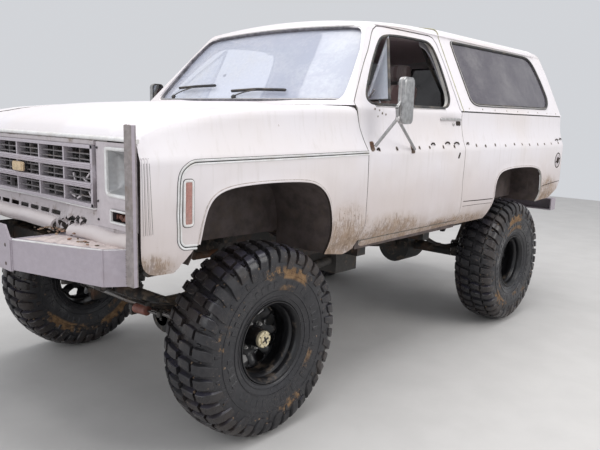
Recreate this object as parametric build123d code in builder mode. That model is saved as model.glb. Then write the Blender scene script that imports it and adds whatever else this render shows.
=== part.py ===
from build123d import *
import math
import os

os.makedirs("parts", exist_ok=True)

# Lifted two-door off-road 4x4, full size, millimetres.
# +X is the vehicle's left, -Y its front, +Z up. The ground is Z = 0.
# Lengths along the vehicle are counted from the front axle, rearward positive; Y0 puts them in the model's frame.

# ---- driving dimensions ----
WHEELBASE = 2705.0
Y0 = -1420.0                 # front axle in the model's frame
TYRE_R = 488.0               # 38-inch tyre
TYRE_HALF = 150.0            # half section width
TREAD_HALF = 134.0
RIM_R = 205.0                # rim lip
BEAD_R = 190.5               # 15-inch bead seat
RIM_HALF = 127.0
WHEEL_Z = TYRE_R
FRONT_WHEEL_X = 878.0
REAR_WHEEL_X = 918.0
KINGPIN_X = 690.0
STEER_ARM = 200.0            # kingpin to tie-rod ball, straight ahead of the axle
TIE_ROD_Z = 540.0
SPINDLE_R = 30.0
RUN = 0.06                   # radial running clearance
GAP = 7.0                    # shut line

ROOF_TOP, ROOF_INNER = 2272.0, 2190.0
BELT = 1650.0
FRONT_END = -745.0
REAR_END = 3741.0
CAB_SEAM = 1893.0            # steel cab roof ends, hardtop begins
RAIL_IN, RAIL_OUT = 375.0, 432.0
FENDER_T = 16.0
HOOD_HALF = 776.0
COWL_Y = 568.0

# Body side section, half of it: end point x, z and, for an arc, the point x, z it passes through
SIDE_OUTER = [
    (955, 868, None, None),
    (1005, 1060, 989, 942),
    (1010, 1400, None, None),
    (966, 1645, 977, 1500),
    (948, 1662, None, None),
    (715.6, 2160, None, None),
    (668, 2220, 704, 2196),
]
SIDE_INNER = [
    (900, 840, None, None),
    (950, 1060, 934, 945),
    (955, 1400, None, None),
    (911, 1645, 922, 1500),
    (895, 1662, None, None),
    (688, 2098, None, None),
    (645, 2130, 670, 2122),
]
# inside of the hardtop, whose roof is higher than the cab's
HARDTOP_INNER = SIDE_INNER[:-2] + [(664, 2149, None, None), (622, 2182, 650, 2172)]
# the cab roof falls and flattens towards the screen: y, height of its edge, crown over it
ROOF_RUN = [(900, 2146, 36), (1050, 2166, 38), (1190, 2180, 42), (1385, 2195, 46), (1590, 2205, 49), (CAB_SEAM, 2212, 52)]
# same rows for the inside of the sheet-metal front wings
WING_INNER = [
    (935, 840, None, None),
    (989, 1060, 972, 945),
    (994, 1400, None, None),
    (950, 1645, 961, 1500),
    (932, 1662, None, None),
    (722, 2112, None, None),
    (674, 2172, 706, 2152),
]
# top line of hood and wings in side view: y, z and the point y, z each arc passes through
TOP_LINE = [
    (FRONT_END, 1478, None, None),
    (-300, 1606, -560, 1553),
    (735, 1647, 170, 1640),
]
DOOR = [
    (700, 903), (737, 1000), (740, 1200), (733, 1414), (690, 1539), (664, 1671),
    (709, 1720), (826, 1843), (895, 1913), (966, 1979), (1024, 2042), (1066, 2090), (1097, 2118), (1143, 2142), (1200, 2147),
    (1770, 2153), (1811, 2142), (1835, 2105), (1848, 1988), (1851, 1900), (1851, 903),
]
# opening left for the door in the cab, one shut line larger
DOOR_HOLE = [
    (657, 1500), (657, 1675), (703, 1725), (820, 1848), (889, 1918), (960, 1984), (1018, 2047), (1060, 2096), (1092, 2124), (1140, 2149), (1200, 2154),
    (1773, 2160), (1816, 2148), (1842, 2108), (1855, 1989), (1858, 1900), (1858, 1500),
]
# the door's one window opening; the bar between vent pane and main glass is gone
DOOR_WINDOW = [(1576, 1666), (850, 1666), (818, 1670), (797, 1684), (790, 1706), (810, 1744), (923, 1873), (1024, 1974), (1111, 2053), (1158, 2081), (1208, 2096), (1267, 2105), (1385, 2112), (1530, 2114), (1680, 2114), (1726, 2108), (1752, 2092), (1771, 2066), (1784, 2008), (1785, 1893), (1772, 1779), (1755, 1728), (1714, 1688), (1656, 1668)]
# opened vent pane: front lower corner, rear lower corner, apex
VENT_PANE = [(1034, 867, 1690), (757, 1025, 1690), (745, 1243, 2093)]
QUARTER_WINDOW = [(2057, 1862), (2060, 1752), (2070, 1730), (2092, 1717), (2160, 1706), (3106, 1716), (3388, 1716), (3440, 1722), (3480, 1740), (3512, 1768), (3534, 1800), (3540, 1830), (3533, 1928), (3509, 2025), (3494, 2066), (3474, 2098), (3444, 2124), (3400, 2140), (3300, 2148), (2110, 2142), (2066, 2138), (2054, 2118)]
SCREEN_OPENING = [(-820, 1682), (820, 1682), (844, 1690), (855, 1712), (852, 1745), (838, 1799), (822, 1858), (803, 1918), (784, 1980), (750, 2043), (724, 2088), (702, 2112), (672, 2126), (600, 2134), (300, 2145), (0, 2149), (-300, 2145), (-600, 2134), (-672, 2126), (-702, 2112), (-724, 2088), (-750, 2043), (-784, 1980), (-803, 1918), (-822, 1858), (-838, 1799), (-852, 1745), (-855, 1712), (-844, 1690)]
REAR_WINDOW = [(780, 1700), (628, 2118), (-628, 2118), (-780, 1700)]
FRONT_ARCH = [(-491, 700), (-491, 952), (-455, 1051), (-436, 1137), (-408, 1208), (-361, 1249), (-282, 1270), (-148, 1278), (32, 1278), (230, 1268), (318, 1239), (382, 1186), (415, 1111), (428, 1000), (427, 700)]
WING_EDGE = [(FRONT_END, 985), (-697, 958), (-597, 935), (-491, 952), (-491, 900), (427, 900), (427, 863), (593, 857), (681, 868), (730, 1000), (733, 1200), (726, 1414), (683, 1539), (657, 1672)]
QUARTER_SIDE = [(1858, 868), (2301, 868), (2301, 903), (2358, 1020), (2362, 1125), (2406, 1192), (2481, 1222), (2645, 1236), (2866, 1236), (3056, 1228), (3183, 1206), (3245, 1165), (3262, 1090), (3259, 990), (3225, 930), (3509, 941), (3658, 1014), (REAR_END, 1115), (REAR_END, 1646), (1858, 1646)]
# side view of the hardtop's roof and tail: y, z and the point y, z each arc passes through
HARDTOP_SIDE = [
    (CAB_SEAM + 4, 1652, None, None),
    (3738, 1652, None, None),
    (3745, 1900, None, None),
    (3716, 2158, 3741, 2040),
    (3600, 2200, 3668, 2187),
    (3440, 2228, 3525, 2216),
    (3150, 2262, 3298, 2248),
    (2900, 2300, None, None),
    (CAB_SEAM + 4, 2300, None, None),
]
HARDTOP_INSIDE = [
    (CAB_SEAM - 10, 1600, None, None),
    (3690, 1600, None, None),
    (3692, 1900, None, None),
    (3668, 2112, 3688, 2012),
    (3586, 2160, 3638, 2144),
    (3440, 2188, 3518, 2177),
    (3150, 2222, 3298, 2208),
    (2900, 2260, None, None),
    (CAB_SEAM - 10, 2260, None, None),
]
# windscreen surface, plan arcs: z, y at the middle, y at x = 960
SCREEN = [(1650, 572, 686), (2250, 1122, 1190)]


def side_plane(x):
    return Plane(origin=(x, Y0, 0), x_dir=(0, 1, 0), z_dir=(1, 0, 0))


def front_plane(y):
    # local x is X, local y is Z; a positive extrusion goes forward
    return Plane(origin=(0, Y0 + y, 0), x_dir=(1, 0, 0), z_dir=(0, -1, 0))


def plan_plane(z):
    return Plane(origin=(0, Y0, z), x_dir=(1, 0, 0), z_dir=(0, 0, 1))


def side_prism(points, x0, x1, mode=Mode.ADD, grow=0.0, round_r=0.0):
    with BuildSketch(side_plane(x0)) as s:
        with BuildLine():
            Polyline(*points, close=True)
        make_face()
        if round_r:
            fillet(s.vertices(), round_r)
        if grow:
            offset(amount=grow)
    extrude(s.sketch, amount=x1 - x0, mode=mode)


def side_curve(points, x0, x1, mode=Mode.ADD):
    with BuildSketch(side_plane(x0)) as s:
        with BuildLine():
            for (y0, z0, _, _), (y1, z1, ym, zm) in zip(points, points[1:] + points[:1]):
                if ym is None:
                    Line((y0, z0), (y1, z1))
                else:
                    ThreePointArc((y0, z0), (ym, zm), (y1, z1))
        make_face()
    extrude(s.sketch, amount=x1 - x0, mode=mode)


def front_prism(points, y0, y1, mode=Mode.ADD, grow=0.0, round_r=0.0):
    with BuildSketch(front_plane(y1)) as s:
        with BuildLine():
            Polyline(*points, close=True)
        make_face()
        if round_r:
            fillet(s.vertices(), round_r)
        if grow:
            offset(amount=grow)
    extrude(s.sketch, amount=y1 - y0, mode=mode)


def plan_prism(points, z0, z1, mode=Mode.ADD, round_r=0.0):
    with BuildSketch(plan_plane(z0)) as s:
        with BuildLine():
            Polyline(*points, close=True)
        make_face()
        if round_r:
            fillet(s.vertices(), round_r)
    extrude(s.sketch, amount=z1 - z0, mode=mode)


def section_prism(rows, roof, y0, y1, mode=Mode.ADD, inset=0.0):
    # whole-width body section from its half table, run from y0 to y1
    with BuildSketch(front_plane(y1)) as s:
        with BuildLine():
            for side in (1, -1):
                last = None
                for x, z, tx, tz in rows:
                    here = (side * (x - inset), z)
                    if last is not None:
                        if tx is None:
                            Line(last, here)
                        else:
                            ThreePointArc(last, (side * (tx - inset), tz), here)
                    last = here
            ThreePointArc((rows[-1][0] - inset, rows[-1][1]), (0, roof), (-rows[-1][0] + inset, rows[-1][1]))
            Line((-rows[0][0] + inset, rows[0][1]), (rows[0][0] - inset, rows[0][1]))
        make_face()
    extrude(s.sketch, amount=y1 - y0, mode=mode)


def shell(y0, y1):
    section_prism(SIDE_OUTER, ROOF_TOP, y0, y1)
    section_prism(SIDE_INNER, ROOF_INNER, y0 - 5, y1 + 5, mode=Mode.SUBTRACT)


def block(x0, x1, y0, y1, z0, z1, mode=Mode.ADD):
    with Locations((0.5 * (x0 + x1), Y0 + 0.5 * (y0 + y1), 0.5 * (z0 + z1))):
        Box(x1 - x0, y1 - y0, z1 - z0, mode=mode)


def blocks_both_sides(x0, x1, y0, y1, z0, z1, mode=Mode.ADD):
    block(x0, x1, y0, y1, z0, z1, mode)
    block(-x1, -x0, y0, y1, z0, z1, mode)


def rod(a, b, r, mode=Mode.ADD):
    # round bar between two points given as x, y from the front axle, z
    a = Vector(a[0], a[1] + Y0, a[2])
    b = Vector(b[0], b[1] + Y0, b[2])
    with BuildSketch(Plane(origin=a, z_dir=b - a)) as s:
        Circle(r)
    extrude(s.sketch, amount=(b - a).length, mode=mode)


def screen_band(front, back, z0, z1, mode=Mode.ADD, half=960.0):
    # band that follows the windscreen, from `front` to `back` behind its outer face
    (za, ma, ea), (zb, mb, eb) = SCREEN
    sections = []
    for z in (z0, z1):
        t = (z - za) / (zb - za)
        mid, end = ma + t * (mb - ma), ea + t * (eb - ea)
        with BuildSketch(plan_plane(z)) as s:
            with BuildLine():
                ThreePointArc((-half, end + front), (0, mid + front), (half, end + front))
                Line((half, end + front), (half, end + back))
                ThreePointArc((half, end + back), (0, mid + back), (-half, end + back))
                Line((-half, end + back), (-half, end + front))
            make_face()
        sections.append(s.sketch.faces()[0])
    loft(sections, ruled=True, mode=mode)


def top_profile(drop, y_end=735.0):
    # closed side outline under the hood line, `drop` below it
    with BuildSketch(side_plane(-1100)) as s:
        with BuildLine():
            last = None
            for y, z, ty, tz in TOP_LINE:
                here = (y, z - drop)
                if last is not None:
                    ThreePointArc(last, (ty, tz - drop), here)
                last = here
            Line(last, (last[0], 700))
            Line((last[0], 700), (FRONT_END, 700))
            Line((FRONT_END, 700), (FRONT_END, TOP_LINE[0][1] - drop))
        make_face()
    return s.sketch


def save(name, label):
    name.part.label = label
    export_step(name.part, f"parts/{label}.step")


# ================= frame =================
# rail side outline: kicked up over each axle
RAIL = [(-830, 850), (330, 850), (600, 700), (1990, 700), (2250, 800), (3655, 800), (3655, 935), (2200, 935), (1960, 840), (640, 840), (340, 985), (-830, 985)]
# cross members: y, z low, z high, half depth
CROSS = [(-600, 870, 960, 40), (-190, 855, 905, 45), (690, 702, 733, 45), (1315, 702, 733, 40), (2120, 780, 850, 45), (2905, 820, 915, 40), (3600, 815, 920, 35)]
with BuildPart() as frame:
    side_prism(RAIL, RAIL_IN, RAIL_OUT)
    side_prism(RAIL, -RAIL_OUT, -RAIL_IN)
    for y, z0, z1, half in CROSS:
        block(-RAIL_IN - 5, RAIL_IN + 5, y - half, y + half, z0, z1)
    # spring hangers, front pair under the rails, rear pair outboard of them
    for side in (1, -1):
        for y, x0, x1, z0, z1 in ((-575, 380, 428, 775, 855), (575, 380, 428, 706, 745), (2060, 425, 540, 745, 840), (3330, 425, 540, 800, 860)):
            xa, xb = sorted((side * x0, side * x1))
            block(xa, xb, y - 35, y + 35, z0, z1)
        # shock towers and bumper irons
        xa, xb = sorted((side * 425, side * 530))
        block(xa, xb, 90, 150, 900, 970)
        xa, xb = sorted((side * 385, side * 425))
        block(xa, xb, -880, -825, 930, 985)
        block(xa, xb, 3640, 3762, 810, 880)
        # body outriggers
        for y, z in ((900, 845), (1650, 845)):
            xa, xb = sorted((side * 425, side * 860))
            block(xa, xb, y - 40, y + 40, z - 75, z)
save(frame, "frame")

# ================= body shell =================
with BuildPart() as floor_pan:
    block(-893, 893, 645, 1905, 850, 875)
    block(-893, 893, 1905, 1930, 850, 975)
    block(-893, 893, 1930, 3684, 950, 975)
    blocks_both_sides(735, 893, 2300, 3262, 940, 985, Mode.SUBTRACT)
    # wheel houses: inner wall, roof, front and rear
    for side in (1, -1):
        for x0, x1, y0, y1, z0, z1 in ((715, 737, 2280, 3282, 950, 1272), (715, 893, 2280, 3282, 1250, 1272), (715, 893, 2280, 2302, 950, 1272), (715, 893, 3260, 3282, 950, 1272)):
            xa, xb = sorted((side * x0, side * x1))
            block(xa, xb, y0, y1, z0, z1)
        xa, xb = sorted((side * 880, side * 955))
        block(xa, xb, 700, 1850, 850, 896)
    # transmission tunnel
    block(-190, 190, 650, 1400, 870, 1010)
    block(-165, 165, 640, 1385, 845, 985, Mode.SUBTRACT)
    block(-893, 893, 3658, 3688, 938, 960)
save(floor_pan, "floor_pan")

with BuildPart() as rear_quarters:
    section_prism(SIDE_OUTER, ROOF_TOP, 1850, REAR_END + 5)
    plan_prism([(-1050, 1700), (1050, 1700), (1050, REAR_END), (1010, REAR_END), (-1010, REAR_END), (-1050, REAR_END)], 700, 1700, Mode.INTERSECT)
    side_prism(QUARTER_SIDE, -1100, 1100, Mode.INTERSECT)
    section_prism(SIDE_INNER, ROOF_INNER, 1800, 3692, mode=Mode.SUBTRACT)
    # the tailgate's opening leaves a post at each end
    block(-805, 805, 3650, 3800, 800, 1700, Mode.SUBTRACT)
save(rear_quarters, "rear_quarters")

with BuildPart() as cowl:
    block(-880, 880, 603, 640, 882, 1600)
    block(-930, 930, 580, 650, 1560, 1624)
    block(-779, 779, 575, 650, 1560, 1655)
    block(-779, 779, 640, 735, 1600, 1655)
    blocks_both_sides(775, 850, 674, 735, 1600, 1655)
    blocks_both_sides(800, 985, 603, 650, 900, 1600)
    blocks_both_sides(800, 850, 640, 765, 882, 1620)
    section_prism(WING_INNER, ROOF_TOP - 20, 400, 900, Mode.INTERSECT, inset=2.0)
    block(-700, 700, 655, 720, 1570, 1640, Mode.SUBTRACT)
    block(-165, 165, 590, 660, 800, 985, Mode.SUBTRACT)
save(cowl, "cowl")

with BuildPart() as cabin_void:
    section_prism(SIDE_INNER, ROOF_INNER, 400, CAB_SEAM + 20)
    screen_band(42, 2600, 1600, 2260, Mode.INTERSECT, half=1200.0)
with BuildPart() as ahead_of_screen:
    screen_band(-900, -10, 1600, 2260, half=1200.0)
roof_faces = []
for y, edge, crown in ROOF_RUN:
    x_low = 948 - (edge - 52 - 1662) * (948 - 715.6) / 498.0
    with BuildSketch(front_plane(y)) as s:
        with BuildLine():
            for side in (1, -1):
                Line((side * (948 - (2100 - 1662) * (948 - 715.6) / 498.0), 2100), (side * x_low, edge - 52))
                ThreePointArc((side * x_low, edge - 52), (side * (668 + 0.74 * (x_low - 668)), edge - 20), (side * 668, edge))
            ThreePointArc((668, edge), (0, edge + crown), (-668, edge))
            Line((-(948 - (2100 - 1662) * (948 - 715.6) / 498.0), 2100), (948 - (2100 - 1662) * (948 - 715.6) / 498.0, 2100))
        make_face()
    roof_faces.append(s.sketch.faces()[0])
with BuildPart() as cab_roof:
    loft(roof_faces, ruled=True)
with BuildPart() as cab_top:
    section_prism(SIDE_OUTER, ROOF_TOP, 500, CAB_SEAM)
    block(-1100, 1100, 400, 2000, 700, 1656, Mode.SUBTRACT)
    block(-1100, 1100, 400, 2000, 2104, 2400, Mode.SUBTRACT)
    add(cab_roof.part)
    add(ahead_of_screen.part, mode=Mode.SUBTRACT)
    add(cabin_void.part, mode=Mode.SUBTRACT)
    side_prism(DOOR_HOLE, -1100, 1100, Mode.SUBTRACT)
    front_prism(SCREEN_OPENING, 400, 1500, Mode.SUBTRACT)
save(cab_top, "cab_top")

with BuildPart() as windshield:
    section_prism(SIDE_OUTER, ROOF_TOP, 540, CAB_SEAM)
    screen_band(4, 13, 1656, 2200, Mode.INTERSECT)
    front_prism(SCREEN_OPENING, 400, 1500, Mode.INTERSECT, grow=-1.0)
save(windshield, "windshield")

with BuildPart() as hardtop_void:
    section_prism(HARDTOP_INNER, 2230, CAB_SEAM - 10, 3700)
    side_curve(HARDTOP_INSIDE, -1100, 1100, Mode.INTERSECT)
with BuildPart() as hardtop:
    section_prism(SIDE_OUTER, ROOF_TOP, CAB_SEAM + 4, 3760)
    side_curve(HARDTOP_SIDE, -1100, 1100, Mode.INTERSECT)
    plan_prism([(-1010, 1500), (1010, 1500), (1010, 3760), (-1010, 3760)], 1500, 2400, Mode.INTERSECT, round_r=45)
    add(hardtop_void.part, mode=Mode.SUBTRACT)
    side_prism(QUARTER_WINDOW, -1100, 1100, Mode.SUBTRACT)
    # rear window opening
    front_prism([(-780, 1600), (780, 1600)] + REAR_WINDOW, 3600, 3900, Mode.SUBTRACT)
save(hardtop, "hardtop")

with BuildPart() as quarter_glass:
    front_prism([(929, 1680), (935, 1680), (710, 2160), (704, 2160)], 1990, 3560)
    front_prism([(-935, 1680), (-929, 1680), (-704, 2160), (-710, 2160)], 1990, 3560)
    side_prism(QUARTER_WINDOW, -1100, 1100, Mode.INTERSECT, grow=-1.0)
save(quarter_glass, "quarter_glass")

with BuildPart() as tailgate_glass:
    front_prism([(-776, 1657), (776, 1657), (776, 1702), (625, 2114), (-625, 2114), (-776, 1702)], 3706, 3713)
save(tailgate_glass, "tailgate_glass")

with BuildPart() as tailgate:
    block(-797, 797, 3690, REAR_END, 970, 1645)
    block(-700, 700, 3688, 3725, 1030, 1570, Mode.SUBTRACT)
    block(-700, 700, 3698, 3704, 1030, 1570)
save(tailgate, "tailgate")

# ================= doors =================
# behind a 12 mm skin the door's edge stands 25 mm further in, so it swings clear of its opening
DOOR_SKIN, DOOR_REBATE = 12.0, 25.0
with BuildPart() as door_rebate:
    section_prism(SIDE_OUTER, ROOF_TOP - DOOR_SKIN, 600, 1900, inset=DOOR_SKIN)
    side_prism(DOOR, -1100, 1100, Mode.SUBTRACT, grow=-DOOR_REBATE)
for side, tag in ((1, "left"), (-1, "right")):
    x0, x1 = (0, 1100) if side > 0 else (-1100, 0)
    with BuildPart() as door:
        shell(600, 1900)
        side_prism(DOOR, x0, x1, Mode.INTERSECT)
        add(door_rebate.part, mode=Mode.SUBTRACT)
        side_prism(DOOR_WINDOW, x0, x1, Mode.SUBTRACT)
    save(door, f"door_{tag}")
    with BuildPart() as vent:
        # pane turned open on a raked pivot, with the pivot's two pins
        low_f, low_r, apex = (Vector(side * x, y + Y0, z) for x, y, z in VENT_PANE)
        plane = Plane(origin=low_r, x_dir=low_f - low_r, z_dir=(low_f - low_r).cross(apex - low_r))
        with BuildSketch(plane):
            with BuildLine():
                Polyline(*[tuple(plane.to_local_coords(q))[:2] for q in (low_r, low_f, apex)], close=True)
            make_face()
            fillet(vertices(), 9)
        extrude(amount=5)
        rod((side * 922, 934, 1667.5), (side * 918, 934, 1706), 6)
        rod((side * 743, 1243, 2097), (side * 757, 1220, 2061), 5)
    save(vent, f"vent_glass_{tag}")
    with BuildPart() as mirror:
        # flat head folded back along the door
        xa, xb = sorted((side * 1130, side * 1166))
        block(xa, xb, 803, 906, 1562, 1812)
        fillet(mirror.edges().filter_by(Axis.X), 30)
        # two arms from the door skin meet under the head's front edge, and a bent end goes up into it
        knee, bend = (side * 1138, 796, 1590), (side * 1140, 782, 1650)
        rod((side * 1019, 770, 1436), knee, 9)
        rod((side * 1019, 1180, 1412), knee, 9)
        rod(knee, bend, 9)
        rod(bend, (side * 1148, 840, 1712), 9)
        with Locations((knee[0], Y0 + knee[1], knee[2]), (bend[0], Y0 + bend[1], bend[2])):
            Sphere(9.4)
    save(mirror, f"mirror_{tag}")

# ================= front clip =================
with BuildPart() as wing_void:
    section_prism(WING_INNER, ROOF_TOP, FRONT_END - 20, 760)
    extrude(top_profile(FENDER_T), amount=2200, mode=Mode.INTERSECT)
for side, tag in ((1, "left"), (-1, "right")):
    x0, x1 = (HOOD_HALF + 6, 1100) if side > 0 else (-1100, -HOOD_HALF - 6)
    with BuildPart() as fender:
        section_prism(SIDE_OUTER, ROOF_TOP, FRONT_END, 735)
        extrude(top_profile(0), amount=2200, mode=Mode.INTERSECT)
        side_prism(WING_EDGE + [(657, 1800), (FRONT_END, 1800)], x0, x1, Mode.INTERSECT)
        side_prism(FRONT_ARCH, -1100, 1100, Mode.SUBTRACT)
        add(wing_void.part, mode=Mode.SUBTRACT)
    save(fender, f"fender_{tag}")

with BuildPart() as hood:
    extrude(top_profile(0), amount=2200)
    extrude(top_profile(24), amount=2200, mode=Mode.SUBTRACT)
    block(-HOOD_HALF, HOOD_HALF, FRONT_END, COWL_Y, 1473, 1700, Mode.INTERSECT)
save(hood, "hood")

with BuildPart() as inner_fenders:
    # apron above the wheel, wheel-house skirt and radiator support
    blocks_both_sides(560, 770, -560, 560, 1300, 1318)
    blocks_both_sides(560, 578, -560, 560, 1010, 1310)
    blocks_both_sides(560, 900, -640, -622, 1010, 1430)
    blocks_both_sides(560, 780, 545, 563, 1010, 1310)
    block(-900, 900, -640, -622, 1390, 1430)
    block(-900, 900, -640, -622, 1010, 1060)
    blocks_both_sides(560, 578, -635, -550, 1010, 1318)
save(inner_fenders, "inner_fenders")

# grille: frame X 700, rows and columns of bars
GRILLE_ROWS = [(1190, 1206), (1267, 1291), (1347, 1373), (1432, 1448)]
GRILLE_COLS = [-694, -457, -229, 0, 229, 457, 694]
GRILLE_OPEN = [(1206, 1267), (1291, 1347), (1373, 1432)]
with BuildPart() as grille:
    for z0, z1 in GRILLE_ROWS:
        block(-700, 700, FRONT_END - 15, FRONT_END + 12, z0, z1)
    for x in GRILLE_COLS:
        block(x - 5, x + 5, FRONT_END - 9, FRONT_END + 14, 1195, 1446)
    block(-700, 700, FRONT_END + 13, FRONT_END + 18, 1187, 1451)
    for z0, z1 in GRILLE_OPEN:
        block(-680, 680, FRONT_END + 5, FRONT_END + 25, z0 + 2, z1 - 2, Mode.SUBTRACT)
    for x in GRILLE_COLS:
        block(x - 5, x + 5, FRONT_END - 9, FRONT_END + 14, 1195, 1446)
save(grille, "grille")

# plate with two openings, lamp bucket behind it
with BuildPart() as headlight_bezels:
    blocks_both_sides(705, 988, FRONT_END - 18, FRONT_END - 2, 1122, 1466)
    blocks_both_sides(770, 962, FRONT_END - 4, FRONT_END + 60, 1128, 1458)
    blocks_both_sides(791, 965, FRONT_END - 30, FRONT_END - 1, 1250, 1445, Mode.SUBTRACT)
    blocks_both_sides(791, 952, FRONT_END - 30, FRONT_END + 45, 1250, 1445, Mode.SUBTRACT)
    blocks_both_sides(821, 950, FRONT_END - 30, FRONT_END + 40, 1144, 1197, Mode.SUBTRACT)
save(headlight_bezels, "headlight_bezels")

with BuildPart() as front_valance:
    # slotted strip and the apron under it; a piece is torn out left of the middle
    block(-700, 700, FRONT_END - 6, FRONT_END + 4, 1100, 1182)
    block(-949, 380, FRONT_END - 12, FRONT_END - 2, 1052, 1114)
    block(530, 949, FRONT_END - 12, FRONT_END - 2, 1052, 1114)
    block(432, 626, FRONT_END - 20, FRONT_END + 10, 1085, 1140, Mode.SUBTRACT)
    for i in range(-6, 4):
        block(-11 + 105 * i, 74 + 105 * i, FRONT_END - 20, FRONT_END + 10, 1119, 1140, Mode.SUBTRACT)
    # frame round the grille
    block(-703, 703, FRONT_END - 12, FRONT_END + 30, 1458, 1470)
    block(-680, 680, FRONT_END + 2, FRONT_END + 22, 1150, 1182)
    block(-703, 703, FRONT_END + 18.5, FRONT_END + 30, 1150, 1182)
    blocks_both_sides(676, 703, FRONT_END + 18.5, FRONT_END + 30, 1150, 1470)
save(front_valance, "front_valance")

# ================= bumpers =================
BUMPER_Z0, BUMPER_Z1, STEEL = 918.0, 1064.0, 9.0
BUMPER_FRONT = [(-1000, -780), (-934, -870), (-450, -1000), (450, -1000), (934, -870), (1000, -780)]
FAIRLEAD_SPACING, FAIRLEAD_R = 254.0, 9.0
with BuildPart() as posts:
    # corner posts of strut channel, open to the rear
    blocks_both_sides(988, 1030, -797, -776, 920, 1537)
    blocks_both_sides(991, 1027, -794, -770, 915, 1545, Mode.SUBTRACT)
# the top edge rises a little from the middle to the bends
BUMPER_TOP = [(-1100, 1064), (-934, 1062), (-450, 1050), (450, 1050), (934, 1062), (1100, 1064)]
with BuildPart() as bumper_void:
    plan_prism([(-991, -776), (-927, -861), (-448, -991), (448, -991), (927, -861), (991, -776), (991, -700), (-991, -700)], BUMPER_Z0 + STEEL, BUMPER_Z1)
    front_prism([(x, z - STEEL) for x, z in BUMPER_TOP] + [(1100, 900), (-1100, 900)], -1100, -600, Mode.INTERSECT)
with BuildPart() as front_bumper:
    plan_prism(BUMPER_FRONT + [(1000, -763), (-1000, -763)], BUMPER_Z0, BUMPER_Z1)
    front_prism(BUMPER_TOP + [(1100, 900), (-1100, 900)], -1100, -600, Mode.INTERSECT)
    add(bumper_void.part, mode=Mode.SUBTRACT)
    # no top plate behind the middle of the face
    block(-436, 436, -985, -700, 1000, 1080, Mode.SUBTRACT)
    block(-440, 440, -900, -700, 900, 1080, Mode.SUBTRACT)
    plan_prism([(-480, -880), (-400, -935), (400, -935), (480, -880)], BUMPER_Z0, BUMPER_Z0 + STEEL)
    # raised centre plate
    front_prism([(-445, 912), (445, 912), (445, 1046), (402, 1106), (-402, 1106), (-445, 1046)], -1009, -1000)
    blocks_both_sides(380, 430, -995, -884, 935, 975)
    add(posts.part)
    with Locations(Plane(origin=(0, Y0 - 1009, 1010), x_dir=(1, 0, 0), z_dir=(0, -1, 0))):
        with Locations((-FAIRLEAD_SPACING / 2, 0), (FAIRLEAD_SPACING / 2, 0)):
            Hole(FAIRLEAD_R, depth=20)
save(front_bumper, "front_bumper")

BALL_R = 12.7
with BuildPart() as rear_bumper:
    block(-930, 930, 3765, 3870, 790, 900)
    block(-918, 918, 3750, 3860, 800, 890, Mode.SUBTRACT)
    blocks_both_sides(378, 430, 3765, 3790, 795, 895)
    with Locations((0, Y0 + 3820, 895)):
        Cylinder(BALL_R, 30, mode=Mode.SUBTRACT)
save(rear_bumper, "rear_bumper")

# ================= cabin =================
with BuildPart() as dashboard:
    side_prism([(736, 1480), (736, 1590), (790, 1640), (960, 1625), (1000, 1590), (985, 1500), (900, 1440)], -790, 790)
    rod((370, 985, 1500), (370, 1150, 1565), 24)
save(dashboard, "dashboard")

COLUMN = Vector(0, 0.93, 0.37)
with BuildPart() as steering_wheel:
    with Locations(Plane(origin=(370, Y0 + 1190, 1580), x_dir=(1, 0, 0), z_dir=(0, 0.93, 0.37))):
        Torus(190, 13)
        Cylinder(36, 40)
        Box(380, 34, 16)
    rod((370, 1160, 1568.1), (370, 1195, 1582), 12)
save(steering_wheel, "steering_wheel")

# front bucket seats: x centre
with BuildPart() as front_seats:
    for x in (370, -370):
        block(x - 270, x + 270, 1290, 1790, 1180, 1330)
        with BuildSketch(side_plane(x - 260)) as s:
            with BuildLine():
                Polyline((1660, 1325), (1790, 1325), (1885, 1850), (1785, 1880), close=True)
            make_face()
            fillet(s.vertices(), 25)
        extrude(s.sketch, amount=520)
        block(x - 130, x + 130, 1795, 1895, 1840, 1985)
        block(x - 160, x + 160, 1350, 1700, 876, 1190)
save(front_seats, "front_seats")

with BuildPart() as rear_seat:
    block(-600, 600, 2330, 2800, 1150, 1290)
    side_prism([(2700, 1285), (2820, 1285), (2900, 1700), (2800, 1720)], -600, 600)
    blocks_both_sides(480, 520, 2380, 2760, 976, 1155)
save(rear_seat, "rear_seat")

# ================= engine bay and driveline =================
with BuildPart() as engine_block:
    block(-270, 270, -330, 330, 985, 1350)
    block(-150, 150, -250, 250, 1350, 1480)
    with Locations((0, Y0 - 20, 1500)):
        Cylinder(170, 55)
    block(-130, 130, 325, 600, 985, 1240)
save(engine_block, "engine_block")

with BuildPart() as radiator:
    block(-360, 360, -610, -555, 1062, 1388)
    with Locations(Plane(origin=(0, Y0 - 510, 1220), x_dir=(1, 0, 0), z_dir=(0, 1, 0))):
        Cylinder(210, 110)
        Cylinder(200, 120, mode=Mode.SUBTRACT)
        Cylinder(40, 60)
        Box(390, 40, 10)
        Box(40, 390, 10)
    block(-300, 300, -556, -549, 1070, 1380)
save(radiator, "radiator")

with BuildPart() as driveline:
    # gearbox and transfer case between the rails, two propeller shafts
    block(-150, 150, 601, 760, 760, 975)
    block(-125, 125, 750, 1370, 745, 950)
    block(-110, 300, 1365, 1610, 470, 840)
    rod((235, 1370, 560), (288, 160, 500), 32)
    rod((0, 1600, 640), (0, 2545, 500), 38)
save(driveline, "driveline")

with BuildPart() as exhaust:
    rod((-250, 500, 640), (-250, 1460, 630), 32)
    rod((-250, 1450, 630), (-280, 1980, 630), 85)
    rod((-280, 1970, 630), (-300, 2240, 640), 30)
save(exhaust, "exhaust")

with BuildPart() as fuel_tank:
    block(-330, 330, 2960, 3600, 640, 806)
    fillet(fuel_tank.edges().filter_by(Axis.X), 30)
save(fuel_tank, "fuel_tank")

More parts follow.
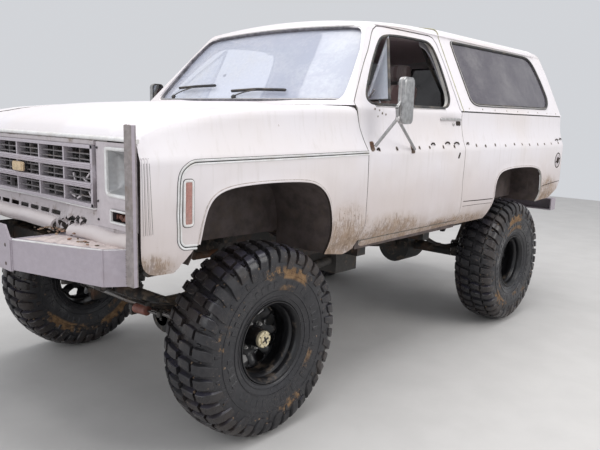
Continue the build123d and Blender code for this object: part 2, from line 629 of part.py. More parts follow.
# ================= axles, springs and steering =================
SPRINGS = [
    # x, front eye y, z, seat y, seat z, rear eye y, z
    (404, -575, 765, 0, 566, 575, 700),
    (560, 2060, 740, WHEELBASE, 566, 3330, 790),
]
SPRING_T, SPRING_W = 44.0, 58.0
with BuildPart() as leaf_springs:
    for x, ya, za, yb, zb, yc, zc in SPRINGS:
        for side in (1, -1):
            with BuildSketch(side_plane(side * x - SPRING_W / 2)) as s:
                with BuildLine():
                    ThreePointArc((ya, za), (yb, zb), (yc, zc))
                    Line((yc, zc), (yc, zc - 12))
                    ThreePointArc((yc, zc - 12), (yb, zb - SPRING_T + 18), (ya, za - 12))
                    Line((ya, za - 12), (ya, za))
                make_face()
            extrude(s.sketch, amount=SPRING_W)
save(leaf_springs, "leaf_springs")

with BuildPart() as shock_absorbers:
    for side in (1, -1):
        rod((side * 500, 120, 560), (side * 500, 120, 760), 28)
        rod((side * 500, 120, 750), (side * 500, 120, 899), 33)
        rod((side * 500, 120, 500), (side * 500, 120, 565), 10)
        rod((side * 470, 2850, 500), (side * 470, 3010, 720), 28)
        rod((side * 470, 3000, 706), (side * 470, 3100, 843), 10)
save(shock_absorbers, "shock_absorbers")

YOKE_GAP = 95.0
with BuildPart() as axle_front:
    rod((-625, 0, WHEEL_Z), (625, 0, WHEEL_Z), 42)
    rod((288, -130, WHEEL_Z), (288, 130, WHEEL_Z), 98)
    rod((288, -146, WHEEL_Z), (288, -125, WHEEL_Z), 82)
    rod((288, 125, WHEEL_Z + 8), (288, 152, WHEEL_Z + 8), 42)
    for side in (1, -1):
        xa, xb = sorted((side * 600, side * 640))
        block(xa, xb, -45, 45, WHEEL_Z - 125, WHEEL_Z + 125)
        for z in (WHEEL_Z - 125, WHEEL_Z + YOKE_GAP + 5):
            xa, xb = sorted((side * 600, side * KINGPIN_X))
            block(xa, xb, -28, 28, z, z + 25)
            with Locations((side * KINGPIN_X, Y0, z + 12.5)):
                Cylinder(28, 25)
        with Locations((side * KINGPIN_X, Y0, WHEEL_Z)):
            Cylinder(10 + RUN, 300, mode=Mode.SUBTRACT)
        xa, xb = sorted((side * 372, side * 436))
        block(xa, xb, -55, 55, WHEEL_Z, 537)
        xa, xb = sorted((side * 470, side * 530))
        block(xa, xb, 30, 150, WHEEL_Z - 25, WHEEL_Z + 11)
save(axle_front, "axle_front")

with BuildPart() as axle_rear:
    rod((-770, WHEELBASE, WHEEL_Z), (770, WHEELBASE, WHEEL_Z), 44)
    rod((0, WHEELBASE - 140, WHEEL_Z), (0, WHEELBASE + 130, WHEEL_Z), 160)
    rod((0, WHEELBASE + 125, WHEEL_Z), (0, WHEELBASE + 165, WHEEL_Z), 115)
    for side in (1, -1):
        rod((side * 740, WHEELBASE, WHEEL_Z), (side * (REAR_WHEEL_X + 18), WHEELBASE, WHEEL_Z), SPINDLE_R)
        rod((side * 740, WHEELBASE, WHEEL_Z), (side * 772, WHEELBASE, WHEEL_Z), 75)
        xa, xb = sorted((side * 526, side * 594))
        block(xa, xb, WHEELBASE - 55, WHEELBASE + 55, WHEEL_Z, 537)
        xa, xb = sorted((side * 440, side * 500))
        block(xa, xb, WHEELBASE + 30, WHEELBASE + 140, WHEEL_Z - 30, WHEEL_Z + 8)
save(axle_rear, "axle_rear")

for side, tag in ((1, "left"), (-1, "right")):
    with BuildPart() as knuckle:
        with Locations((side * KINGPIN_X, Y0, WHEEL_Z)):
            Cylinder(36, 2 * YOKE_GAP)
            Cylinder(10, 240)
        rod((side * KINGPIN_X, 0, WHEEL_Z), (side * (KINGPIN_X + 50), 0, WHEEL_Z), 80)
        rod((side * (KINGPIN_X - 0), 0, WHEEL_Z), (side * (FRONT_WHEEL_X + 18), 0, WHEEL_Z), SPINDLE_R)
        # the knuckle's flange stays clear of the yoke behind it
        xa, xb = sorted((side * 500, side * 660))
        block(xa, xb, -100, 100, WHEEL_Z - 200, WHEEL_Z + 200, Mode.SUBTRACT)
        xa, xb = sorted((side * (KINGPIN_X - 22), side * (KINGPIN_X + 18)))
        block(xa, xb, -STEER_ARM, 0, WHEEL_Z - 5, WHEEL_Z + 22)
        with Locations((side * KINGPIN_X, Y0 - STEER_ARM, 0.5 * (WHEEL_Z - 5 + TIE_ROD_Z + 12))):
            Cylinder(8, TIE_ROD_Z + 12 - WHEEL_Z + 5)
        with Locations((side * KINGPIN_X, Y0 - STEER_ARM, WHEEL_Z + 8.5)):
            Cylinder(20, 27)
    save(knuckle, f"knuckle_{tag}")

with BuildPart() as tie_rod:
    rod((-KINGPIN_X + 15, -STEER_ARM, TIE_ROD_Z), (KINGPIN_X - 15, -STEER_ARM, TIE_ROD_Z), 17)
    with Locations((KINGPIN_X, Y0 - STEER_ARM, TIE_ROD_Z), (-KINGPIN_X, Y0 - STEER_ARM, TIE_ROD_Z)):
        Cylinder(21, 38)
    with Locations((KINGPIN_X, Y0 - STEER_ARM, TIE_ROD_Z)):
        Cylinder(8 + RUN, 60, mode=Mode.SUBTRACT)
    with Locations((-KINGPIN_X, Y0 - STEER_ARM, TIE_ROD_Z)):
        Cylinder(9, 60, mode=Mode.SUBTRACT)
save(tie_rod, "tie_rod")

with BuildPart() as steering_gear:
    block(433, 525, -430, -270, 868, 978)
    rod((480, -350, 800), (480, -350, 870), 22)
    block(462, 498, -372, -205, 785, 812)
    rod((480, -280, 930), (420, 590, 1180), 11)
save(steering_gear, "steering_gear")

# ================= wheels =================
# rim section: radius, distance outward from the wheel's middle plane
RIM = [
    (31, -138), (75, -138), (75, -118), (150, -118), (150, -104), (75, -104), (75, -64), (178, -52),
    (178, -118), (198, -127), (RIM_R, -127), (RIM_R, -119), (196, -116), (BEAD_R - 1, -104), (BEAD_R - 1, 104),
    (196, 116), (RIM_R, 119), (RIM_R, 127), (198, 127), (180, 112), (176, 20), (176, -40), (72, -50), (66, 52), (34, 64), (0, 64),
    (0, 24), (SPINDLE_R + RUN, 24), (SPINDLE_R + RUN, -137), (31, -138),
]
# tyre section, same columns
TYRE_OUT = [(193, -103), (197, -113), (206, -117), (235, -132), (300, -147), (350, -150), (420, -146), (462, -140), (TYRE_R - 6, -TREAD_HALF + 10), (TYRE_R, -90)]
TYRE_IN = [(193, -88), (240, -112), (300, -122), (380, -122), (430, -112), (448, -70)]
WHEELS = [
    ("front_left", 1, FRONT_WHEEL_X, 0.0), ("front_right", -1, FRONT_WHEEL_X, 0.0),
    ("rear_left", 1, REAR_WHEEL_X, WHEELBASE), ("rear_right", -1, REAR_WHEEL_X, WHEELBASE),
]
for tag, side, x, y in WHEELS:
    # local x is the radius (up), local y points outboard
    here = Plane(origin=(side * x, Y0 + y, WHEEL_Z), x_dir=(0, 0, 1), z_dir=(0, side, 0))
    axis = Axis((side * x, Y0 + y, WHEEL_Z), (1, 0, 0))
    with BuildPart() as rim:
        with BuildSketch(here) as s:
            with BuildLine():
                Polyline(*RIM[:-1], close=True)
            make_face()
        revolve(s.sketch, axis=axis)
    save(rim, f"rim_{tag}")
    tyre_points = TYRE_OUT + [(r, -a) for r, a in reversed(TYRE_OUT)] + [(r, -a) for r, a in TYRE_IN] + list(reversed(TYRE_IN))
    with BuildPart() as tyre:
        with BuildSketch(here) as s:
            with BuildLine():
                Polyline(*tyre_points, close=True)
            make_face()
        revolve(s.sketch, axis=axis)
    save(tyre, f"tyre_{tag}")
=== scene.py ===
import bpy
import bmesh
import math
import random
import numpy as np
from mathutils import Matrix, Vector
from mathutils.geometry import delaunay_2d_cdt


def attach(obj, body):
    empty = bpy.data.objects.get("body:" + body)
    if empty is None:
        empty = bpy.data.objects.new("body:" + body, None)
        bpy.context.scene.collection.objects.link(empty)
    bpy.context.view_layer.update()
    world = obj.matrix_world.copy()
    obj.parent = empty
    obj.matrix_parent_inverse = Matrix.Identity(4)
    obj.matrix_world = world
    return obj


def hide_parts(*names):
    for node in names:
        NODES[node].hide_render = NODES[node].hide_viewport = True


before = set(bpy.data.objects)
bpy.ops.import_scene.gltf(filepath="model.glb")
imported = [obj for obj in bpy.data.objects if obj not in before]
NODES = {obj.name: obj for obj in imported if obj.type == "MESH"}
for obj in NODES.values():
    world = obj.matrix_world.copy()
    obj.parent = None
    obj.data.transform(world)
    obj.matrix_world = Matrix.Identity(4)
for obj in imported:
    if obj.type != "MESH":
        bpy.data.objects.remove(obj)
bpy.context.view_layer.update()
random.seed(7)
RNG = np.random.default_rng(7)

# Lengths below are millimetres: x to the vehicle's left, y rearward from the front axle, z up from the ground.
Y0 = -1420.0


def P(x, y, z):
    return Vector((x * 0.001, (y + Y0) * 0.001, z * 0.001))


# ------------------------------------------------------------------ camera
cam_data = bpy.data.cameras.new("camera")
cam = bpy.data.objects.new("camera", cam_data)
bpy.context.scene.collection.objects.link(cam)
bpy.context.scene.camera = cam
CAM = dict(pos=(3036.0, -2093.0, 1580.0), yaw=-41.83, pitch=-9.77, roll=1.53, f=622.2)


def set_camera():
    yaw, pitch, roll = (math.radians(CAM[k]) for k in ("yaw", "pitch", "roll"))
    f = Vector((math.sin(yaw) * math.cos(pitch), math.cos(yaw) * math.cos(pitch), math.sin(pitch)))
    r = Vector((math.cos(yaw), -math.sin(yaw), 0))
    u = r.cross(f)
    r2 = math.cos(roll) * r + math.sin(roll) * u
    u2 = -math.sin(roll) * r + math.cos(roll) * u
    m = Matrix((r2, u2, -f)).transposed().to_4x4()
    m.translation = P(*CAM["pos"])
    cam.matrix_world = m
    cam_data.sensor_width = 36.0
    cam_data.lens = 36.0 * CAM["f"] / 600.0
    cam_data.clip_end = 100.0


set_camera()

# ------------------------------------------------------------------ materials


class Mat:
    """A small helper for node materials: every call adds one node and returns its output socket."""

    def __init__(self, name):
        self.m = bpy.data.materials.new(name)
        self.m.use_nodes = True
        self.t = self.m.node_tree
        self.t.nodes.clear()
        self.out = self.t.nodes.new("ShaderNodeOutputMaterial")
        self.b = self.t.nodes.new("ShaderNodeBsdfPrincipled")
        self.t.links.new(self.b.outputs[0], self.out.inputs[0])
        tc = self.t.nodes.new("ShaderNodeTexCoord")
        self.co = tc.outputs["Object"]

    def link(self, a, b):
        self.t.links.new(a, b)

    def put(self, sock, v):
        if isinstance(v, bpy.types.NodeSocket):
            self.link(v, sock)
        elif hasattr(sock, "default_value"):
            if isinstance(v, (tuple, list)) and len(v) == 3 and len(sock.default_value) == 4:
                v = (*v, 1.0)
            sock.default_value = v

    def set(self, **kw):
        for k, v in kw.items():
            self.put(self.b.inputs[k.replace("_", " ")], v)

    def noise(self, scale=10.0, detail=4.0, rough=0.55, co=None, dist=0.0):
        n = self.t.nodes.new("ShaderNodeTexNoise")
        self.put(n.inputs["Vector"], co or self.co)
        n.inputs["Scale"].default_value = scale
        n.inputs["Detail"].default_value = detail
        n.inputs["Roughness"].default_value = rough
        n.inputs["Distortion"].default_value = dist
        return n.outputs["Fac"]

    def voronoi(self, scale=10.0, feature="F1", co=None, rand=1.0):
        n = self.t.nodes.new("ShaderNodeTexVoronoi")
        n.feature = feature
        self.put(n.inputs["Vector"], co or self.co)
        n.inputs["Scale"].default_value = scale
        n.inputs["Randomness"].default_value = rand
        return n.outputs["Distance"]

    def ramp(self, fac, stops):
        n = self.t.nodes.new("ShaderNodeValToRGB")
        self.put(n.inputs[0], fac)
        e = n.color_ramp.elements
        while len(e) < len(stops):
            e.new(0.5)
        for i, (p, c) in enumerate(stops):
            e[i].position = p
            e[i].color = (c, c, c, 1) if isinstance(c, (int, float)) else (*c, 1)
        return n.outputs[0]

    def span(self, v, a, b, c=0.0, d=1.0, smooth=True):
        n = self.t.nodes.new("ShaderNodeMapRange")
        if smooth:
            n.interpolation_type = "SMOOTHSTEP"
        self.put(n.inputs[0], v)
        for i, x in enumerate((a, b, c, d)):
            n.inputs[i + 1].default_value = x
        return n.outputs[0]

    def math(self, op, a, b=0.0, clamp=False):
        n = self.t.nodes.new("ShaderNodeMath")
        n.operation = op
        n.use_clamp = clamp
        self.put(n.inputs[0], a)
        self.put(n.inputs[1], b)
        return n.outputs[0]

    def mix(self, fac, a, b, blend="MIX"):
        n = self.t.nodes.new("ShaderNodeMix")
        n.data_type = "RGBA"
        n.blend_type = blend
        self.put(n.inputs[0], fac)
        self.put(n.inputs[6], a)
        self.put(n.inputs[7], b)
        return n.outputs[2]

    def fmix(self, fac, a, b):
        n = self.t.nodes.new("ShaderNodeMix")
        n.data_type = "FLOAT"
        self.put(n.inputs[0], fac)
        self.put(n.inputs[2], a)
        self.put(n.inputs[3], b)
        return n.outputs[0]

    def xyz(self, co=None):
        n = self.t.nodes.new("ShaderNodeSeparateXYZ")
        self.put(n.inputs[0], co or self.co)
        return n.outputs

    def scaled(self, sx, sy, sz, co=None):
        n = self.t.nodes.new("ShaderNodeVectorMath")
        n.operation = "MULTIPLY"
        self.put(n.inputs[0], co or self.co)
        n.inputs[1].default_value = (sx, sy, sz)
        return n.outputs[0]

    def dist(self, p, co=None):
        n = self.t.nodes.new("ShaderNodeVectorMath")
        n.operation = "DISTANCE"
        self.put(n.inputs[0], co or self.co)
        n.inputs[1].default_value = p
        return n.outputs["Value"]

    def bump(self, height, strength=0.3, distance=0.002, normal=None):
        n = self.t.nodes.new("ShaderNodeBump")
        n.inputs["Strength"].default_value = strength
        n.inputs["Distance"].default_value = distance
        self.put(n.inputs["Height"], height)
        if normal is not None:
            self.put(n.inputs["Normal"], normal)
        self.link(n.outputs[0], self.b.inputs["Normal"])
        return n.outputs[0]

    def facing_up(self):
        n = self.t.nodes.new("ShaderNodeNewGeometry")
        s = self.t.nodes.new("ShaderNodeSeparateXYZ")
        self.link(n.outputs["Normal"], s.inputs[0])
        return s.outputs[2]

    def pointy(self):
        n = self.t.nodes.new("ShaderNodeNewGeometry")
        return n.outputs["Pointiness"]


MUD = (0.145, 0.105, 0.075)
MUD_DRY = (0.36, 0.29, 0.22)
MATS = {}


def yv(y):
    # y from the front axle in millimetres to the frame's metres
    return (y + Y0) * 0.001


def paint(name, white=(0.775, 0.738, 0.762)):
    m = Mat(name)
    x, y, z = m.xyz()
    big = m.noise(1.7, 3, 0.5)
    fine = m.noise(60, 4, 0.6)
    blot = m.noise(9, 5, 0.62)
    # slight yellowing and greyness in broad patches
    col = m.mix(m.span(big, 0.35, 0.7), white, (white[0] * 0.955, white[1] * 0.93, white[2] * 0.89))
    # faint streaks that run down
    streak = m.noise(1.0, 4, 0.6, co=m.scaled(38, 38, 3.2))
    side_on = m.span(m.facing_up(), 0.75, 0.35)
    col = m.mix(m.math("MULTIPLY", m.math("MULTIPLY", m.span(streak, 0.50, 0.80), side_on), 0.24), col, (0.50, 0.46, 0.41))
    # the lower half is duller, and a brown film thickens towards the sills
    dull = m.span(m.math("ADD", z, m.math("MULTIPLY", blot, -0.10)), 1.33, 1.02)
    col = m.mix(m.math("MULTIPLY", dull, 0.50), col, (0.475, 0.395, 0.365))
    low = m.span(z, 1.12, 0.84)
    film = m.math("MULTIPLY", low, m.span(m.math("ADD", blot, m.math("MULTIPLY", low, 0.25)), 0.30, 0.80))
    col = m.mix(m.math("MULTIPLY", film, 0.50), col, (0.36, 0.275, 0.22))
    # thrown mud behind both wheels: fine drops and short upright runs in a brown haze, never a solid patch
    mud = None
    for yc, zc, ry, rz in ((0.57, 0.85, 0.30, 0.34), (1.02, 0.88, 0.50, 0.19), (3.42, 0.99, 0.30, 0.19), (-0.69, 0.95, 0.14, 0.10), (1.75, 0.87, 0.8, 0.10)):
        dy = m.math("MULTIPLY", m.math("SUBTRACT", y, yc + Y0 * 0.001), 1 / ry)
        dz = m.math("MULTIPLY", m.math("SUBTRACT", z, zc), 1 / rz)
        d = m.math("ADD", m.math("MULTIPLY", dy, dy), m.math("MULTIPLY", dz, dz))
        k = m.span(d, 1.0, 0.0)
        mud = k if mud is None else m.math("MAXIMUM", mud, k)
    runs = m.noise(1.0, 5, 0.66, co=m.scaled(85, 85, 15))
    spots = m.noise(80, 4, 0.65)
    run_mask = m.span(m.math("ADD", runs, m.math("MULTIPLY", mud, 0.20)), 0.61, 0.74)
    spot_mask = m.span(m.math("ADD", spots, m.math("MULTIPLY", mud, 0.20)), 0.69, 0.76)
    cover = m.math("MULTIPLY", m.math("MAXIMUM", run_mask, spot_mask), m.span(mud, 0.02, 0.30))
    mudcol = m.mix(m.span(m.noise(13, 5), 0.3, 0.7), (0.125, 0.080, 0.050), (0.30, 0.205, 0.135))
    haze = m.math("MULTIPLY", mud, m.span(m.noise(15, 4), 0.25, 0.7))
    col = m.mix(m.math("MULTIPLY", haze, 0.80), col, (0.325, 0.222, 0.140))
    col = m.mix(m.math("MULTIPLY", cover, 0.55), col, mudcol)
    # small scuffs and chips down to rust
    chip = m.math("MULTIPLY", m.span(m.noise(23, 6, 0.72), 0.700, 0.73), m.span(m.noise(3.1, 2), 0.50, 0.62))
    col = m.mix(m.math("MULTIPLY", chip, side_on), col, (0.21, 0.115, 0.065))
    rough = m.fmix(cover, m.span(big, 0.3, 0.7, 0.30, 0.46), 0.9)
    rough = m.math("MAXIMUM", rough, m.math("MULTIPLY", film, 0.75))
    m.set(Base_Color=col, Roughness=rough)
    m.b.inputs["Specular IOR Level"].default_value = 0.42
    m.b.inputs["Coat Weight"].default_value = 0.08
    m.b.inputs["Coat Roughness"].default_value = 0.3
    h = m.math("ADD", m.math("MULTIPLY", fine, 0.05), m.math("MULTIPLY", cover, m.math("ADD", 0.4, m.math("MULTIPLY", spots, 0.6))))
    m.bump(h, 0.30, 0.0014)
    return m.m


def metal(name, base, rough=0.5, rust=0.3, mud=0.4, metallic=0.7, rustcol=(0.19, 0.085, 0.04), lo=0.72):
    m = Mat(name)
    n1, n2, n3 = m.noise(6, 5, 0.6), m.noise(42, 5, 0.65), m.noise(2.2, 3)
    col = m.mix(m.span(n2, 0.3, 0.75), tuple(c * lo for c in base), tuple(min(1, c * (1.52 - 0.515 * lo)) for c in base))
    rmask = m.math("MULTIPLY", m.span(n1, 0.62 - 0.25 * rust, 0.80 - 0.2 * rust), rust)
    col = m.mix(rmask, col, rustcol)
    mmask = m.math("MULTIPLY", m.span(m.math("ADD", m.noise(15, 6, 0.66), m.math("MULTIPLY", m.facing_up(), 0.10)), 0.64 - 0.22 * mud, 0.80 - 0.2 * mud), min(1.0, mud * 1.6))
    mudcol = m.mix(m.span(n3, 0.35, 0.65), MUD, (0.27, 0.21, 0.155))
    col = m.mix(mmask, col, mudcol)
    both = m.math("MAXIMUM", rmask, mmask)
    m.set(Base_Color=col, Roughness=m.fmix(both, m.span(n2, 0.2, 0.8, rough * 0.8, rough * 1.2), 0.9), Metallic=m.math("MULTIPLY", m.math("SUBTRACT", 1.0, both), metallic))
    m.bump(m.math("ADD", m.math("MULTIPLY", n2, 0.25), m.math("MULTIPLY", mmask, 0.8)), 0.4, 0.0015)
    return m.m


def tyre_mat(name):
    m = Mat(name)
    n1, n2, n3 = m.noise(7, 5, 0.62), m.noise(55, 5, 0.65), m.noise(24, 6, 0.7)
    col = m.mix(m.span(n2, 0.3, 0.7), (0.0125, 0.012, 0.0145), (0.026, 0.0245, 0.027))
    wet = m.span(m.noise(4.8, 3), 0.44, 0.58)
    # mud lies in blotches and fills in where the surface is hollow
    hollow = m.span(m.pointy(), 0.51, 0.44)
    mask = m.span(m.math("ADD", m.math("MULTIPLY", n3, 0.8), m.math("ADD", m.math("MULTIPLY", n1, 0.5), m.math("MULTIPLY", hollow, 0.26))), 0.77, 0.92)
    mudcol = m.mix(m.span(n1, 0.35, 0.65), (0.060, 0.042, 0.031), (0.145, 0.102, 0.070))
    col = m.mix(m.math("MULTIPLY", mask, 0.85), col, mudcol)
    film = m.math("MULTIPLY", m.span(m.noise(3.1, 3), 0.42, 0.62), 0.55)
    col = m.mix(film, col, (0.040, 0.029, 0.024))
    speck = m.math("MULTIPLY", m.span(m.noise(105, 4, 0.7), 0.62, 0.68), m.span(m.noise(6.5, 3), 0.42, 0.60))
    col = m.mix(m.math("MULTIPLY", speck, 0.8), col, (0.27, 0.205, 0.150))
    # painted sheen: a bluish tint on the upward-facing wet parts of the tread stands in for the reflected sky
    painted_sky_sheen = m.math("MULTIPLY", m.math("MULTIPLY", wet, m.span(m.facing_up(), 0.55, 0.85)), 0.5)
    col = m.mix(painted_sky_sheen, col, (0.060, 0.058, 0.082))
    m.set(Base_Color=col, Roughness=m.fmix(mask, m.fmix(wet, 0.60, 0.27), 0.88))
    m.b.inputs["Specular IOR Level"].default_value = 0.5
    m.bump(m.math("ADD", m.math("MULTIPLY", n2, 0.35), m.math("MULTIPLY", mask, 0.9)), 0.45, 0.002)
    return m.m


def sidewall_mat(name, centre, seed):
    # rubber with ochre mud caught in broken arcs round the sidewall
    m = Mat(name)
    n1, n2, n3 = m.noise(7, 5, 0.62), m.noise(60, 5, 0.65), m.noise(30, 6, 0.72)
    d = m.dist(centre, co=m.scaled(0, 1, 1))
    col = m.mix(m.span(n2, 0.3, 0.7), (0.0135, 0.0135, 0.0165), (0.027, 0.0265, 0.030))
    va = m.t.nodes.new("ShaderNodeVectorMath")
    va.operation = "ADD"
    m.put(va.inputs[0], m.co)
    va.inputs[1].default_value = (seed * 3.1, seed * 1.7, 0.0)
    co = va.outputs[0]
    ring = m.math("MULTIPLY", m.span(d, 0.318, 0.332), m.span(d, 0.392, 0.372))
    ring2 = m.math("MULTIPLY", m.span(d, 0.262, 0.270), m.span(d, 0.300, 0.288))
    patch = m.span(m.math("ADD", m.math("MULTIPLY", m.noise(2.6, 1, co=co), 1.0), m.math("MULTIPLY", n3, 0.45)), 0.78, 0.87)
    patch2 = m.span(m.math("ADD", m.math("MULTIPLY", m.noise(3.2, 1, co=co), 1.0), m.math("MULTIPLY", n3, 0.4)), 0.79, 0.87)
    clean = m.span(m.math("ADD", m.math("MULTIPLY", n1, 0.6), m.math("MULTIPLY", n3, 0.6)), 0.72, 0.86)
    mask = m.math("MAXIMUM", m.math("MULTIPLY", ring, patch), m.math("MULTIPLY", m.math("MULTIPLY", ring2, patch2), 0.7))
    mudcol = m.mix(m.span(n3, 0.35, 0.65), (0.125, 0.068, 0.030), (0.27, 0.165, 0.082))
    col = m.mix(m.math("MULTIPLY", clean, 0.45), col, (0.060, 0.044, 0.032))
    col = m.mix(m.math("MULTIPLY", mask, 0.9), col, mudcol)
    m.set(Base_Color=col, Roughness=m.fmix(mask, m.fmix(m.span(n1, 0.4, 0.6), 0.52, 0.26), 0.9))
    m.b.inputs["Specular IOR Level"].default_value = 0.5
    m.bump(m.math("ADD", m.math("MULTIPLY", n2, 0.3), m.math("MULTIPLY", mask, 1.0)), 0.45, 0.002)
    return m.m


def glass(name, tint_and_painted_sky, alpha, rough=0.04, dirt=0.25):
    m = Mat(name)
    n1, n2 = m.noise(3.0, 4, 0.6), m.noise(45, 4, 0.6)
    film = m.math("MULTIPLY", m.span(m.math("ADD", m.math("MULTIPLY", n1, 0.7), m.math("MULTIPLY", n2, 0.3)), 0.42, 0.72), dirt)
    # the pane's base colour: a real tint on the dark panes, a pale blue on the windscreen and vent panes that paints in
    # the reflected sky
    col = m.mix(film, tint_and_painted_sky, (0.62, 0.60, 0.56))
    m.set(Base_Color=col, Roughness=m.fmix(film, rough, 0.5), Alpha=m.math("ADD", alpha, m.math("MULTIPLY", film, 0.5), clamp=True))
    m.b.inputs["IOR"].default_value = 1.5
    m.b.inputs["Specular IOR Level"].default_value = 0.8
    m.b.inputs["Coat Weight"].default_value = 0.6
    m.b.inputs["Coat Roughness"].default_value = 0.03
    return m.m


def plain(name, base, rough=0.6, metallic=0.0, var=0.18, scale=30, bump=0.25, dust=0.0, dcol=MUD_DRY):
    m = Mat(name)
    n1, n2 = m.noise(scale, 5, 0.6), m.noise(4, 3)
    lo = tuple(c * (1 - var) for c in base)
    hi = tuple(min(1, c * (1 + var)) for c in base)
    col = m.mix(m.span(n1, 0.3, 0.7), lo, hi)
    r = m.span(n2, 0.3, 0.7, rough * 0.85, min(1.0, rough * 1.15))
    if dust:
        k = m.math("MULTIPLY", m.span(m.math("ADD", m.noise(11, 6, 0.66), m.math("MULTIPLY", m.facing_up(), 0.08)), 0.45, 0.7), dust)
        col = m.mix(k, col, dcol)
        r = m.fmix(k, r, 0.9)
    m.set(Base_Color=col, Roughness=r)
    m.b.inputs["Metallic"].default_value = metallic
    m.bump(n1, bump, 0.001)
    return m.m


def cloth(name, base, stripe, scale=520.0):
    m = Mat(name)
    x, y, z = m.xyz()
    wx = m.math("SINE", m.math("MULTIPLY", m.math("ADD", x, z), scale))
    wy = m.math("SINE", m.math("MULTIPLY", m.math("ADD", y, m.math("MULTIPLY", z, 0.7)), scale))
    weave = m.math("MULTIPLY", wx, wy)
    n = m.noise(14, 5, 0.6)
    col = m.mix(m.span(weave, -0.6, 0.6), tuple(c * 0.8 for c in base), base)
    band = m.span(m.math("SINE", m.math("MULTIPLY", x, 62.0)), 0.55, 0.75)
    col = m.mix(m.math("MULTIPLY", band, 0.8), col, stripe)
    col = m.mix(m.math("MULTIPLY", m.span(n, 0.45, 0.75), 0.4), col, (0.20, 0.16, 0.13))
    m.set(Base_Color=col, Roughness=0.92)
    m.b.inputs["Sheen Weight"].default_value = 0.25
    m.bump(m.math("ADD", m.math("MULTIPLY", weave, 0.3), n), 0.35, 0.0012)
    return m.m


MATS["paint"] = paint("body_paint")
MATS["inner_paint"] = plain("inner_paint", (0.135, 0.108, 0.100), 0.75, var=0.25, scale=16, dust=0.5, dcol=(0.16, 0.12, 0.095))
MATS["jamb"] = plain("jamb_paint", (0.62, 0.60, 0.56), 0.5, var=0.1, scale=18, dust=0.35)
MATS["trim_in"] = plain("interior_trim", (0.42, 0.29, 0.29), 0.75, var=0.25, scale=40, dust=0.25)
MATS["headliner"] = plain("headliner", (0.86, 0.72, 0.74), 0.95, var=0.12, scale=120, bump=0.5)
MATS["chassis"] = metal("chassis_paint", (0.035, 0.034, 0.033), 0.55, rust=0.45, mud=0.55, metallic=0.3)
MATS["rust"] = metal("rusty_steel", (0.13, 0.09, 0.07), 0.7, rust=0.9, mud=0.35, metallic=0.35)
MATS["bumper"] = metal("bumper_paint", (0.405, 0.360, 0.400), 0.5, rust=0.16, mud=0.16, metallic=0.12, rustcol=(0.30, 0.235, 0.215), lo=0.92)
MATS["post_steel"] = metal("post_steel", (0.31, 0.275, 0.270), 0.6, rust=0.35, mud=0.40, metallic=0.1, rustcol=(0.20, 0.155, 0.13))
MATS["plate"] = metal("bumper_plate", (0.62, 0.60, 0.66), 0.45, rust=0.06, mud=0.08, metallic=0.1, rustcol=(0.40, 0.34, 0.32), lo=0.92)
MATS["crust"] = plain("dried_crust", (0.62, 0.535, 0.515), 0.95, var=0.18, scale=38, bump=0.9, dust=0.35, dcol=(0.45, 0.36, 0.32))
MATS["galv"] = metal("galvanised", (0.25, 0.225, 0.205), 0.72, rust=0.85, mud=0.35, metallic=0.2, rustcol=(0.20, 0.155, 0.125))
MATS["wheelhouse"] = plain("dusty_wheelhouse", (0.088, 0.068, 0.064), 0.85, var=0.3, scale=14, bump=0.5, dust=0.55, dcol=(0.105, 0.078, 0.062))
MATS["spring"] = metal("dark_spring", (0.045, 0.040, 0.038), 0.6, rust=0.35, mud=0.5, metallic=0.3, rustcol=(0.13, 0.075, 0.045))
MATS["chrome"] = plain("bright_metal", (0.74, 0.74, 0.73), 0.22, metallic=1.0, var=0.08, scale=50, bump=0.1, dust=0.15)
MATS["alloy"] = plain("dull_alloy", (0.45, 0.45, 0.44), 0.45, metallic=0.8, var=0.15, scale=35, dust=0.3)
MATS["grille"] = metal("grille_silver", (0.52, 0.475, 0.510), 0.5, rust=0.10, mud=0.20, metallic=0.2, rustcol=(0.24, 0.19, 0.16), lo=0.92)
MATS["grille_thin"] = metal("grille_thin_bars", (0.20, 0.185, 0.19), 0.55, rust=0.2, mud=0.4, metallic=0.1, rustcol=(0.13, 0.10, 0.085))
MATS["grille_dark"] = plain("grille_mesh", (0.040, 0.036, 0.038), 0.7, var=0.3, scale=25, dust=0.25, dcol=(0.12, 0.09, 0.075))
MATS["bezel"] = metal("bezel_plastic", (0.55, 0.500, 0.520), 0.55, rust=0.06, mud=0.14, metallic=0.05, rustcol=(0.38, 0.30, 0.24), lo=0.92)
MATS["black"] = plain("black_rubber", (0.022, 0.022, 0.023), 0.6, var=0.3, scale=60, dust=0.25)
MATS["plastic"] = plain("black_plastic", (0.03, 0.029, 0.03), 0.5, var=0.2, scale=80, dust=0.2)
MATS["wheel"] = metal("wheel_black", (0.012, 0.012, 0.014), 0.33, rust=0.10, mud=0.24, metallic=0.2)
MATS["iron"] = metal("cast_iron", (0.09, 0.085, 0.08), 0.6, rust=0.55, mud=0.45, metallic=0.4)
MATS["badge"] = plain("tarnished_plate", (0.62, 0.475, 0.30), 0.5, metallic=0.15, var=0.25, scale=60, dust=0.35, dcol=(0.38, 0.27, 0.19))
MATS["marker"] = plain("marker_salmon", (0.40, 0.195, 0.165), 0.35, var=0.18, scale=120, bump=0.3, dust=0.3, dcol=(0.42, 0.34, 0.30))
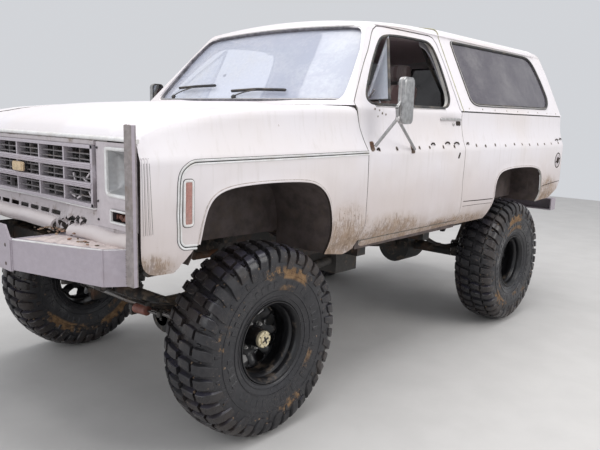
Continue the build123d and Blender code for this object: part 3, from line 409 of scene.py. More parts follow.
# darker worn edge colour of torn clip rims and bolt holes, also used as a painted shade line beside the wheel-arch lips
MATS["clip_rim"] = plain("bent_edge_paint_and_shade_line", (0.52, 0.47, 0.44), 0.6, var=0.3, scale=60, dust=0.4, dcol=(0.24, 0.15, 0.10))
MATS["dull_bright"] = plain("dull_bright", (0.50, 0.485, 0.48), 0.38, metallic=0.6, var=0.15, scale=40, dust=0.35, dcol=(0.33, 0.28, 0.24))
MATS["pale_grey"] = plain("pale_grey_trim", (0.56, 0.57, 0.62), 0.5, var=0.12, scale=30, dust=0.3)
MATS["rubber_grey"] = plain("weathered_rubber", (0.12, 0.115, 0.13), 0.7, var=0.4, scale=26, dust=0.3, dcol=(0.38, 0.36, 0.36))
MATS["sealant"] = plain("weathered_sealant", (0.34, 0.33, 0.22), 0.85, var=0.35, scale=22, dust=0.4, dcol=(0.50, 0.46, 0.36))
MATS["brass"] = plain("hub_dial", (0.66, 0.58, 0.40), 0.45, metallic=0.25, var=0.22, scale=60, dust=0.35, dcol=(0.30, 0.22, 0.13))
MATS["amber"] = plain("marker_lens", (0.42, 0.10, 0.035), 0.22, var=0.25, scale=160, bump=0.5)
MATS["red"] = plain("tail_lens", (0.30, 0.012, 0.012), 0.2, var=0.25, scale=160, bump=0.5)
MATS["clear_lens"] = plain("clear_lens", (0.42, 0.42, 0.41), 0.2, var=0.2, scale=140, bump=0.4)
# near-black: the inside of holes, seams and black fittings, and painted shade in the gaps round the wing and the door
MATS["hole"] = plain("near_black_and_gap_shade", (0.030, 0.020, 0.015), 0.9, var=0.4, scale=90)
MATS["mirror_back"] = metal("mirror_shell", (0.42, 0.42, 0.42), 0.33, rust=0.15, mud=0.1, metallic=0.8)
MATS["mirror_glass"] = plain("mirror_face", (0.80, 0.82, 0.84), 0.04, metallic=1.0, var=0.03, scale=10, bump=0.02)
MATS["shock"] = plain("shock_paint", (0.050, 0.044, 0.042), 0.5, var=0.3, scale=30, dust=0.55, dcol=MUD)
MATS["damper"] = plain("damper_paint", (0.21, 0.075, 0.055), 0.42, var=0.3, scale=26, dust=0.5, dcol=(0.16, 0.11, 0.08))
MATS["rod"] = metal("bright_rod", (0.22, 0.21, 0.205), 0.22, rust=0.25, mud=0.25, metallic=0.95)
MATS["seat"] = cloth("seat_cover", (0.30, 0.195, 0.185), (0.46, 0.38, 0.35))
MATS["seat_pattern"] = cloth("seat_pattern", (0.30, 0.255, 0.245), (0.15, 0.10, 0.10), 380.0)
# windscreen and vent panes: pale bluish-white base colour, a painted sky reflection on the glass
MATS["glass"] = glass("windscreen_glass_painted_sky", (0.72, 0.76, 0.90), 0.42, dirt=0.5)
MATS["side_glass"] = glass("side_glass", (0.46, 0.45, 0.55), 0.45, dirt=0.4)
MATS["vent"] = glass("vent_pane_painted_sky", (0.80, 0.86, 0.96), 0.42, dirt=0.45)
MATS["dark_glass"] = glass("tinted_glass", (0.062, 0.048, 0.070), 0.74, dirt=0.20)
MATS["tread"] = tyre_mat("tyre_rubber")
MATS["mud"] = plain("mud_crust", (0.24, 0.17, 0.115), 0.95, var=0.45, scale=24, bump=0.9)
MATS["mud_red"] = plain("mud_reddish", (0.33, 0.19, 0.13), 0.9, var=0.4, scale=30, bump=0.9)
MATS["mud_tan"] = plain("mud_dry_tan", (0.42, 0.34, 0.24), 0.95, var=0.6, scale=70, bump=1.0, dust=0.6, dcol=(0.16, 0.11, 0.075))
MATS["bright_edge"] = plain("bright_edge", (0.72, 0.715, 0.71), 0.4, var=0.08, scale=26, dust=0.3, dcol=(0.42, 0.36, 0.30))
MATS["bucket"] = plain("lamp_bucket", (0.36, 0.36, 0.365), 0.42, metallic=0.35, var=0.25, scale=9, bump=0.2, dust=0.35, dcol=(0.27, 0.245, 0.225))
MATS["amber_broken"] = plain("broken_lamp", (0.13, 0.055, 0.040), 0.55, var=0.5, scale=40, dust=0.3)
MATS["valance"] = metal("valance_grey", (0.50, 0.455, 0.465), 0.55, rust=0.12, mud=0.45, metallic=0.05, rustcol=(0.30, 0.20, 0.14), lo=0.92)
MATS["mud_dark"] = plain("mud_wet", (0.115, 0.082, 0.058), 0.75, var=0.5, scale=30, bump=0.9)
MATS["hose"] = plain("hose_rubber", (0.03, 0.03, 0.03), 0.55, var=0.3, scale=70)

# ------------------------------------------------------------------ mesh helpers


def link(o):
    bpy.context.scene.collection.objects.link(o)
    return o


def mesh_obj(name, verts, faces, mats, body, face_mats=None, smooth=True, sharp=None):
    me = bpy.data.meshes.new(name)
    v = np.asarray(verts, float) * 0.001
    v[:, 1] += Y0 * 0.001
    me.from_pydata(v.tolist(), [], [tuple(int(i) for i in f) for f in faces])
    me.validate()
    if not isinstance(mats, (list, tuple)):
        mats = [mats]
    for k in mats:
        me.materials.append(MATS[k] if isinstance(k, str) else k)
    if face_mats is not None and len(face_mats) == len(me.polygons):
        me.polygons.foreach_set("material_index", [int(i) for i in face_mats])
    if smooth:
        me.shade_smooth()
        if sharp is not None:
            me.set_sharp_from_angle(angle=math.radians(sharp))
    me.update()
    o = link(bpy.data.objects.new(name, me))
    if body:
        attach(o, body)
    return o


def bevel(o, width=2.0, segments=2, angle=40, wn=True):
    b = o.modifiers.new("bevel", "BEVEL")
    b.width = width * 0.001
    b.segments = segments
    b.limit_method = "ANGLE"
    b.angle_limit = math.radians(angle)
    b.miter_outer = "MITER_ARC"
    if wn:
        w = o.modifiers.new("wn", "WEIGHTED_NORMAL")
        w.keep_sharp = False
    return o


def solidify(o, t, offset=-1.0, inner_mat=None, rim_mat=None):
    s = o.modifiers.new("solid", "SOLIDIFY")
    s.thickness = t * 0.001
    s.offset = offset
    s.use_even_offset = True
    s.use_quality_normals = True
    if inner_mat is not None:
        s.material_offset = inner_mat
    if rim_mat is not None:
        s.material_offset_rim = rim_mat
    return s


class Build:
    """Collects simple solids into one mesh, millimetres."""

    def __init__(self):
        self.v, self.f, self.m = [], [], []

    def add(self, verts, faces, mat=0):
        k = len(self.v)
        self.v += [tuple(p) for p in verts]
        self.f += [tuple(i + k for i in f) for f in faces]
        self.m += [mat] * len(faces)

    def box(self, x0, x1, y0, y1, z0, z1, mat=0, turn=None):
        pts = [(x, y, z) for z in (z0, z1) for y in (y0, y1) for x in (x0, x1)]
        if turn is not None:
            c = Vector(((x0 + x1) / 2, (y0 + y1) / 2, (z0 + z1) / 2))
            pts = [tuple(c + turn @ (Vector(p) - c)) for p in pts]
        self.add(pts, [(0, 2, 3, 1), (4, 5, 7, 6), (0, 1, 5, 4), (2, 6, 7, 3), (0, 4, 6, 2), (1, 3, 7, 5)], mat)

    def tube(self, path, r, n=12, mat=0, caps=True):
        # round bar along a path; r is one radius or one per point
        path = [Vector(p) for p in path]
        rs = r if isinstance(r, (list, tuple)) else [r] * len(path)
        rings = []
        up = None
        for i, p in enumerate(path):
            a = path[max(i - 1, 0)]
            b = path[min(i + 1, len(path) - 1)]
            t = (b - a).normalized()
            if up is None:
                up = t.orthogonal().normalized()
            up = (up - t * up.dot(t)).normalized()
            side = t.cross(up)
            rings.append([p + (up * math.cos(2 * math.pi * k / n) + side * math.sin(2 * math.pi * k / n)) * rs[i] for k in range(n)])
        verts = [v for ring in rings for v in ring]
        faces = []
        for i in range(len(rings) - 1):
            for k in range(n):
                k2 = (k + 1) % n
                faces.append((i * n + k, i * n + k2, (i + 1) * n + k2, (i + 1) * n + k))
        if caps:
            faces.append(tuple(reversed(range(n))))
            faces.append(tuple((len(rings) - 1) * n + k for k in range(n)))
        self.add(verts, faces, mat)

    def lathe(self, profile, origin, axis, n=48, mat=0, closed=False, mats=None):
        # profile: (radius, distance along axis)
        axis = Vector(axis).normalized()
        up = axis.orthogonal().normalized()
        if abs(axis.x) > 0.9:
            up = Vector((0, 0, 1))
        side = axis.cross(up)
        o = Vector(origin)
        verts = []
        for r, a in profile:
            for k in range(n):
                t = 2 * math.pi * k / n
                verts.append(o + axis * a + (up * math.cos(t) + side * math.sin(t)) * r)
        faces, ms = [], []
        m = len(profile)
        for i in range(m if closed else m - 1):
            j = (i + 1) % m
            for k in range(n):
                k2 = (k + 1) % n
                faces.append((i * n + k, i * n + k2, j * n + k2, j * n + k))
                ms.append(mats[i] if mats else mat)
        k0 = len(self.v)
        self.v += [tuple(p) for p in verts]
        self.f += [tuple(i + k0 for i in f) for f in faces]
        self.m += ms
        if not closed:
            for i in (0, m - 1):
                if profile[i][0] > 0.5:
                    ring = tuple(k0 + i * n + k for k in range(n))
                    self.f.append(ring if i == 0 else tuple(reversed(ring)))
                    self.m.append(mat)

    def prism(self, poly, origin, ex, ey, depth, mat=0):
        # polygon in the plane of ex, ey, extruded along depth
        o, ex, ey, d = Vector(origin), Vector(ex), Vector(ey), Vector(depth)
        n = len(poly)
        a = [o + ex * u + ey * w for u, w in poly]
        verts = a + [p + d for p in a]
        faces = [tuple(reversed(range(n))), tuple(range(n, 2 * n))]
        for i in range(n):
            j = (i + 1) % n
            faces.append((i, j, n + j, n + i))
        self.add(verts, faces, mat)

    def obj(self, name, mats, body, smooth=True, sharp=38, fix=True):
        o = mesh_obj(name, self.v, self.f, mats, body, self.m, smooth, sharp)
        if fix:
            bm = bmesh.new()
            bm.from_mesh(o.data)
            bmesh.ops.remove_doubles(bm, verts=bm.verts, dist=1e-6)
            bmesh.ops.recalc_face_normals(bm, faces=bm.faces)
            bm.to_mesh(o.data)
            bm.free()
            if smooth and sharp is not None:
                o.data.set_sharp_from_angle(angle=math.radians(sharp))
        return o


def inside(poly, pts):
    x, y = pts[:, 0], pts[:, 1]
    px, py = poly[:, 0], poly[:, 1]
    r = np.zeros(len(pts), bool)
    j = len(poly) - 1
    for i in range(len(poly)):
        c = (py[i] > y) != (py[j] > y)
        with np.errstate(divide="ignore", invalid="ignore"):
            xi = (px[j] - px[i]) * (y - py[i]) / (py[j] - py[i]) + px[i]
        r ^= c & (x < xi)
        j = i
    return r


def resample(loop, step):
    loop = np.asarray(loop, float)
    out = []
    for a, b in zip(loop, np.roll(loop, -1, axis=0)):
        n = max(1, int(math.ceil(np.linalg.norm(b - a) / step)))
        out += [a + (b - a) * k / n for k in range(n)]
    return np.array(out)


def rounded(loop, r, n=5):
    # rounds a polygon's corners; r is one radius or one per corner
    loop = [np.asarray(p, float) for p in loop]
    rs = r if isinstance(r, (list, tuple)) else [r] * len(loop)
    out = []
    for i, p in enumerate(loop):
        a, b = loop[i - 1], loop[(i + 1) % len(loop)]
        u, w = a - p, b - p
        lu, lw = np.linalg.norm(u), np.linalg.norm(w)
        u, w = u / lu, w / lw
        ang = math.acos(max(-1, min(1, float(u @ w))))
        if rs[i] <= 0 or ang > math.radians(176):
            out.append(p)
            continue
        t = min(rs[i] / math.tan(ang / 2), 0.48 * lu, 0.48 * lw)
        p0, p2 = p + u * t, p + w * t
        for k in range(n + 1):
            s = k / n
            out.append((1 - s) ** 2 * p0 + 2 * s * (1 - s) * p + s * s * p2)
    return np.array(out)


def region(outer, holes=(), step=22.0, bstep=10.0, clear=0.55):
    """Triangles over a 2-D region with holes: a hexagonal net inside, the outlines kept as edges."""
    loops = [resample(outer, bstep)] + [resample(h, bstep) for h in holes]
    pts, edges, k = [], [], 0
    for lp in loops:
        n = len(lp)
        pts.append(lp)
        edges += [(k + i, k + (i + 1) % n) for i in range(n)]
        k += n
    b = np.concatenate(pts)
    lo, hi = b.min(0), b.max(0)
    gx, gy = np.arange(lo[0], hi[0] + step, step), np.arange(lo[1], hi[1] + step, step * 0.866)
    g = np.array([(x + (0.5 * step if j % 2 else 0), y) for j, y in enumerate(gy) for x in gx])
    keep = inside(loops[0], g)
    for h in loops[1:]:
        keep &= ~inside(h, g)
    g = g[keep]
    if len(g):
        near = np.full(len(g), 1e9)
        for i in range(0, len(b), 400):
            d = np.linalg.norm(g[:, None, :] - b[None, i:i + 400, :], axis=2).min(1)
            near = np.minimum(near, d)
        g = g[near > step * clear]
    allp = np.concatenate([b, g]) if len(g) else b
    v, _, f, *_ = delaunay_2d_cdt([Vector(p) for p in allp], edges, [], 0, 1e-5)
    v = np.array([tuple(p) for p in v])
    f = np.array([t for t in f if len(t) == 3])
    c = v[f].mean(1)
    ok = inside(loops[0], c)
    for h in loops[1:]:
        ok &= ~inside(h, c)
    return v, f[ok]


def orient(v, f, want):
    # flips faces so that they look along `want`
    a = np.cross(v[f[:, 1]] - v[f[:, 0]], v[f[:, 2]] - v[f[:, 0]])
    if (a @ np.asarray(want, float)).sum() < 0:
        f = f[:, ::-1]
    return f


def arc3(a, m, b, n):
    ax, ay = a
    mx, my = m
    bx, by = b
    d = 2 * (ax * (my - by) + mx * (by - ay) + bx * (ay - my))
    ux = ((ax**2 + ay**2) * (my - by) + (mx**2 + my**2) * (by - ay) + (bx**2 + by**2) * (ay - my)) / d
    uy = ((ax**2 + ay**2) * (bx - mx) + (mx**2 + my**2) * (ax - bx) + (bx**2 + by**2) * (mx - ax)) / d
    r = math.hypot(ax - ux, ay - uy)
    t0, tm, t1 = (math.atan2(q[1] - uy, q[0] - ux) for q in (a, m, b))
    while tm - t0 > math.pi: tm -= 2 * math.pi
    while tm - t0 < -math.pi: tm += 2 * math.pi
    while t1 - tm > math.pi: t1 -= 2 * math.pi
    while t1 - tm < -math.pi: t1 += 2 * math.pi
    return [(ux + r * math.cos(t0 + (t1 - t0) * k / n), uy + r * math.sin(t0 + (t1 - t0) * k / n)) for k in range(n + 1)]


# ------------------------------------------------------------------ body surfaces
# body side section, as built: end x, z and for an arc the x, z it passes through
SIDE_OUTER = [
    (955, 868, None, None), (1005, 1060, 989, 942), (1010, 1400, None, None), (966, 1645, 977, 1500),
    (948, 1662, None, None), (715.6, 2160, None, None), (668, 2220, 704, 2196),
]
ROOF_TOP = 2272.0
sec = [SIDE_OUTER[0][:2]]
for x, z, tx, tz in SIDE_OUTER[1:]:
    a = sec[-1]
    sec += arc3(a, (tx, tz), (x, z), 14)[1:] if tx is not None else [(a[0] + (x - a[0]) * k / 12, a[1] + (z - a[1]) * k / 12) for k in range(1, 13)]
SEC_SIDE = np.array(sec)
roof = arc3((668, 2220), (0, ROOF_TOP), (-668, 2220), 60)
SEC = np.array(sec + roof[1:31])[::-1]          # from the roof's middle down to the sill
SEC_S = np.concatenate([[0], np.cumsum(np.linalg.norm(np.diff(SEC, axis=0), axis=1))])


def side_x(z):
    return np.interp(z, SEC_SIDE[:, 1], SEC_SIDE[:, 0])


def sec_at(w):
    # w: arc length from the roof's middle, positive to the left side
    a = np.abs(w)
    return np.sign(w) * np.interp(a, SEC_S, SEC[:, 0]), np.interp(a, SEC_S, SEC[:, 1])


def w_of_z(z):
    return np.interp(-np.asarray(z, float), -SEC[:, 1], SEC_S)


def seg_dist(p, poly, closed=False):
    # distance from points p to a polyline
    q = np.asarray(poly, float)
    pairs = list(zip(q[:-1], q[1:])) + ([(q[-1], q[0])] if closed else [])
    d = np.full(len(p), 1e9)
    for a, b in pairs:
        ab = b - a
        t = np.clip(((p - a) @ ab) / max(ab @ ab, 1e-9), 0, 1)
        d = np.minimum(d, np.linalg.norm(p - (a + t[:, None] * ab), axis=1))
    return d


def sm(x):
    x = np.clip(x, 0, 1)
    return x * x * (3 - 2 * x)


def wave(p, scale, seed):
    # smooth pseudo-random ripple, a few sines
    r = np.random.default_rng(seed)
    out = np.zeros(len(p))
    for _ in range(6):
        k = r.normal(size=2) / scale
        out += np.sin(p @ k + r.uniform(0, 6.3))
    return out / 3.0


FRONT_ARCH = [(-491, 952), (-455, 1051), (-436, 1137), (-408, 1208), (-361, 1249), (-282, 1270), (-148, 1278), (32, 1278), (230, 1268), (318, 1239), (382, 1186), (415, 1111), (428, 1000), (427, 863)]
REAR_ARCH = [(2301, 903), (2358, 1020), (2362, 1125), (2406, 1192), (2481, 1222), (2645, 1236), (2866, 1236), (3056, 1228), (3183, 1206), (3245, 1165), (3262, 1090), (3259, 990), (3225, 930)]


def chaikin(pts, times=2):
    # cuts an open polyline's corners, its ends stay
    q = [np.asarray(v, float) for v in pts]
    for _ in range(times):
        r = [q[0]]
        for u, w in zip(q[:-1], q[1:]):
            r += [0.75 * u + 0.25 * w, 0.25 * u + 0.75 * w]
        q = r + [q[-1]]
    return [tuple(map(float, v)) for v in q]


FRONT_ARCH = chaikin(FRONT_ARCH)
REAR_ARCH = chaikin(REAR_ARCH)
# dents: y, z, radius, depth inward
DENTS = [(1010, 1250, 95, 4), (1480, 1120, 160, 5), (1700, 985, 110, 6), (1560, 1330, 80, 4), (2050, 1250, 170, 7), (1930, 1180, 90, 6), (2150, 1380, 60, 4),
         (3430, 1260, 160, 5), (560, 1120, 120, 5), (-600, 1180, 80, 4), (520, 1330, 80, 3), (2900, 1500, 150, 4), (1300, 1000, 70, 4)]


def side_offset(y, z, seed=3):
    p = np.stack([y, z], 1)
    lip = 7.0 * sm(1 - seg_dist(p, FRONT_ARCH) / 34.0) + 7.0 * sm(1 - seg_dist(p, REAR_ARCH) / 34.0)
    d = np.zeros(len(p))
    for yy, zz, r, h in DENTS:
        d += h * np.exp(-(((y - yy) / r) ** 2 + ((z - zz) / (0.7 * r)) ** 2) * 1.6)
    low = sm((1640 - z) / 120.0)
    return lip - d * low + 0.9 * wave(p, 170.0, seed) * low


def top_z(y):
    # hood and wing line in side view
    pts = np.array(arc3((-745, 1478), (-560, 1553), (-300, 1606), 16) + arc3((-300, 1606), (170, 1640), (735, 1647), 20)[1:])
    nose = 17.0 * np.clip((y + 745.0) / 34.0, 0, 1) ** 0.6 * sm((-430.0 - y) / 250.0)
    return np.interp(y, pts[:, 0], pts[:, 1]) + nose


def mirrored(v):
    return v * np.array([-1.0, 1.0, 1.0])


def both_sides(v, f):
    # a left and a mirrored right piece in one mesh
    return np.concatenate([v, mirrored(v)]), np.concatenate([f, f[:, ::-1] + len(v)])


# ------------------------------------------------------------------ sheet-metal panels
def panel(name, outline, holes, fo, fi, body, mats=("paint", "inner_paint", "jamb"), step=26, bstep=12, bev=1.8, side=1, want=(1, 0, 0)):
    """A closed panel: net over a 2-D region, mapped to an outer and an inner surface, with its edge walls."""
    p, f = region(outline, holes, step, bstep)
    vo, vi = fo(p), fi(p)
    f = orient(vo, f, want)
    n = len(p)
    e = np.concatenate([f[:, [0, 1]], f[:, [1, 2]], f[:, [2, 0]]])
    seen = {(int(a), int(b)) for a, b in e}
    rim = [(a, b) for a, b in seen if (b, a) not in seen]
    v = np.concatenate([vo, vi])
    faces = [tuple(t) for t in f] + [tuple(t[::-1] + n) for t in f] + [(b, a, a + n, b + n) for a, b in rim]
    ms = [0] * len(f) + [1] * len(f) + [2] * len(rim)
    if side < 0:
        v = v * np.array([-1.0, 1, 1])
        faces = [t[::-1] for t in faces]
    o = mesh_obj(name, v, faces, list(mats), body, ms, True, 44)
    if bev:
        bevel(o, bev, 2, 50)
    return o


SH = 40.0


def fender_frame(p):
    y, s = p[:, 0], p[:, 1]
    zt = top_z(y)
    zs = zt - SH
    xs = side_x(zs)
    a = s - zs
    ph = np.clip(a / SH, 0, math.pi / 2)
    flat = np.clip(a - SH * math.pi / 2, 0, None)
    up = a > 0
    x = np.where(up, xs - SH * (1 - np.cos(ph)) - flat, side_x(s))
    z = np.where(up, zs + SH * np.sin(ph), s)
    nx = np.where(up, np.cos(ph), 1.0)
    nz = np.where(up, np.sin(ph), 0.0)
    return np.stack([x, y, z], 1), np.stack([nx, 0 * nx, nz], 1), z


def fender_out(p, side=1):
    b, n, z = fender_frame(p)
    o = side_offset(p[:, 0], z, 3 if side > 0 else 11)
    o = np.where(n[:, 2] > 0.2, o * 0.15, o)
    # the lip by the arch, dents and ripple, flattened where the wing turns over on top
    return b + n * o[:, None]


def fender_top_s(y):
    zs = top_z(y) - SH
    return zs + SH * math.pi / 2 + (side_x(zs) - SH - 782.0)


ys = np.linspace(657, -745, 50)
# the lower edge just ahead of the wheel is torn away in a ragged line
tr = random.Random(3)
TORN = [(-578 + 11.0 * i + tr.uniform(-1.5, 1.5), 934 + 11.2 * i + tr.uniform(-3.0, 3.0)) for i in range(11)]
FENDER_EDGE = [(-745, 1062), (-744, 1022), (-740, 1000), (-731, 979), (-716, 961), (-696, 948), (-670, 940), (-640, 937), (-605, 936)] + TORN + [(-457, 1052)] + [q for q in FRONT_ARCH if q[1] > 1058 or q[0] > 0] + [(590, 838), (636, 846), (684, 860), (728, 1000), (730, 1200), (723, 1414), (680, 1539), (657, 1645)]
fender_outline = FENDER_EDGE[:-1] + [(657, 1640)] + [(y, float(fender_top_s(np.array([y]))[0])) for y in ys]
for side, tag in ((1, "left"), (-1, "right")):
    # the wing's edge walls take the near-black hole colour: painted shade in the gaps round the wing
    o = panel("fender_skin_" + tag, fender_outline, [], lambda p, s=side: fender_out(p, s), lambda p, s=side: fender_out(p, s) - fender_frame(p)[1] * 13.0, "body", mats=("paint", "inner_paint", "hole"), side=side, step=24, bstep=12)
    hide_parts("fender_" + tag)


# hood: gentle crown, raised middle, leading edge rolled down
def hood_z(x, y):
    ax = np.abs(x)
    zt = top_z(y)
    half = 455 - 60 * sm((-(y) - 200) / 560.0)
    raise_ = 13.0 * sm((half - ax) / 46.0) * sm((525 - y) / 130.0) * sm((y + 745) / 90.0)
    crown = 5.0 * (1 - (ax / 776.0) ** 2) * sm((568 - y) / 90.0) - 5.0 * sm((y - 530) / 38.0)
    edge = -9.0 * sm((ax - 752) / 24.0) ** 2
    front = -10.0 * sm((-y - 722) / 23.0) ** 2
    ripple = 1.1 * wave(np.stack([x, y], 1), 210.0, 21)
    dent = -5.0 * np.exp(-(((x - 420) / 150) ** 2 + ((y + 300) / 120) ** 2)) - 4.0 * np.exp(-(((x + 250) / 170) ** 2 + ((y - 60) / 150) ** 2))
    return zt + raise_ + crown + edge + front + ripple + dent


hood_outline = rounded([(-776, -745), (776, -745), (776, 568), (-776, 568)], [18, 18, 8, 8])
o = panel("hood_skin", hood_outline, [], lambda p: np.stack([p[:, 0], p[:, 1], hood_z(p[:, 0], p[:, 1])], 1), lambda p: np.stack([p[:, 0], p[:, 1], hood_z(p[:, 0], p[:, 1]) - 6.0], 1), "bonnet", want=(0, 0, 1), step=34, bstep=16)
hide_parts("hood")
# stiffening frame under the hood
hb = Build()
for x0, x1, y0, y1 in ((-740, 740, -715, -640), (-740, 740, 470, 540), (-740, -660, -640, 470), (660, 740, -640, 470), (-50, 50, -640, 470)):
    pts, fcs = [], []
    nx, ny = max(2, int(abs(x1 - x0) / 90)), max(2, int(abs(y1 - y0) / 90))
    for top in (1, 0):
        for j in range(ny + 1):
            for i in range(nx + 1):
                x, y = x0 + (x1 - x0) * i / nx, y0 + (y1 - y0) * j / ny
                z = float(hood_z(np.array([x]), np.array([y]))[0])
                pts.append((x, y, z - (8 if top else 22)))
    w = nx + 1
    base = w * (ny + 1)
    for j in range(ny):
        for i in range(nx):
            a = j * w + i
            fcs += [(a, a + 1, a + w + 1, a + w), (base + a + w, base + a + w + 1, base + a + 1, base + a)]
    for i in range(nx):
        fcs += [(i + 1, i, base + i, base + i + 1), (ny * w + i, ny * w + i + 1, base + ny * w + i + 1, base + ny * w + i)]
    for j in range(ny):
        fcs += [(j * w, (j + 1) * w, base + (j + 1) * w, base + j * w), ((j + 1) * w + nx, j * w + nx, base + j * w + nx, base + (j + 1) * w + nx)]
    hb.add(pts, fcs)
bevel(hb.obj("hood_frame", ["jamb"], "bonnet"), 3, 2)

# ------------------------------------------------------------------ doors
DOOR = [(700, 903), (735, 1000), (738, 1200), (731, 1414), (688, 1539), (664, 1671), (709, 1720), (826, 1843), (895, 1913), (966, 1979), (1024, 2042), (1066, 2090), (1097, 2118), (1143, 2142), (1200, 2147),
        (1770, 2153), (1811, 2142), (1835, 2105), (1848, 1988), (1851, 1900), (1851, 903)]
WINDOW = [(1576, 1666), (850, 1666), (818, 1670), (797, 1684), (790, 1706), (810, 1744), (923, 1873), (1024, 1974), (1111, 2053), (1158, 2081), (1208, 2096), (1267, 2105), (1385, 2112), (1530, 2114), (1680, 2114), (1726, 2108), (1752, 2092), (1771, 2066), (1784, 2008), (1785, 1893), (1772, 1779), (1755, 1728), (1714, 1688), (1656, 1668)]


def closed_round(pts, times=2):
    # cuts a closed polygon's corners evenly
    q = np.asarray(pts, float)
    for _ in range(times):
        nx = np.roll(q, -1, axis=0)
        q = np.stack([0.75 * q + 0.25 * nx, 0.25 * q + 0.75 * nx], 1).reshape(-1, 2)
    keep = [q[0]]
    for v in q[1:]:
        if np.linalg.norm(v - keep[-1]) > 4.0:
            keep.append(v)
    return np.array(keep)


def inset(poly, d):
    # moves each edge of a counter-clockwise or clockwise polygon inward by d
    q = np.asarray(poly, float)
    area = 0.5 * np.sum(q[:, 0] * np.roll(q[:, 1], -1) - np.roll(q[:, 0], -1) * q[:, 1])
    sgn = 1 if area > 0 else -1
    out = []
    n = len(q)
    for i in range(n):
        a, b, c = q[i - 1], q[i], q[(i + 1) % n]
        e1, e2 = (b - a) / np.linalg.norm(b - a), (c - b) / np.linalg.norm(c - b)
        n1, n2 = sgn * np.array([-e1[1], e1[0]]), sgn * np.array([-e2[1], e2[0]])
        m = n1 + n2
        m /= max(np.dot(m, m), 1e-9)
        out.append(b + 2 * m * d if np.dot(n1, n2) > -0.9 else b + n1 * d)
    return np.array(out)


def door_out(p, side):
    y, z = p[:, 0], p[:, 1]
    q = np.stack([y, z], 1)
    off = side_offset(y, z, 5 if side > 0 else 12)
    # a pressed groove low on the door, and a rolled edge along its outline
    off -= 2.6 * np.exp(-((z - 1035) / 7.0) ** 2) * sm((1640 - z) / 60)
    edge = seg_dist(q, DOOR, closed=True)
    off -= 2.2 * np.clip(1 - edge / 9.0, 0, 1) ** 2
    # handle recess
    off -= 7.0 * np.exp(-(((y - 1657) / 122.0) ** 4 + ((z - 1588) / 22.0) ** 4))
    return np.stack([side_x(z) + off, y, z], 1)


for side, tag in ((1, "left"), (-1, "right")):
    skin = rounded(DOOR, [10, 0, 0, 0, 0, 14] + [30] * 14 + [10])
    holes = [closed_round(WINDOW)]
    o = panel("door_skin_" + tag, skin, holes, lambda p, s=side: door_out(p, s), lambda p, s=side: door_out(p, s) - np.array([11.5, 0, 0]), tag + "_door", side=side, step=24, bstep=12)
    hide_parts("door_" + tag)
    core = inset(skin, 25.0)
    iholes = [inset(h, -3.0) for h in holes]

    def core_x(p, d):
        x = side_x(p[:, 1]) - d
        return np.stack([x, p[:, 0], p[:, 1]], 1)

    # the core narrows to a slim frame round the windows
    o = panel("door_core_" + tag, core, iholes, lambda p: core_x(p, 12.2), lambda p: core_x(p, 38.0 + 12.0 * sm((1640 - p[:, 1]) / 60.0)), tag + "_door", mats=("jamb", "trim_in", "jamb"), side=side, step=60, bstep=20)

# ------------------------------------------------------------------ lower rear body sides, wrapped round the rear corner
REAR_END = 3741.0
CR = 42.0


def quarter_frame(p):
    u, z = p[:, 0], p[:, 1]
    a = u - (REAR_END - CR)
    ph = np.clip(a / CR, 0, math.pi / 2)
    run = np.clip(a - CR * math.pi / 2, 0, None)
    xs = side_x(z)
    x = np.where(a > 0, xs - CR * (1 - np.cos(ph)) - run, xs)
    y = np.where(a > 0, REAR_END - CR + CR * np.sin(ph), u)
    nx, ny = np.where(a > 0, np.cos(ph), 1.0), np.where(a > 0, np.sin(ph), 0.0)
    return np.stack([x, y, z], 1), np.stack([nx, ny, 0 * nx], 1)


def quarter_out(p, side):
    b, n = quarter_frame(p)
    z = p[:, 1]
    o = side_offset(p[:, 0], z, 6 if side > 0 else 13)
    o -= 2.6 * np.exp(-((z - 1035) / 7.0) ** 2) * sm((2300 - p[:, 0]) / 20)
    o = np.where(n[:, 1] > 0.1, 0.3 * o, o)
    o -= 3.0 * np.clip(1 - (p[:, 0] - 1858) / 8.0, 0, 1) ** 2
    return b + n * o[:, None]


QUARTER = [(1858, 868), (2301, 868), (2301, 903)] + REAR_ARCH[1:-1] + [(3225, 925), (3509, 936), (3658, 1010), (3715, 1090), (3741, 1115)]
uz = [(REAR_END - CR + CR * math.pi / 2 + (side_x(z) - CR - 806.0), z) for z in np.linspace(1115, 1646, 14)]
quarter_outline = QUARTER + [tuple(map(float, q)) for q in uz] + [(1858, 1646)]
for side, tag in ((1, "left"), (-1, "right")):
    def q_in(p, s=side):
        b, n = quarter_frame(p)
        d = seg_dist(p, REAR_ARCH)
        t = 12.0 + 34.0 * sm((d - 30) / 90.0) * sm((p[:, 1] - 905) / 60)
        t = np.where(p[:, 0] > REAR_END - 60, 12.0, t)
        return quarter_out(p, s) - n * t[:, None]
    o = panel("quarter_skin_" + tag, quarter_outline, [], lambda p, s=side: quarter_out(p, s), q_in, "body", mats=("paint", "trim_in", "jamb"), side=side, step=28, bstep=13)
    if side > 0:
        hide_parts("rear_quarters")

# rocker panel under each door
for side, tag in ((1, "left"), (-1, "right")):
    def rk(p, d=0.0):
        return np.stack([side_x(p[:, 1]) - 3.0 - d, p[:, 0], p[:, 1]], 1)
    o = panel("rocker_" + tag, rounded([(735, 853), (1855, 868), (1855, 897), (735, 897)], 4), [], lambda p: rk(p), lambda p: rk(p, 30.0), "body", side=side, step=40, bstep=20, mats=("paint", "jamb", "jamb"))

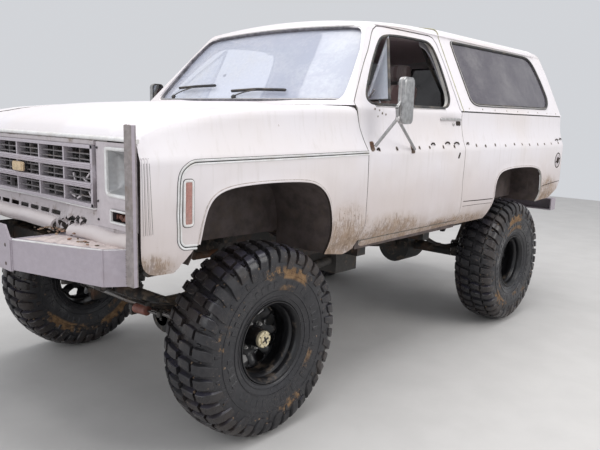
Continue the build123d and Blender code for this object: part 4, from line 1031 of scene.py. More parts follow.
# tailgate: pressed outer skin with a shallow raised field
def gate_y(x, z):
    ax = np.abs(x)
    fld = sm((620 - ax) / 22.0) * sm((z - 1085) / 22.0) * sm((1525 - z) / 22.0)
    inn = sm((540 - ax) / 20.0) * sm((z - 1165) / 20.0) * sm((1440 - z) / 20.0)
    edge = np.minimum(np.minimum(795 - ax, z - 972), 1643 - z)
    return REAR_END - 2.0 + 5.0 * fld - 6.0 * inn - 3.0 * np.clip(1 - edge / 10.0, 0, 1) ** 2 + 0.8 * wave(np.stack([x, z], 1), 180.0, 31)


o = panel("tailgate_skin", rounded([(-795, 972), (795, 972), (795, 1643), (-795, 1643)], 12), [], lambda p: np.stack([p[:, 0], gate_y(p[:, 0], p[:, 1]), p[:, 1]], 1), lambda p: np.stack([p[:, 0], gate_y(p[:, 0], p[:, 1]) - 12.0, p[:, 1]], 1), "rear_gate", want=(0, 1, 0), step=26, bstep=13)
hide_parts("tailgate")
o = panel("tailgate_inner", rounded([(-785, 980), (785, 980), (785, 1637), (-785, 1637)], 10), [rounded([(-600, 1100), (600, 1100), (600, 1500), (-600, 1500)], 30)], lambda p: np.stack([p[:, 0], 0 * p[:, 0] + 3694.0, p[:, 1]], 1), lambda p: np.stack([p[:, 0], 0 * p[:, 0] + 3722.0, p[:, 1]], 1), "rear_gate", want=(0, -1, 0), step=80, bstep=30, mats=("inner_paint", "inner_paint", "jamb"))
g = Build()
g.prism([(-598, 1102), (598, 1102), (598, 1498), (-598, 1498)], (0, 3712, 0), (1, 0, 0), (0, 0, 1), (0, 3, 0))
for zz in (1180, 1300, 1420):
    g.box(-560, 560, 3704, 3712, zz - 12, zz + 12)
bevel(g.obj("tailgate_access", ["trim_in"], "rear_gate"), 2, 2)

# ------------------------------------------------------------------ cab top, hardtop and glass keep their solids
for n, k in (("cab_top", "paint"), ("hardtop", "paint"), ("cowl", "paint"), ("floor_pan", "wheelhouse"), ("inner_fenders", "wheelhouse"),
             ("frame", "chassis"), ("windshield", "glass"), ("quarter_glass", "dark_glass"), ("tailgate_glass", "dark_glass"),
             ("vent_glass_left", "vent"), ("vent_glass_right", "vent"), ("front_bumper", "bumper"), ("rear_bumper", "bumper"),
             ("fuel_tank", "chassis"), ("exhaust", "rust"), ("driveline", "iron"), ("engine_block", "iron"), ("radiator", "alloy"),
             ("dashboard", "trim_in"), ("axle_front", "chassis"), ("axle_rear", "chassis"), ("knuckle_left", "iron"), ("knuckle_right", "iron"),
             ("tie_rod", "rod"), ("steering_gear", "iron"), ("shock_absorbers", "shock"), ("leaf_springs", "spring"), ("front_valance", "paint"),
             ("grille", "grille"), ("headlight_bezels", "bezel"), ("front_seats", "seat"), ("rear_seat", "seat"), ("steering_wheel", "plastic"),
             ("mirror_left", "mirror_back"), ("mirror_right", "mirror_back")):
    ob = NODES[n]
    ob.data.materials.clear()
    ob.data.materials.append(MATS[k])
for n in NODES:
    if n.startswith("rim_"):
        NODES[n].data.materials.clear()
        NODES[n].data.materials.append(MATS["wheel"])
    if n.startswith("tyre_"):
        NODES[n].data.materials.clear()
        NODES[n].data.materials.append(MATS["tread"])


def soften(node, width, seg=3, angle=35):
    ob = NODES[node]
    b = ob.modifiers.new("bevel", "BEVEL")
    b.width = width * 0.001
    b.segments = seg
    b.limit_method = "ANGLE"
    b.angle_limit = math.radians(angle)
    b.harden_normals = False
    return ob


for n, w in (("cab_top", 4), ("hardtop", 6), ("front_bumper", 2.5), ("rear_bumper", 4), ("frame", 3), ("cowl", 2), ("engine_block", 8), ("driveline", 6),
             ("inner_fenders", 2), ("axle_front", 3), ("axle_rear", 3), ("knuckle_left", 2), ("knuckle_right", 2), ("steering_gear", 3), ("dashboard", 8),
             ("floor_pan", 2), ("front_valance", 2), ("radiator", 2), ("fuel_tank", 5), ("tie_rod", 1.5)):
    soften(n, w)

# ------------------------------------------------------------------ wheels
WZ = 488.0
WHEELS = [
    ("front_left", 1, 878.0, 0.0), ("front_right", -1, 878.0, 0.0),
    ("rear_left", 1, 918.0, 2705.0), ("rear_right", -1, 918.0, 2705.0),
]
# carcass section: axial place a (outboard +), radius r
CARC = [(-88, 196), (-103, 194), (-114, 202), (-127, 224), (-139, 258), (-146, 300), (-148.5, 340), (-147.5, 372), (-143, 402), (-134, 426), (-119, 443), (-92, 454), (-56, 460.5), (0, 463.5)]
CARC = CARC + [(-a, r) for a, r in reversed(CARC[:-1])]
LINER = [(88, 205), (118, 262), (124, 330), (122, 380), (108, 424), (70, 444), (0, 447)]
LINER = LINER + [(-a, r) for a, r in reversed(LINER[:-1])]
NP = 40          # lug pitches round the tyre


def wheel_point(side, x0, y0, a, r, th):
    # th turns from the top towards the front of the vehicle
    return (side * (x0 + a), y0 - r * math.sin(th), WZ + r * math.cos(th))


def tyre_mesh(tag, side, x0, y0, seed):
    rnd = random.Random(seed)
    rw = np.random.default_rng(seed)
    verts, faces, mats = [], [], []
    n = 126
    prof = CARC + LINER
    m = len(prof)
    ph = rw.uniform(0, 6.28, 6)
    for i in range(n):
        th = 2 * math.pi * i / n
        for a, r in prof:
            k = 0.0
            if r > 280:
                k = 0.9 * math.sin(7 * th + ph[0] + a * 0.02) + 0.7 * math.sin(17 * th + ph[1]) + 0.5 * math.sin(31 * th + ph[2] + a * 0.05)
            verts.append(wheel_point(side, x0, y0, a, r + k, th))
    for i in range(n):
        j = (i + 1) % n
        for k in range(m):
            l = (k + 1) % m
            q = (i * m + k, i * m + l, j * m + l, j * m + k)
            faces.append(q if side > 0 else q[::-1])
            r = prof[k][1]
            mats.append(1 if (abs(prof[k][0]) > 100 and r < 425 and k < len(CARC)) else 0)

    def ribbon(path, widths, heights, th0, skew=0.0, mat=0, taper=3.0):
        """A raised bar that follows `path` (a, r) over the tyre: widths are half-widths in mm."""
        base = len(verts)
        cnt = len(path)
        for s, (a, r) in enumerate(path):
            # outward normal of the path in the (a, r) plane
            p0, p1 = path[max(0, s - 1)], path[min(cnt - 1, s + 1)]
            ta, tr = p1[0] - p0[0], p1[1] - p0[1]
            ln = math.hypot(ta, tr) or 1.0
            na, nr = -tr / ln, ta / ln
            if nr < -0.2 or (abs(nr) < 0.2 and na * (1 if a >= 0 else -1) < 0):
                na, nr = -na, -nr
            h, w = heights[s], widths[s]
            t = th0 + skew * (abs(a) - 70) / 100.0
            dn = -5.0
            for ww, hh in ((-(w + taper), dn), (-w, h - 2.2), (-(w - 2.4), h), (w - 2.4, h), (w, h - 2.2), (w + taper, dn)):
                aa, rr = a + na * hh, r + nr * hh
                verts.append(wheel_point(side, x0, y0, aa, rr, t + ww / max(rr, 1)))
        for s in range(cnt - 1):
            for k in range(5):
                q = (base + s * 6 + k, base + (s + 1) * 6 + k, base + (s + 1) * 6 + k + 1, base + s * 6 + k + 1)
                faces.append(q)
                mats.append(mat)
        faces.append(tuple(base + k for k in range(6)))
        faces.append(tuple(base + (cnt - 1) * 6 + k for k in reversed(range(6))))
        mats.extend([mat, mat])

    clods = Build()
    for hand in (1, -1):
        for i in range(NP):
            th = 2 * math.pi * (i + (0.5 if hand < 0 else 0.0)) / NP
            jit = lambda s=1.0: rnd.uniform(-s, s)
            long_ = i % 2 == 0
            bend = hand * side
            # centre bar: curves back as it leaves the middle of the tread
            path = [(hand * a, r) for a, r in ((7, 463.4), (22, 463), (40, 462.2), (58, 460.2), (74, 457.6))]
            base0 = len(verts)
            ribbon(path, [18 + jit(), 20.5, 21.5, 22, 20.5 + jit()], [21.5, 23.5, 23.8, 23.6, 22], th, taper=3.5)
            for k in range(base0, len(verts)):
                # swing the bar's outer end round the tyre so that it bows
                vx, vy, vz = verts[k]
                aa = abs((vx - side * x0))
                sw = bend * (0.030 * (aa / 75.0) ** 2 - 0.018)
                dy, dz = vy - y0, vz - WZ
                c_, s_ = math.cos(sw), math.sin(sw)
                verts[k] = (vx, y0 + dy * c_ - dz * s_, WZ + dy * s_ + dz * c_)
            # shoulder lug: over the edge and down the sidewall
            if long_:
                path = [(86, 455.5), (104, 450.5), (119, 443.5), (131, 431), (139, 414), (144, 394), (146.8, 371)]
                wd = [20, 21.5, 22.5, 23, 22.5, 20.5, 16]
                ht = [22, 22.5, 21, 17.5, 13.5, 10, 5]
            else:
                path = [(88, 455), (104, 450.5), (119, 443.5), (131, 431), (138.5, 416), (142, 404)]
                wd = [20, 21.5, 22.5, 23, 22.5, 19]
                ht = [22, 22.5, 21, 17, 12.5, 7]
            path = [(hand * a, r) for a, r in path]
            wd = [w + jit(0.8) for w in wd]
            base0 = len(verts)
            ribbon(path, wd, [h + jit(0.5) for h in ht], th, taper=3.2)
            for k in range(base0, len(verts)):
                vx, vy, vz = verts[k]
                aa = abs((vx - side * x0))
                rr = math.hypot(vy - y0, vz - WZ)
                sw = bend * (0.012 + 0.020 * (aa - 86) / 40.0 + 0.045 * max(0.0, (440 - rr)) / 60.0 * (0.0 if aa < 110 else 1.0))
                dy, dz = vy - y0, vz - WZ
                c_, s_ = math.cos(sw), math.sin(sw)
                verts[k] = (vx, y0 + dy * c_ - dz * s_, WZ + dy * s_ + dz * c_)
            # tie bar at the foot of the groove between two lugs
            ribbon([(hand * 92, 454), (hand * 112, 447.5)], [5, 5], [8, 8], th + math.pi / NP + bend * 0.02, taper=3.0)
            if not long_:
                ribbon([(hand * 144.6, 388), (hand * 147, 372), (hand * 148, 358)], [8, 9, 8], [4.0, 4.8, 3.0], th + bend * 0.075, mat=0, taper=2.0)
        # clods and grit thrown into the grooves and on to the shoulders
        for i in range(110):
            th = rw.uniform(0, 2 * math.pi)
            if rnd.random() < 0.72:
                a, r = rnd.uniform(70, 146), 0
                r = float(np.interp(a, [0, 56, 92, 119, 134, 143, 147.5], [463, 460, 454, 443, 426, 402, 372])) + rnd.uniform(0, 10)
            else:
                a, r = 146.5, rnd.uniform(300, 400)
            c = Vector(wheel_point(side, x0, y0, hand * a, r, th))
            sz = rnd.uniform(2.5, 8.5)
            bm = bmesh.new()
            bmesh.ops.create_icosphere(bm, subdivisions=1, radius=1.0)
            k0 = len(clods.v)
            for v in bm.verts:
                q = v.co * sz * rnd.uniform(0.6, 1.2)
                clods.v.append((c.x + q.x * 0.75, c.y + q.y * 1.2, c.z + q.z))
            for f_ in bm.faces:
                clods.f.append(tuple(v.index + k0 for v in f_.verts))
                clods.m.append(0 if rnd.random() < 0.75 else 1)
            bm.free()
    co = clods.obj("mud_clods_" + tag, ["mud_dark", "mud"], "wheel_" + tag, fix=False)
    # raised ribs and a plain band round the sidewalls
    o_rings = Build()
    for hand in (1, -1):
        for r, a, h, w in ((345, 148.4, 2.6, 4), (262, 139.4, 3.4, 5), (232, 129.4, 3.4, 4), (213, 120, 4, 4)):
            rp = []
            for da, dr in ((-4, -w), (h, -w * 0.5), (h, w * 0.5), (-4, w)):
                rp.append((r + dr, side * hand * (a + da)))
            o_rings.lathe(rp, (side * x0, y0, WZ), (1, 0, 0), n=96, mat=1, closed=True)
        # short bars between the ribs, generic ornament
        for i in range(44):
            if i % 11 in (4, 10):
                continue
            th = 2 * math.pi * (i + 0.2) / 44
            path = [(hand * 142.6, 280), (hand * 145.4, 298), (hand * 147.2, 314)]
            ribbon(path, [10, 10.5, 11], [2.4, 2.6, 2.4], th, mat=1, taper=1.4)
    k = len(verts)
    verts += o_rings.v
    faces += [tuple(i + k for i in f) for f in o_rings.f]
    mats += o_rings.m
    o = mesh_obj("tyre_tread_" + tag, verts, faces, ["tread", MATS["wall_" + tag]], "wheel_" + tag, mats, True, 32)
    bm = bmesh.new()
    bm.from_mesh(o.data)
    bmesh.ops.recalc_face_normals(bm, faces=bm.faces)
    bm.to_mesh(o.data)
    bm.free()
    o.data.set_sharp_from_angle(angle=math.radians(32))
    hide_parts("tyre_" + tag)
    return o


# rim section (r, a), outboard lip first
RIM_OUT = [(205, 127), (206.5, 124), (205, 120), (198, 117), (192, 108), (190.5, 100), (190.5, -100), (192, -108), (198, -117), (205, -120), (206.5, -124), (205, -127),
           (200, -127), (193, -122), (186, -110), (184, -96), (180, -60), (178, -44), (178, -32), (181, -20), (181, 20), (172, 34), (170, 60), (176, 74), (183, 82), (184, 100), (188, 110), (194, 118), (200, 126)]


def rim_mesh(tag, side, x0, y0, front):
    b = Build()
    c = (side * x0, y0, WZ)
    ax = (side, 0, 0)
    b.lathe(RIM_OUT, c, ax, n=96, closed=True)
    # wheel disc: eight windows with rolled edges, pressed well back from the lip
    hole = []
    for k in range(8):
        t0 = 2 * math.pi * (k + 0.5) / 8
        pts = []
        for r, dt in ((106, -0.13), (106, 0.13), (152, 0.22), (160, 0.12), (160, -0.12), (152, -0.22)):
            pts.append((r * math.cos(t0 + dt), r * math.sin(t0 + dt)))
        hole.append(rounded(pts, 11, 4))
    circ = [(178 * math.cos(t), 178 * math.sin(t)) for t in np.linspace(0, 2 * math.pi, 72, endpoint=False)]
    cen = [(56 * math.cos(t), 56 * math.sin(t)) for t in np.linspace(0, 2 * math.pi, 40, endpoint=False)]
    p, f = region(circ, hole + [np.array(cen)], 9.0, 5.0)
    r = np.hypot(p[:, 0], p[:, 1])
    th = np.arctan2(p[:, 1], p[:, 0])
    dish = -34.0 + 26.0 * sm((r - 84) / 60.0) - 16.0 * sm((r - 160) / 16.0)
    spoke = 7.0 * np.clip(np.cos(8 * th), 0, 1) ** 1.5 * sm((r - 92) / 14) * sm((172 - r) / 14)
    lipd = np.full(len(p), 1e9)
    for h in hole:
        lipd = np.minimum(lipd, seg_dist(p, h, closed=True))
    a = dish + spoke - 6.0 * np.clip(1 - lipd / 7.0, 0, 1) ** 2

    def at(aa):
        return np.stack([side * (x0 + aa), y0 - p[:, 1], WZ + p[:, 0]], 1)
    vo, vi = at(a), at(a - 6.0)
    f = orient(vo, f, (side, 0, 0))
    e = np.concatenate([f[:, [0, 1]], f[:, [1, 2]], f[:, [2, 0]]])
    seen = {(int(i), int(j)) for i, j in e}
    n = len(p)
    walls = [(j, i, i + n, j + n) for i, j in seen if (j, i) not in seen]
    b.add(np.concatenate([vo, vi]).tolist(), [tuple(t) for t in f] + [tuple(t[::-1] + n) for t in f] + walls, 0)
    # wheel studs and nuts
    for k in range(6):
        t = 2 * math.pi * (k + 0.25) / 6
        q = (side * (x0 - 34), y0 - 70 * math.sin(t), WZ + 70 * math.cos(t))
        b.lathe([(0, -4), (13.5, -4), (13.5, 4), (11.2, 6), (11.2, 20), (8.5, 23), (5.5, 23), (5.5, 31), (0, 31)], q, ax, n=6, mat=1)
    o = b.obj("wheel_rim_" + tag, ["wheel", "alloy"], "wheel_" + tag, sharp=35)
    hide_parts("rim_" + tag)
    h = Build()
    if front:
        # locking hub: body with bolt ring, and a plain dial with a turning bar
        h.lathe([(0, -60), (56, -60), (56, -28), (54, -22), (49, -16), (47, 44), (44, 50), (0, 50)], c, ax, n=40, mat=0)
        h.lathe([(0, 50), (41, 50), (43, 53), (43, 66), (40, 70), (36, 71.5), (32, 69), (0, 68)], c, ax, n=48, mat=1)
        h.lathe([(0, 68), (25, 68), (25, 72), (22, 75), (9, 75), (0, 73)], c, ax, n=32, mat=1)
        for ang in (0.4, 0.4 + math.pi / 2):
            u = Vector((0, -math.sin(ang), math.cos(ang)))
            w = Vector((0, -math.cos(ang), -math.sin(ang)))
            o3 = Vector(c) + Vector(ax) * 72
            h.prism([(-21, -4), (21, -4), (21, 4), (-21, 4)], o3, u, w, Vector(ax) * 6, 2)
        for k in range(6):
            t = 2 * math.pi * k / 6
            q = (side * (x0 + 69), y0 - 36.5 * math.sin(t), WZ + 36.5 * math.cos(t))
            h.lathe([(0, 0), (4, 0), (4, 4.5), (0, 4.5)], q, ax, n=6, mat=2)
    else:
        h.lathe([(0, -60), (54, -60), (54, -22), (50, -16), (40, -12), (38, 18), (34, 24), (0, 26)], c, ax, n=40, mat=0)
        for k in range(8):
            t = 2 * math.pi * k / 8
            q = (side * (x0 - 14), y0 - 46 * math.sin(t), WZ + 46 * math.cos(t))
            h.lathe([(0, -4), (5.5, -4), (5.5, 4), (0, 4)], q, ax, n=6, mat=2)
    o = h.obj("hub_" + tag, ["wheel", "brass", "chassis"], "wheel_" + tag, sharp=35)
    bevel(o, 0.8, 2, 40)
    # valve stem
    v = Build()
    v.tube([(side * (x0 + 72), y0 + 12, WZ + 170), (side * (x0 + 88), y0 + 12, WZ + 166), (side * (x0 + 102), y0 + 12, WZ + 158)], [4.5, 3.2, 3.6], 8)
    v.obj("valve_" + tag, ["black"], "wheel_" + tag)


for i, (tag, side, x0, y0) in enumerate(WHEELS):
    MATS["wall_" + tag] = sidewall_mat("sidewall_" + tag, (0.0, (y0 + Y0) * 0.001, 0.488), i + 1)
    tyre_mesh(tag, side, x0, y0, 40 + i)
    rim_mesh(tag, side, x0, y0, i < 2)
# ------------------------------------------------------------------ front end: grille, bezels, valance
FE = -745.0


def bar_profile(y_face, z0, h):
    # thick bar of the grille with two grooves along it; (y, z) points, front at small y
    k = h / 24.0
    pts = [(y_face + 20, z0 - h / 2), (y_face + 3, z0 - h / 2), (y_face + 1, z0 - 10 * k), (y_face, z0 - 5.2 * k), (y_face + 3.0, z0 - 4.2 * k), (y_face + 3.0, z0 - 2.8 * k),
           (y_face, z0 - 1.8 * k), (y_face, z0 + 1.8 * k), (y_face + 3.0, z0 + 2.8 * k), (y_face + 3.0, z0 + 4.2 * k), (y_face, z0 + 5.2 * k), (y_face + 1, z0 + 10 * k), (y_face + 4, z0 + h / 2), (y_face + 20, z0 + h / 2)]
    return pts


def along_x(b, prof, x0, x1, mat=0, n=1, wob=None):
    # sweeps a (y, z) profile along x in n steps, with an optional (dy, dz) wobble
    base = len(b.v)
    m = len(prof)
    for i in range(n + 1):
        x = x0 + (x1 - x0) * i / n
        dy, dz = wob(x) if wob else (0, 0)
        for y, z in prof:
            b.v.append((x, y + dy, z + dz))
    for i in range(n):
        for k in range(m):
            l = (k + 1) % m
            b.f.append((base + i * m + k, base + i * m + l, base + (i + 1) * m + l, base + (i + 1) * m + k))
            b.m.append(mat)
    b.f.append(tuple(base + k for k in reversed(range(m))))
    b.f.append(tuple(base + n * m + k for k in range(m)))
    b.m += [mat, mat]


g = Build()
rg = random.Random(5)
BADGE = (36.0, 1318.0)
# outer frame
for x0, x1, z0, z1 in ((-702, 702, 1190, 1205), (-702, 702, 1433, 1448), (-702, -686, 1190, 1448), (686, 702, 1190, 1448)):
    g.box(x0, x1, -769, -724, z0, z1)
ROWS = [1205, 1279, 1360, 1433]
COLS = [-688, -457, -229, 0, 229, 457, 688]
for z, h in ((1279, 24), (1360, 26)):
    along_x(g, bar_profile(-773, z, h), -692, 692, 0, 24, lambda x: (1.6 * math.sin(x / 130.0), 1.5 * math.sin(x / 170.0 + z)))
for x in COLS[1:-1]:
    g.box(x - 5.5, x + 5.5, -766, -724, 1196, 1440)
for j in range(3):
    z0, z1 = ROWS[j], ROWS[j + 1]
    for i in range(len(COLS) - 1):
        xm = (COLS[i] + COLS[i + 1]) / 2
        for x0, x1 in ((COLS[i], xm), (xm, COLS[i + 1])):
            for k in (1, 2):
                z = z0 + (z1 - z0) * k / 3.0
                if rg.random() < 0.06:
                    continue
                t = Matrix.Rotation(math.radians(rg.uniform(-2.0, 2.0)), 3, "Y") if rg.random() < 0.22 else None
                g.box(x0 + 2, x1 - 2, -755, -741, z - 2.6, z + 2.6, 4, t)
            xq = (x0 + x1) / 2 + rg.uniform(-2, 2)
            g.box(xq - 1.6, xq + 1.6, -738, -729, z0 + 6, z1 - 6, 1)
        g.box(xm - 2.6, xm + 2.6, -752, -732, z0 + 3, z1 - 3, 4)
# broken bits that hang in some of the cells, and a plain oblong plate on the second row
for x, z, a in ((612, 1296, 0.5), (640, 1322, -0.7), (655, 1232, 0.9), (560, 1222, -0.4), (500, 1226, 0.3), (520, 1300, 1.2)):
    g.box(x - 24, x + 24, -752, -744, z - 4, z + 4, 2, Matrix.Rotation(a, 3, "Y"))
plate = rounded([(-58, -22), (58, -22), (58, 22), (-58, 22)], 14, 4)
g.prism([tuple(map(float, q)) for q in plate], (BADGE[0], -772, BADGE[1]), (1, 0, 0), (0, 0, 1), (0, -9, 0), 3)
g.prism([tuple(0.82 * float(c) for c in q) for q in plate], (BADGE[0], -780, BADGE[1]), (1, 0, 0), (0, 0, 1), (0, -3, 0), 3)
o = g.obj("grille_panel", ["grille", "grille_dark", "bezel", "badge", "grille_thin"], "body", sharp=30)
bevel(o, 1.2, 2, 40)
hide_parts("grille")
# dark slats behind the grille
gb = Build()
for k in range(9):
    z = 1212 + 27 * k
    gb.box(-684, 684, -716, -698, z - 4, z + 4, 0, Matrix.Rotation(0.5, 3, "X"))
gb.box(-690, -672, -722, -694, 1192, 1448)
gb.box(672, 690, -722, -694, 1192, 1448)
gb.obj("grille_slats", ["grille_dark"], "body")

# header strip over the grille: bright rolled edge above a mottled grey band
hs = Build()
along_x(hs, [(-744, 1449), (-762, 1449), (-764, 1453), (-763, 1464), (-759, 1468), (-744, 1468)], -703, 703, 1, 30, lambda x: (0.8 * math.sin(x / 90), 0))
prof = [(-744, 1471)] + [(-757 + 11 * math.cos(a), 1478.5 + 8.5 * math.sin(a)) for a in np.linspace(-1.57, -4.71, 9)] + [(-744, 1487)]
along_x(hs, prof, -992, 992, 0, 60, lambda x: (0.8 * math.sin(x / 90) + 9.0 * sm((abs(x) - 930) / 60.0), -4 * sm((abs(x) - 900) / 90.0)))
o = hs.obj("header_strip", ["bright_edge", "valance"], "body", sharp=30)

# headlight bezels: plate with two openings, each opening with a rolled white frame
for side, tag in ((1, "left"), (-1, "right")):
    lamp = rounded([(791, 1250), (962, 1250), (962, 1445), (791, 1445)], [34, 34, 14, 14], 6)
    turn = rounded([(821, 1144), (957, 1144), (957, 1197), (821, 1197)], 7, 3)

    def bz(p, d=0.0):
        x, z = p[:, 0], p[:, 1]
        y = -763.0 + d + 9.0 * sm((x - 968) / 20.0) ** 2 + 6.0 * sm((722 - x) / 17.0)
        dl = seg_dist(p, lamp, closed=True)
        dt = seg_dist(p, turn, closed=True)
        y = y + 5.5 * np.clip(1 - dl / 9.0, 0, 1) ** 2 + 4.5 * np.clip(1 - dt / 7.0, 0, 1) ** 2
        # shallow pressed panel round the lamp
        inner = sm((22 - dl) / 8.0)
        y = y + 4.0 * (1 - inner) * sm((dl - 22) / 10.0)
        y = y + 0.9 * wave(p, 90.0, 17 if side > 0 else 19)
        return np.stack([x, y, z], 1)

    o = panel("bezel_plate_" + tag, rounded([(705, 1120), (989, 1120), (989, 1465), (705, 1465)], 6), [lamp, turn], lambda p: bz(p), lambda p: bz(p, 8.0), "body", mats=("bezel", "grille_dark", "bezel"), step=17, bstep=8, side=side, want=(0, -1, 0))
    if side > 0:
        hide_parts("headlight_bezels")
    b = Build()
    # bright frame of the lamp opening and the empty bucket behind it
    ring = [(0, 3.0), (6.0, 0.0), (10.0, 1.0), (13.5, 4.0), (14.5, 12.0), (12.0, 14.0), (0, 12.0)]

    def ring_sweep(bb, loop, prof, mat, y0):
        cnt = len(loop)
        base = len(bb.v)
        m = len(prof)
        for i in range(cnt):
            a, q = loop[i - 1], loop[(i + 1) % cnt]
            t = (q - a) / max(np.linalg.norm(q - a), 1e-9)
            nn = np.array([-t[1], t[0]])
            if nn @ (loop[i] - loop.mean(0)) < 0:
                nn = -nn
            for w, d in prof:
                r = loop[i] - nn * (w - 2.0)
                bb.v.append((side * r[0], y0 + d, r[1]))
        for i in range(cnt):
            j = (i + 1) % cnt
            for k in range(m):
                l = (k + 1) % m
                bb.f.append((base + i * m + k, base + i * m + l, base + j * m + l, base + j * m + k))
                bb.m.append(mat)

    ring_sweep(b, resample(lamp, 9), ring, 0, -768.0)
    ring_sweep(b, resample(turn, 9), [(0, 2.5), (4, 0), (7.5, 1.5), (9, 6), (9, 11), (0, 10)], 0, -767.0)
    # bucket: walls and a hollow, weathered back
    p, f = region(inset(resample(lamp, 8), 10.0), [], 12.0, 8.0)
    dl = seg_dist(p, inset(resample(lamp, 8), 10.0), closed=True)
    dep = 34.0 * sm(dl / 16.0) + 26.0 * sm(dl / 70.0) + 1.2 * wave(p, 26.0, 8)
    front = np.stack([side * p[:, 0], -760.0 + dep, p[:, 1]], 1)
    back = np.stack([side * p[:, 0], -760.0 + dep + 5.0, p[:, 1]], 1)
    f = orient(front, f, (0, -1, 0))
    e = np.concatenate([f[:, [0, 1]], f[:, [1, 2]], f[:, [2, 0]]])
    seen = {(int(i), int(j)) for i, j in e}
    k = len(p)
    b.add(np.concatenate([front, back]).tolist(), [tuple(t) for t in f] + [tuple(t[::-1] + k) for t in f] + [(j, i, i + k, j + k) for i, j in seen if (j, i) not in seen], 1)
    # turn-signal hollow with what is left of the lamp
    for x0, x1, z0, z1 in ((821, 827, 1146, 1195), (951, 957, 1146, 1195), (821, 957, 1142, 1148), (821, 957, 1193, 1199)):
        xa, xb = sorted((side * x0, side * x1))
        b.box(xa, xb, -758, -712, z0, z1, 2)
    xa, xb = sorted((side * 822, side * 956))
    b.box(xa, xb, -716, -710, 1141, 1197, 2)
    for i in range(9):
        x = rg.uniform(838, 940)
        w, h = rg.uniform(8, 26), rg.uniform(10, 40)
        t = Matrix.Rotation(rg.uniform(-0.7, 0.7), 3, "Y") @ Matrix.Rotation(rg.uniform(-0.4, 0.4), 3, "X")
        b.box(side * x - w / 2, side * x + w / 2, -738 + rg.uniform(-8, 8), -733 + rg.uniform(-2, 8), 1168 - h / 2, 1168 + h / 2, 3, t)
    # three raised ribs down the wing's front edge, next to the bezel, each with a thin near-black line behind it as
    # painted shade in the groove
    for j in range(3):
        y0, y1 = -737.0 + 12.5 * j, -730.0 + 17.0 * j
        pts = []
        for k in range(15):
            z = 1412.0 - 300.0 * k / 14
            y = y0 + (y1 - y0) * (k / 14.0)
            pts.append((side * float(side_x(z) + side_offset(np.array([y]), np.array([z]), 3 if side > 0 else 11)[0] - 0.8), y, z))
        b.tube(pts, 4.2, n=8, mat=5)
        # painted shade: a thin near-black line in the groove behind each rib
        b.tube([(q_[0] + side * 0.2, q_[1] + 7.0, q_[2]) for q_ in pts], 1.1, n=8, mat=2)
    # corner screws
    for x, z in ((728, 1222), (728, 1440), (975, 1222), (728, 1146), (975, 1146)):
        b.lathe([(0, -2), (5, -2), (5, 1.5), (3, 3), (0, 3)], (side * x, -762, z), (0, -1, 0), n=12, mat=2)
    o = b.obj("lamp_frames_" + tag, ["bright_edge", "bucket", "grille_dark", "amber_broken", "bezel", "paint"], "body", sharp=35)
    bevel(o, 0.8, 2, 40)

# valance: slotted grey strip over a rolled, dented white apron; a torn place on the left
slots = []
for i in range(-6, 4):
    x = -11.0 + 105 * i
    slots.append(rounded([(x - 4, 1119), (x + 80, 1119), (x + 88, 1140), (x + 4, 1140)], 6, 3))
tear = np.array([(424, 1106), (436, 1121), (452, 1116), (470, 1131), (492, 1122), (512, 1137), (536, 1126), (560, 1142), (584, 1130), (606, 1141), (632, 1132), (622, 1112), (600, 1119), (574, 1107), (548, 1114), (524, 1104), (498, 1112), (470, 1103), (446, 1111)], float)


def val(p, d=0.0):
    x, z = p[:, 0], p[:, 1]
    y = -753.0 + d - 6.0 * np.exp(-((z - 1108) / 5.0) ** 2)
    crump = np.exp(-(((x - 525) / 125.0) ** 2 + ((z - 1115) / 40.0) ** 2))
    y = y - 17.0 * crump * (0.6 + 0.6 * wave(p, 22.0, 41)) + 1.0 * wave(p, 70.0, 43)
    return np.stack([x, y, z + 3.0 * crump * wave(p, 30.0, 44)], 1)


o = panel("valance_strip", rounded([(-984, 1097), (984, 1097), (984, 1118), (716, 1121), (704, 1186), (-704, 1186), (-716, 1121), (-984, 1118)], [3, 3, 3, 8, 4, 4, 8, 3]), slots + [tear], lambda p: val(p), lambda p: val(p, 4.0), "body", mats=("valance", "grille_dark", "valance"), step=16, bstep=6, want=(0, -1, 0), bev=1.0)
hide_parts("front_valance")
vb = Build()
along_x(vb, [(-744, 1182), (-764, 1182), (-767, 1185), (-767, 1189), (-764, 1191), (-744, 1191)], -703, 703, 0, 40, lambda x: (1.4 * math.sin(x / 85.0), 1.2 * math.sin(x / 140.0)))


def apron_wob(x):
    k = math.exp(-((x - 450) / 95.0) ** 2)
    k2 = math.exp(-((x - 850) / 80.0) ** 2)
    return (9 * k * math.sin(x / 17.0) - 6 * k2, -15 * k - 9 * k2 + 2.0 * math.sin(x / 120.0) + 1.5 * math.sin(x / 47.0))


ap = [(-742, 1113), (-756, 1114), (-772, 1110), (-786, 1101), (-795, 1088), (-797, 1074), (-792, 1062), (-783, 1054), (-777, 1054), (-780, 1063), (-786, 1074), (-784, 1086), (-776, 1096), (-765, 1102), (-742, 1105)]
for x0, x1 in ((-950, 374), (522, 981)):
    along_x(vb, ap, x0, x1, 1, int(abs(x1 - x0) / 14), apron_wob)
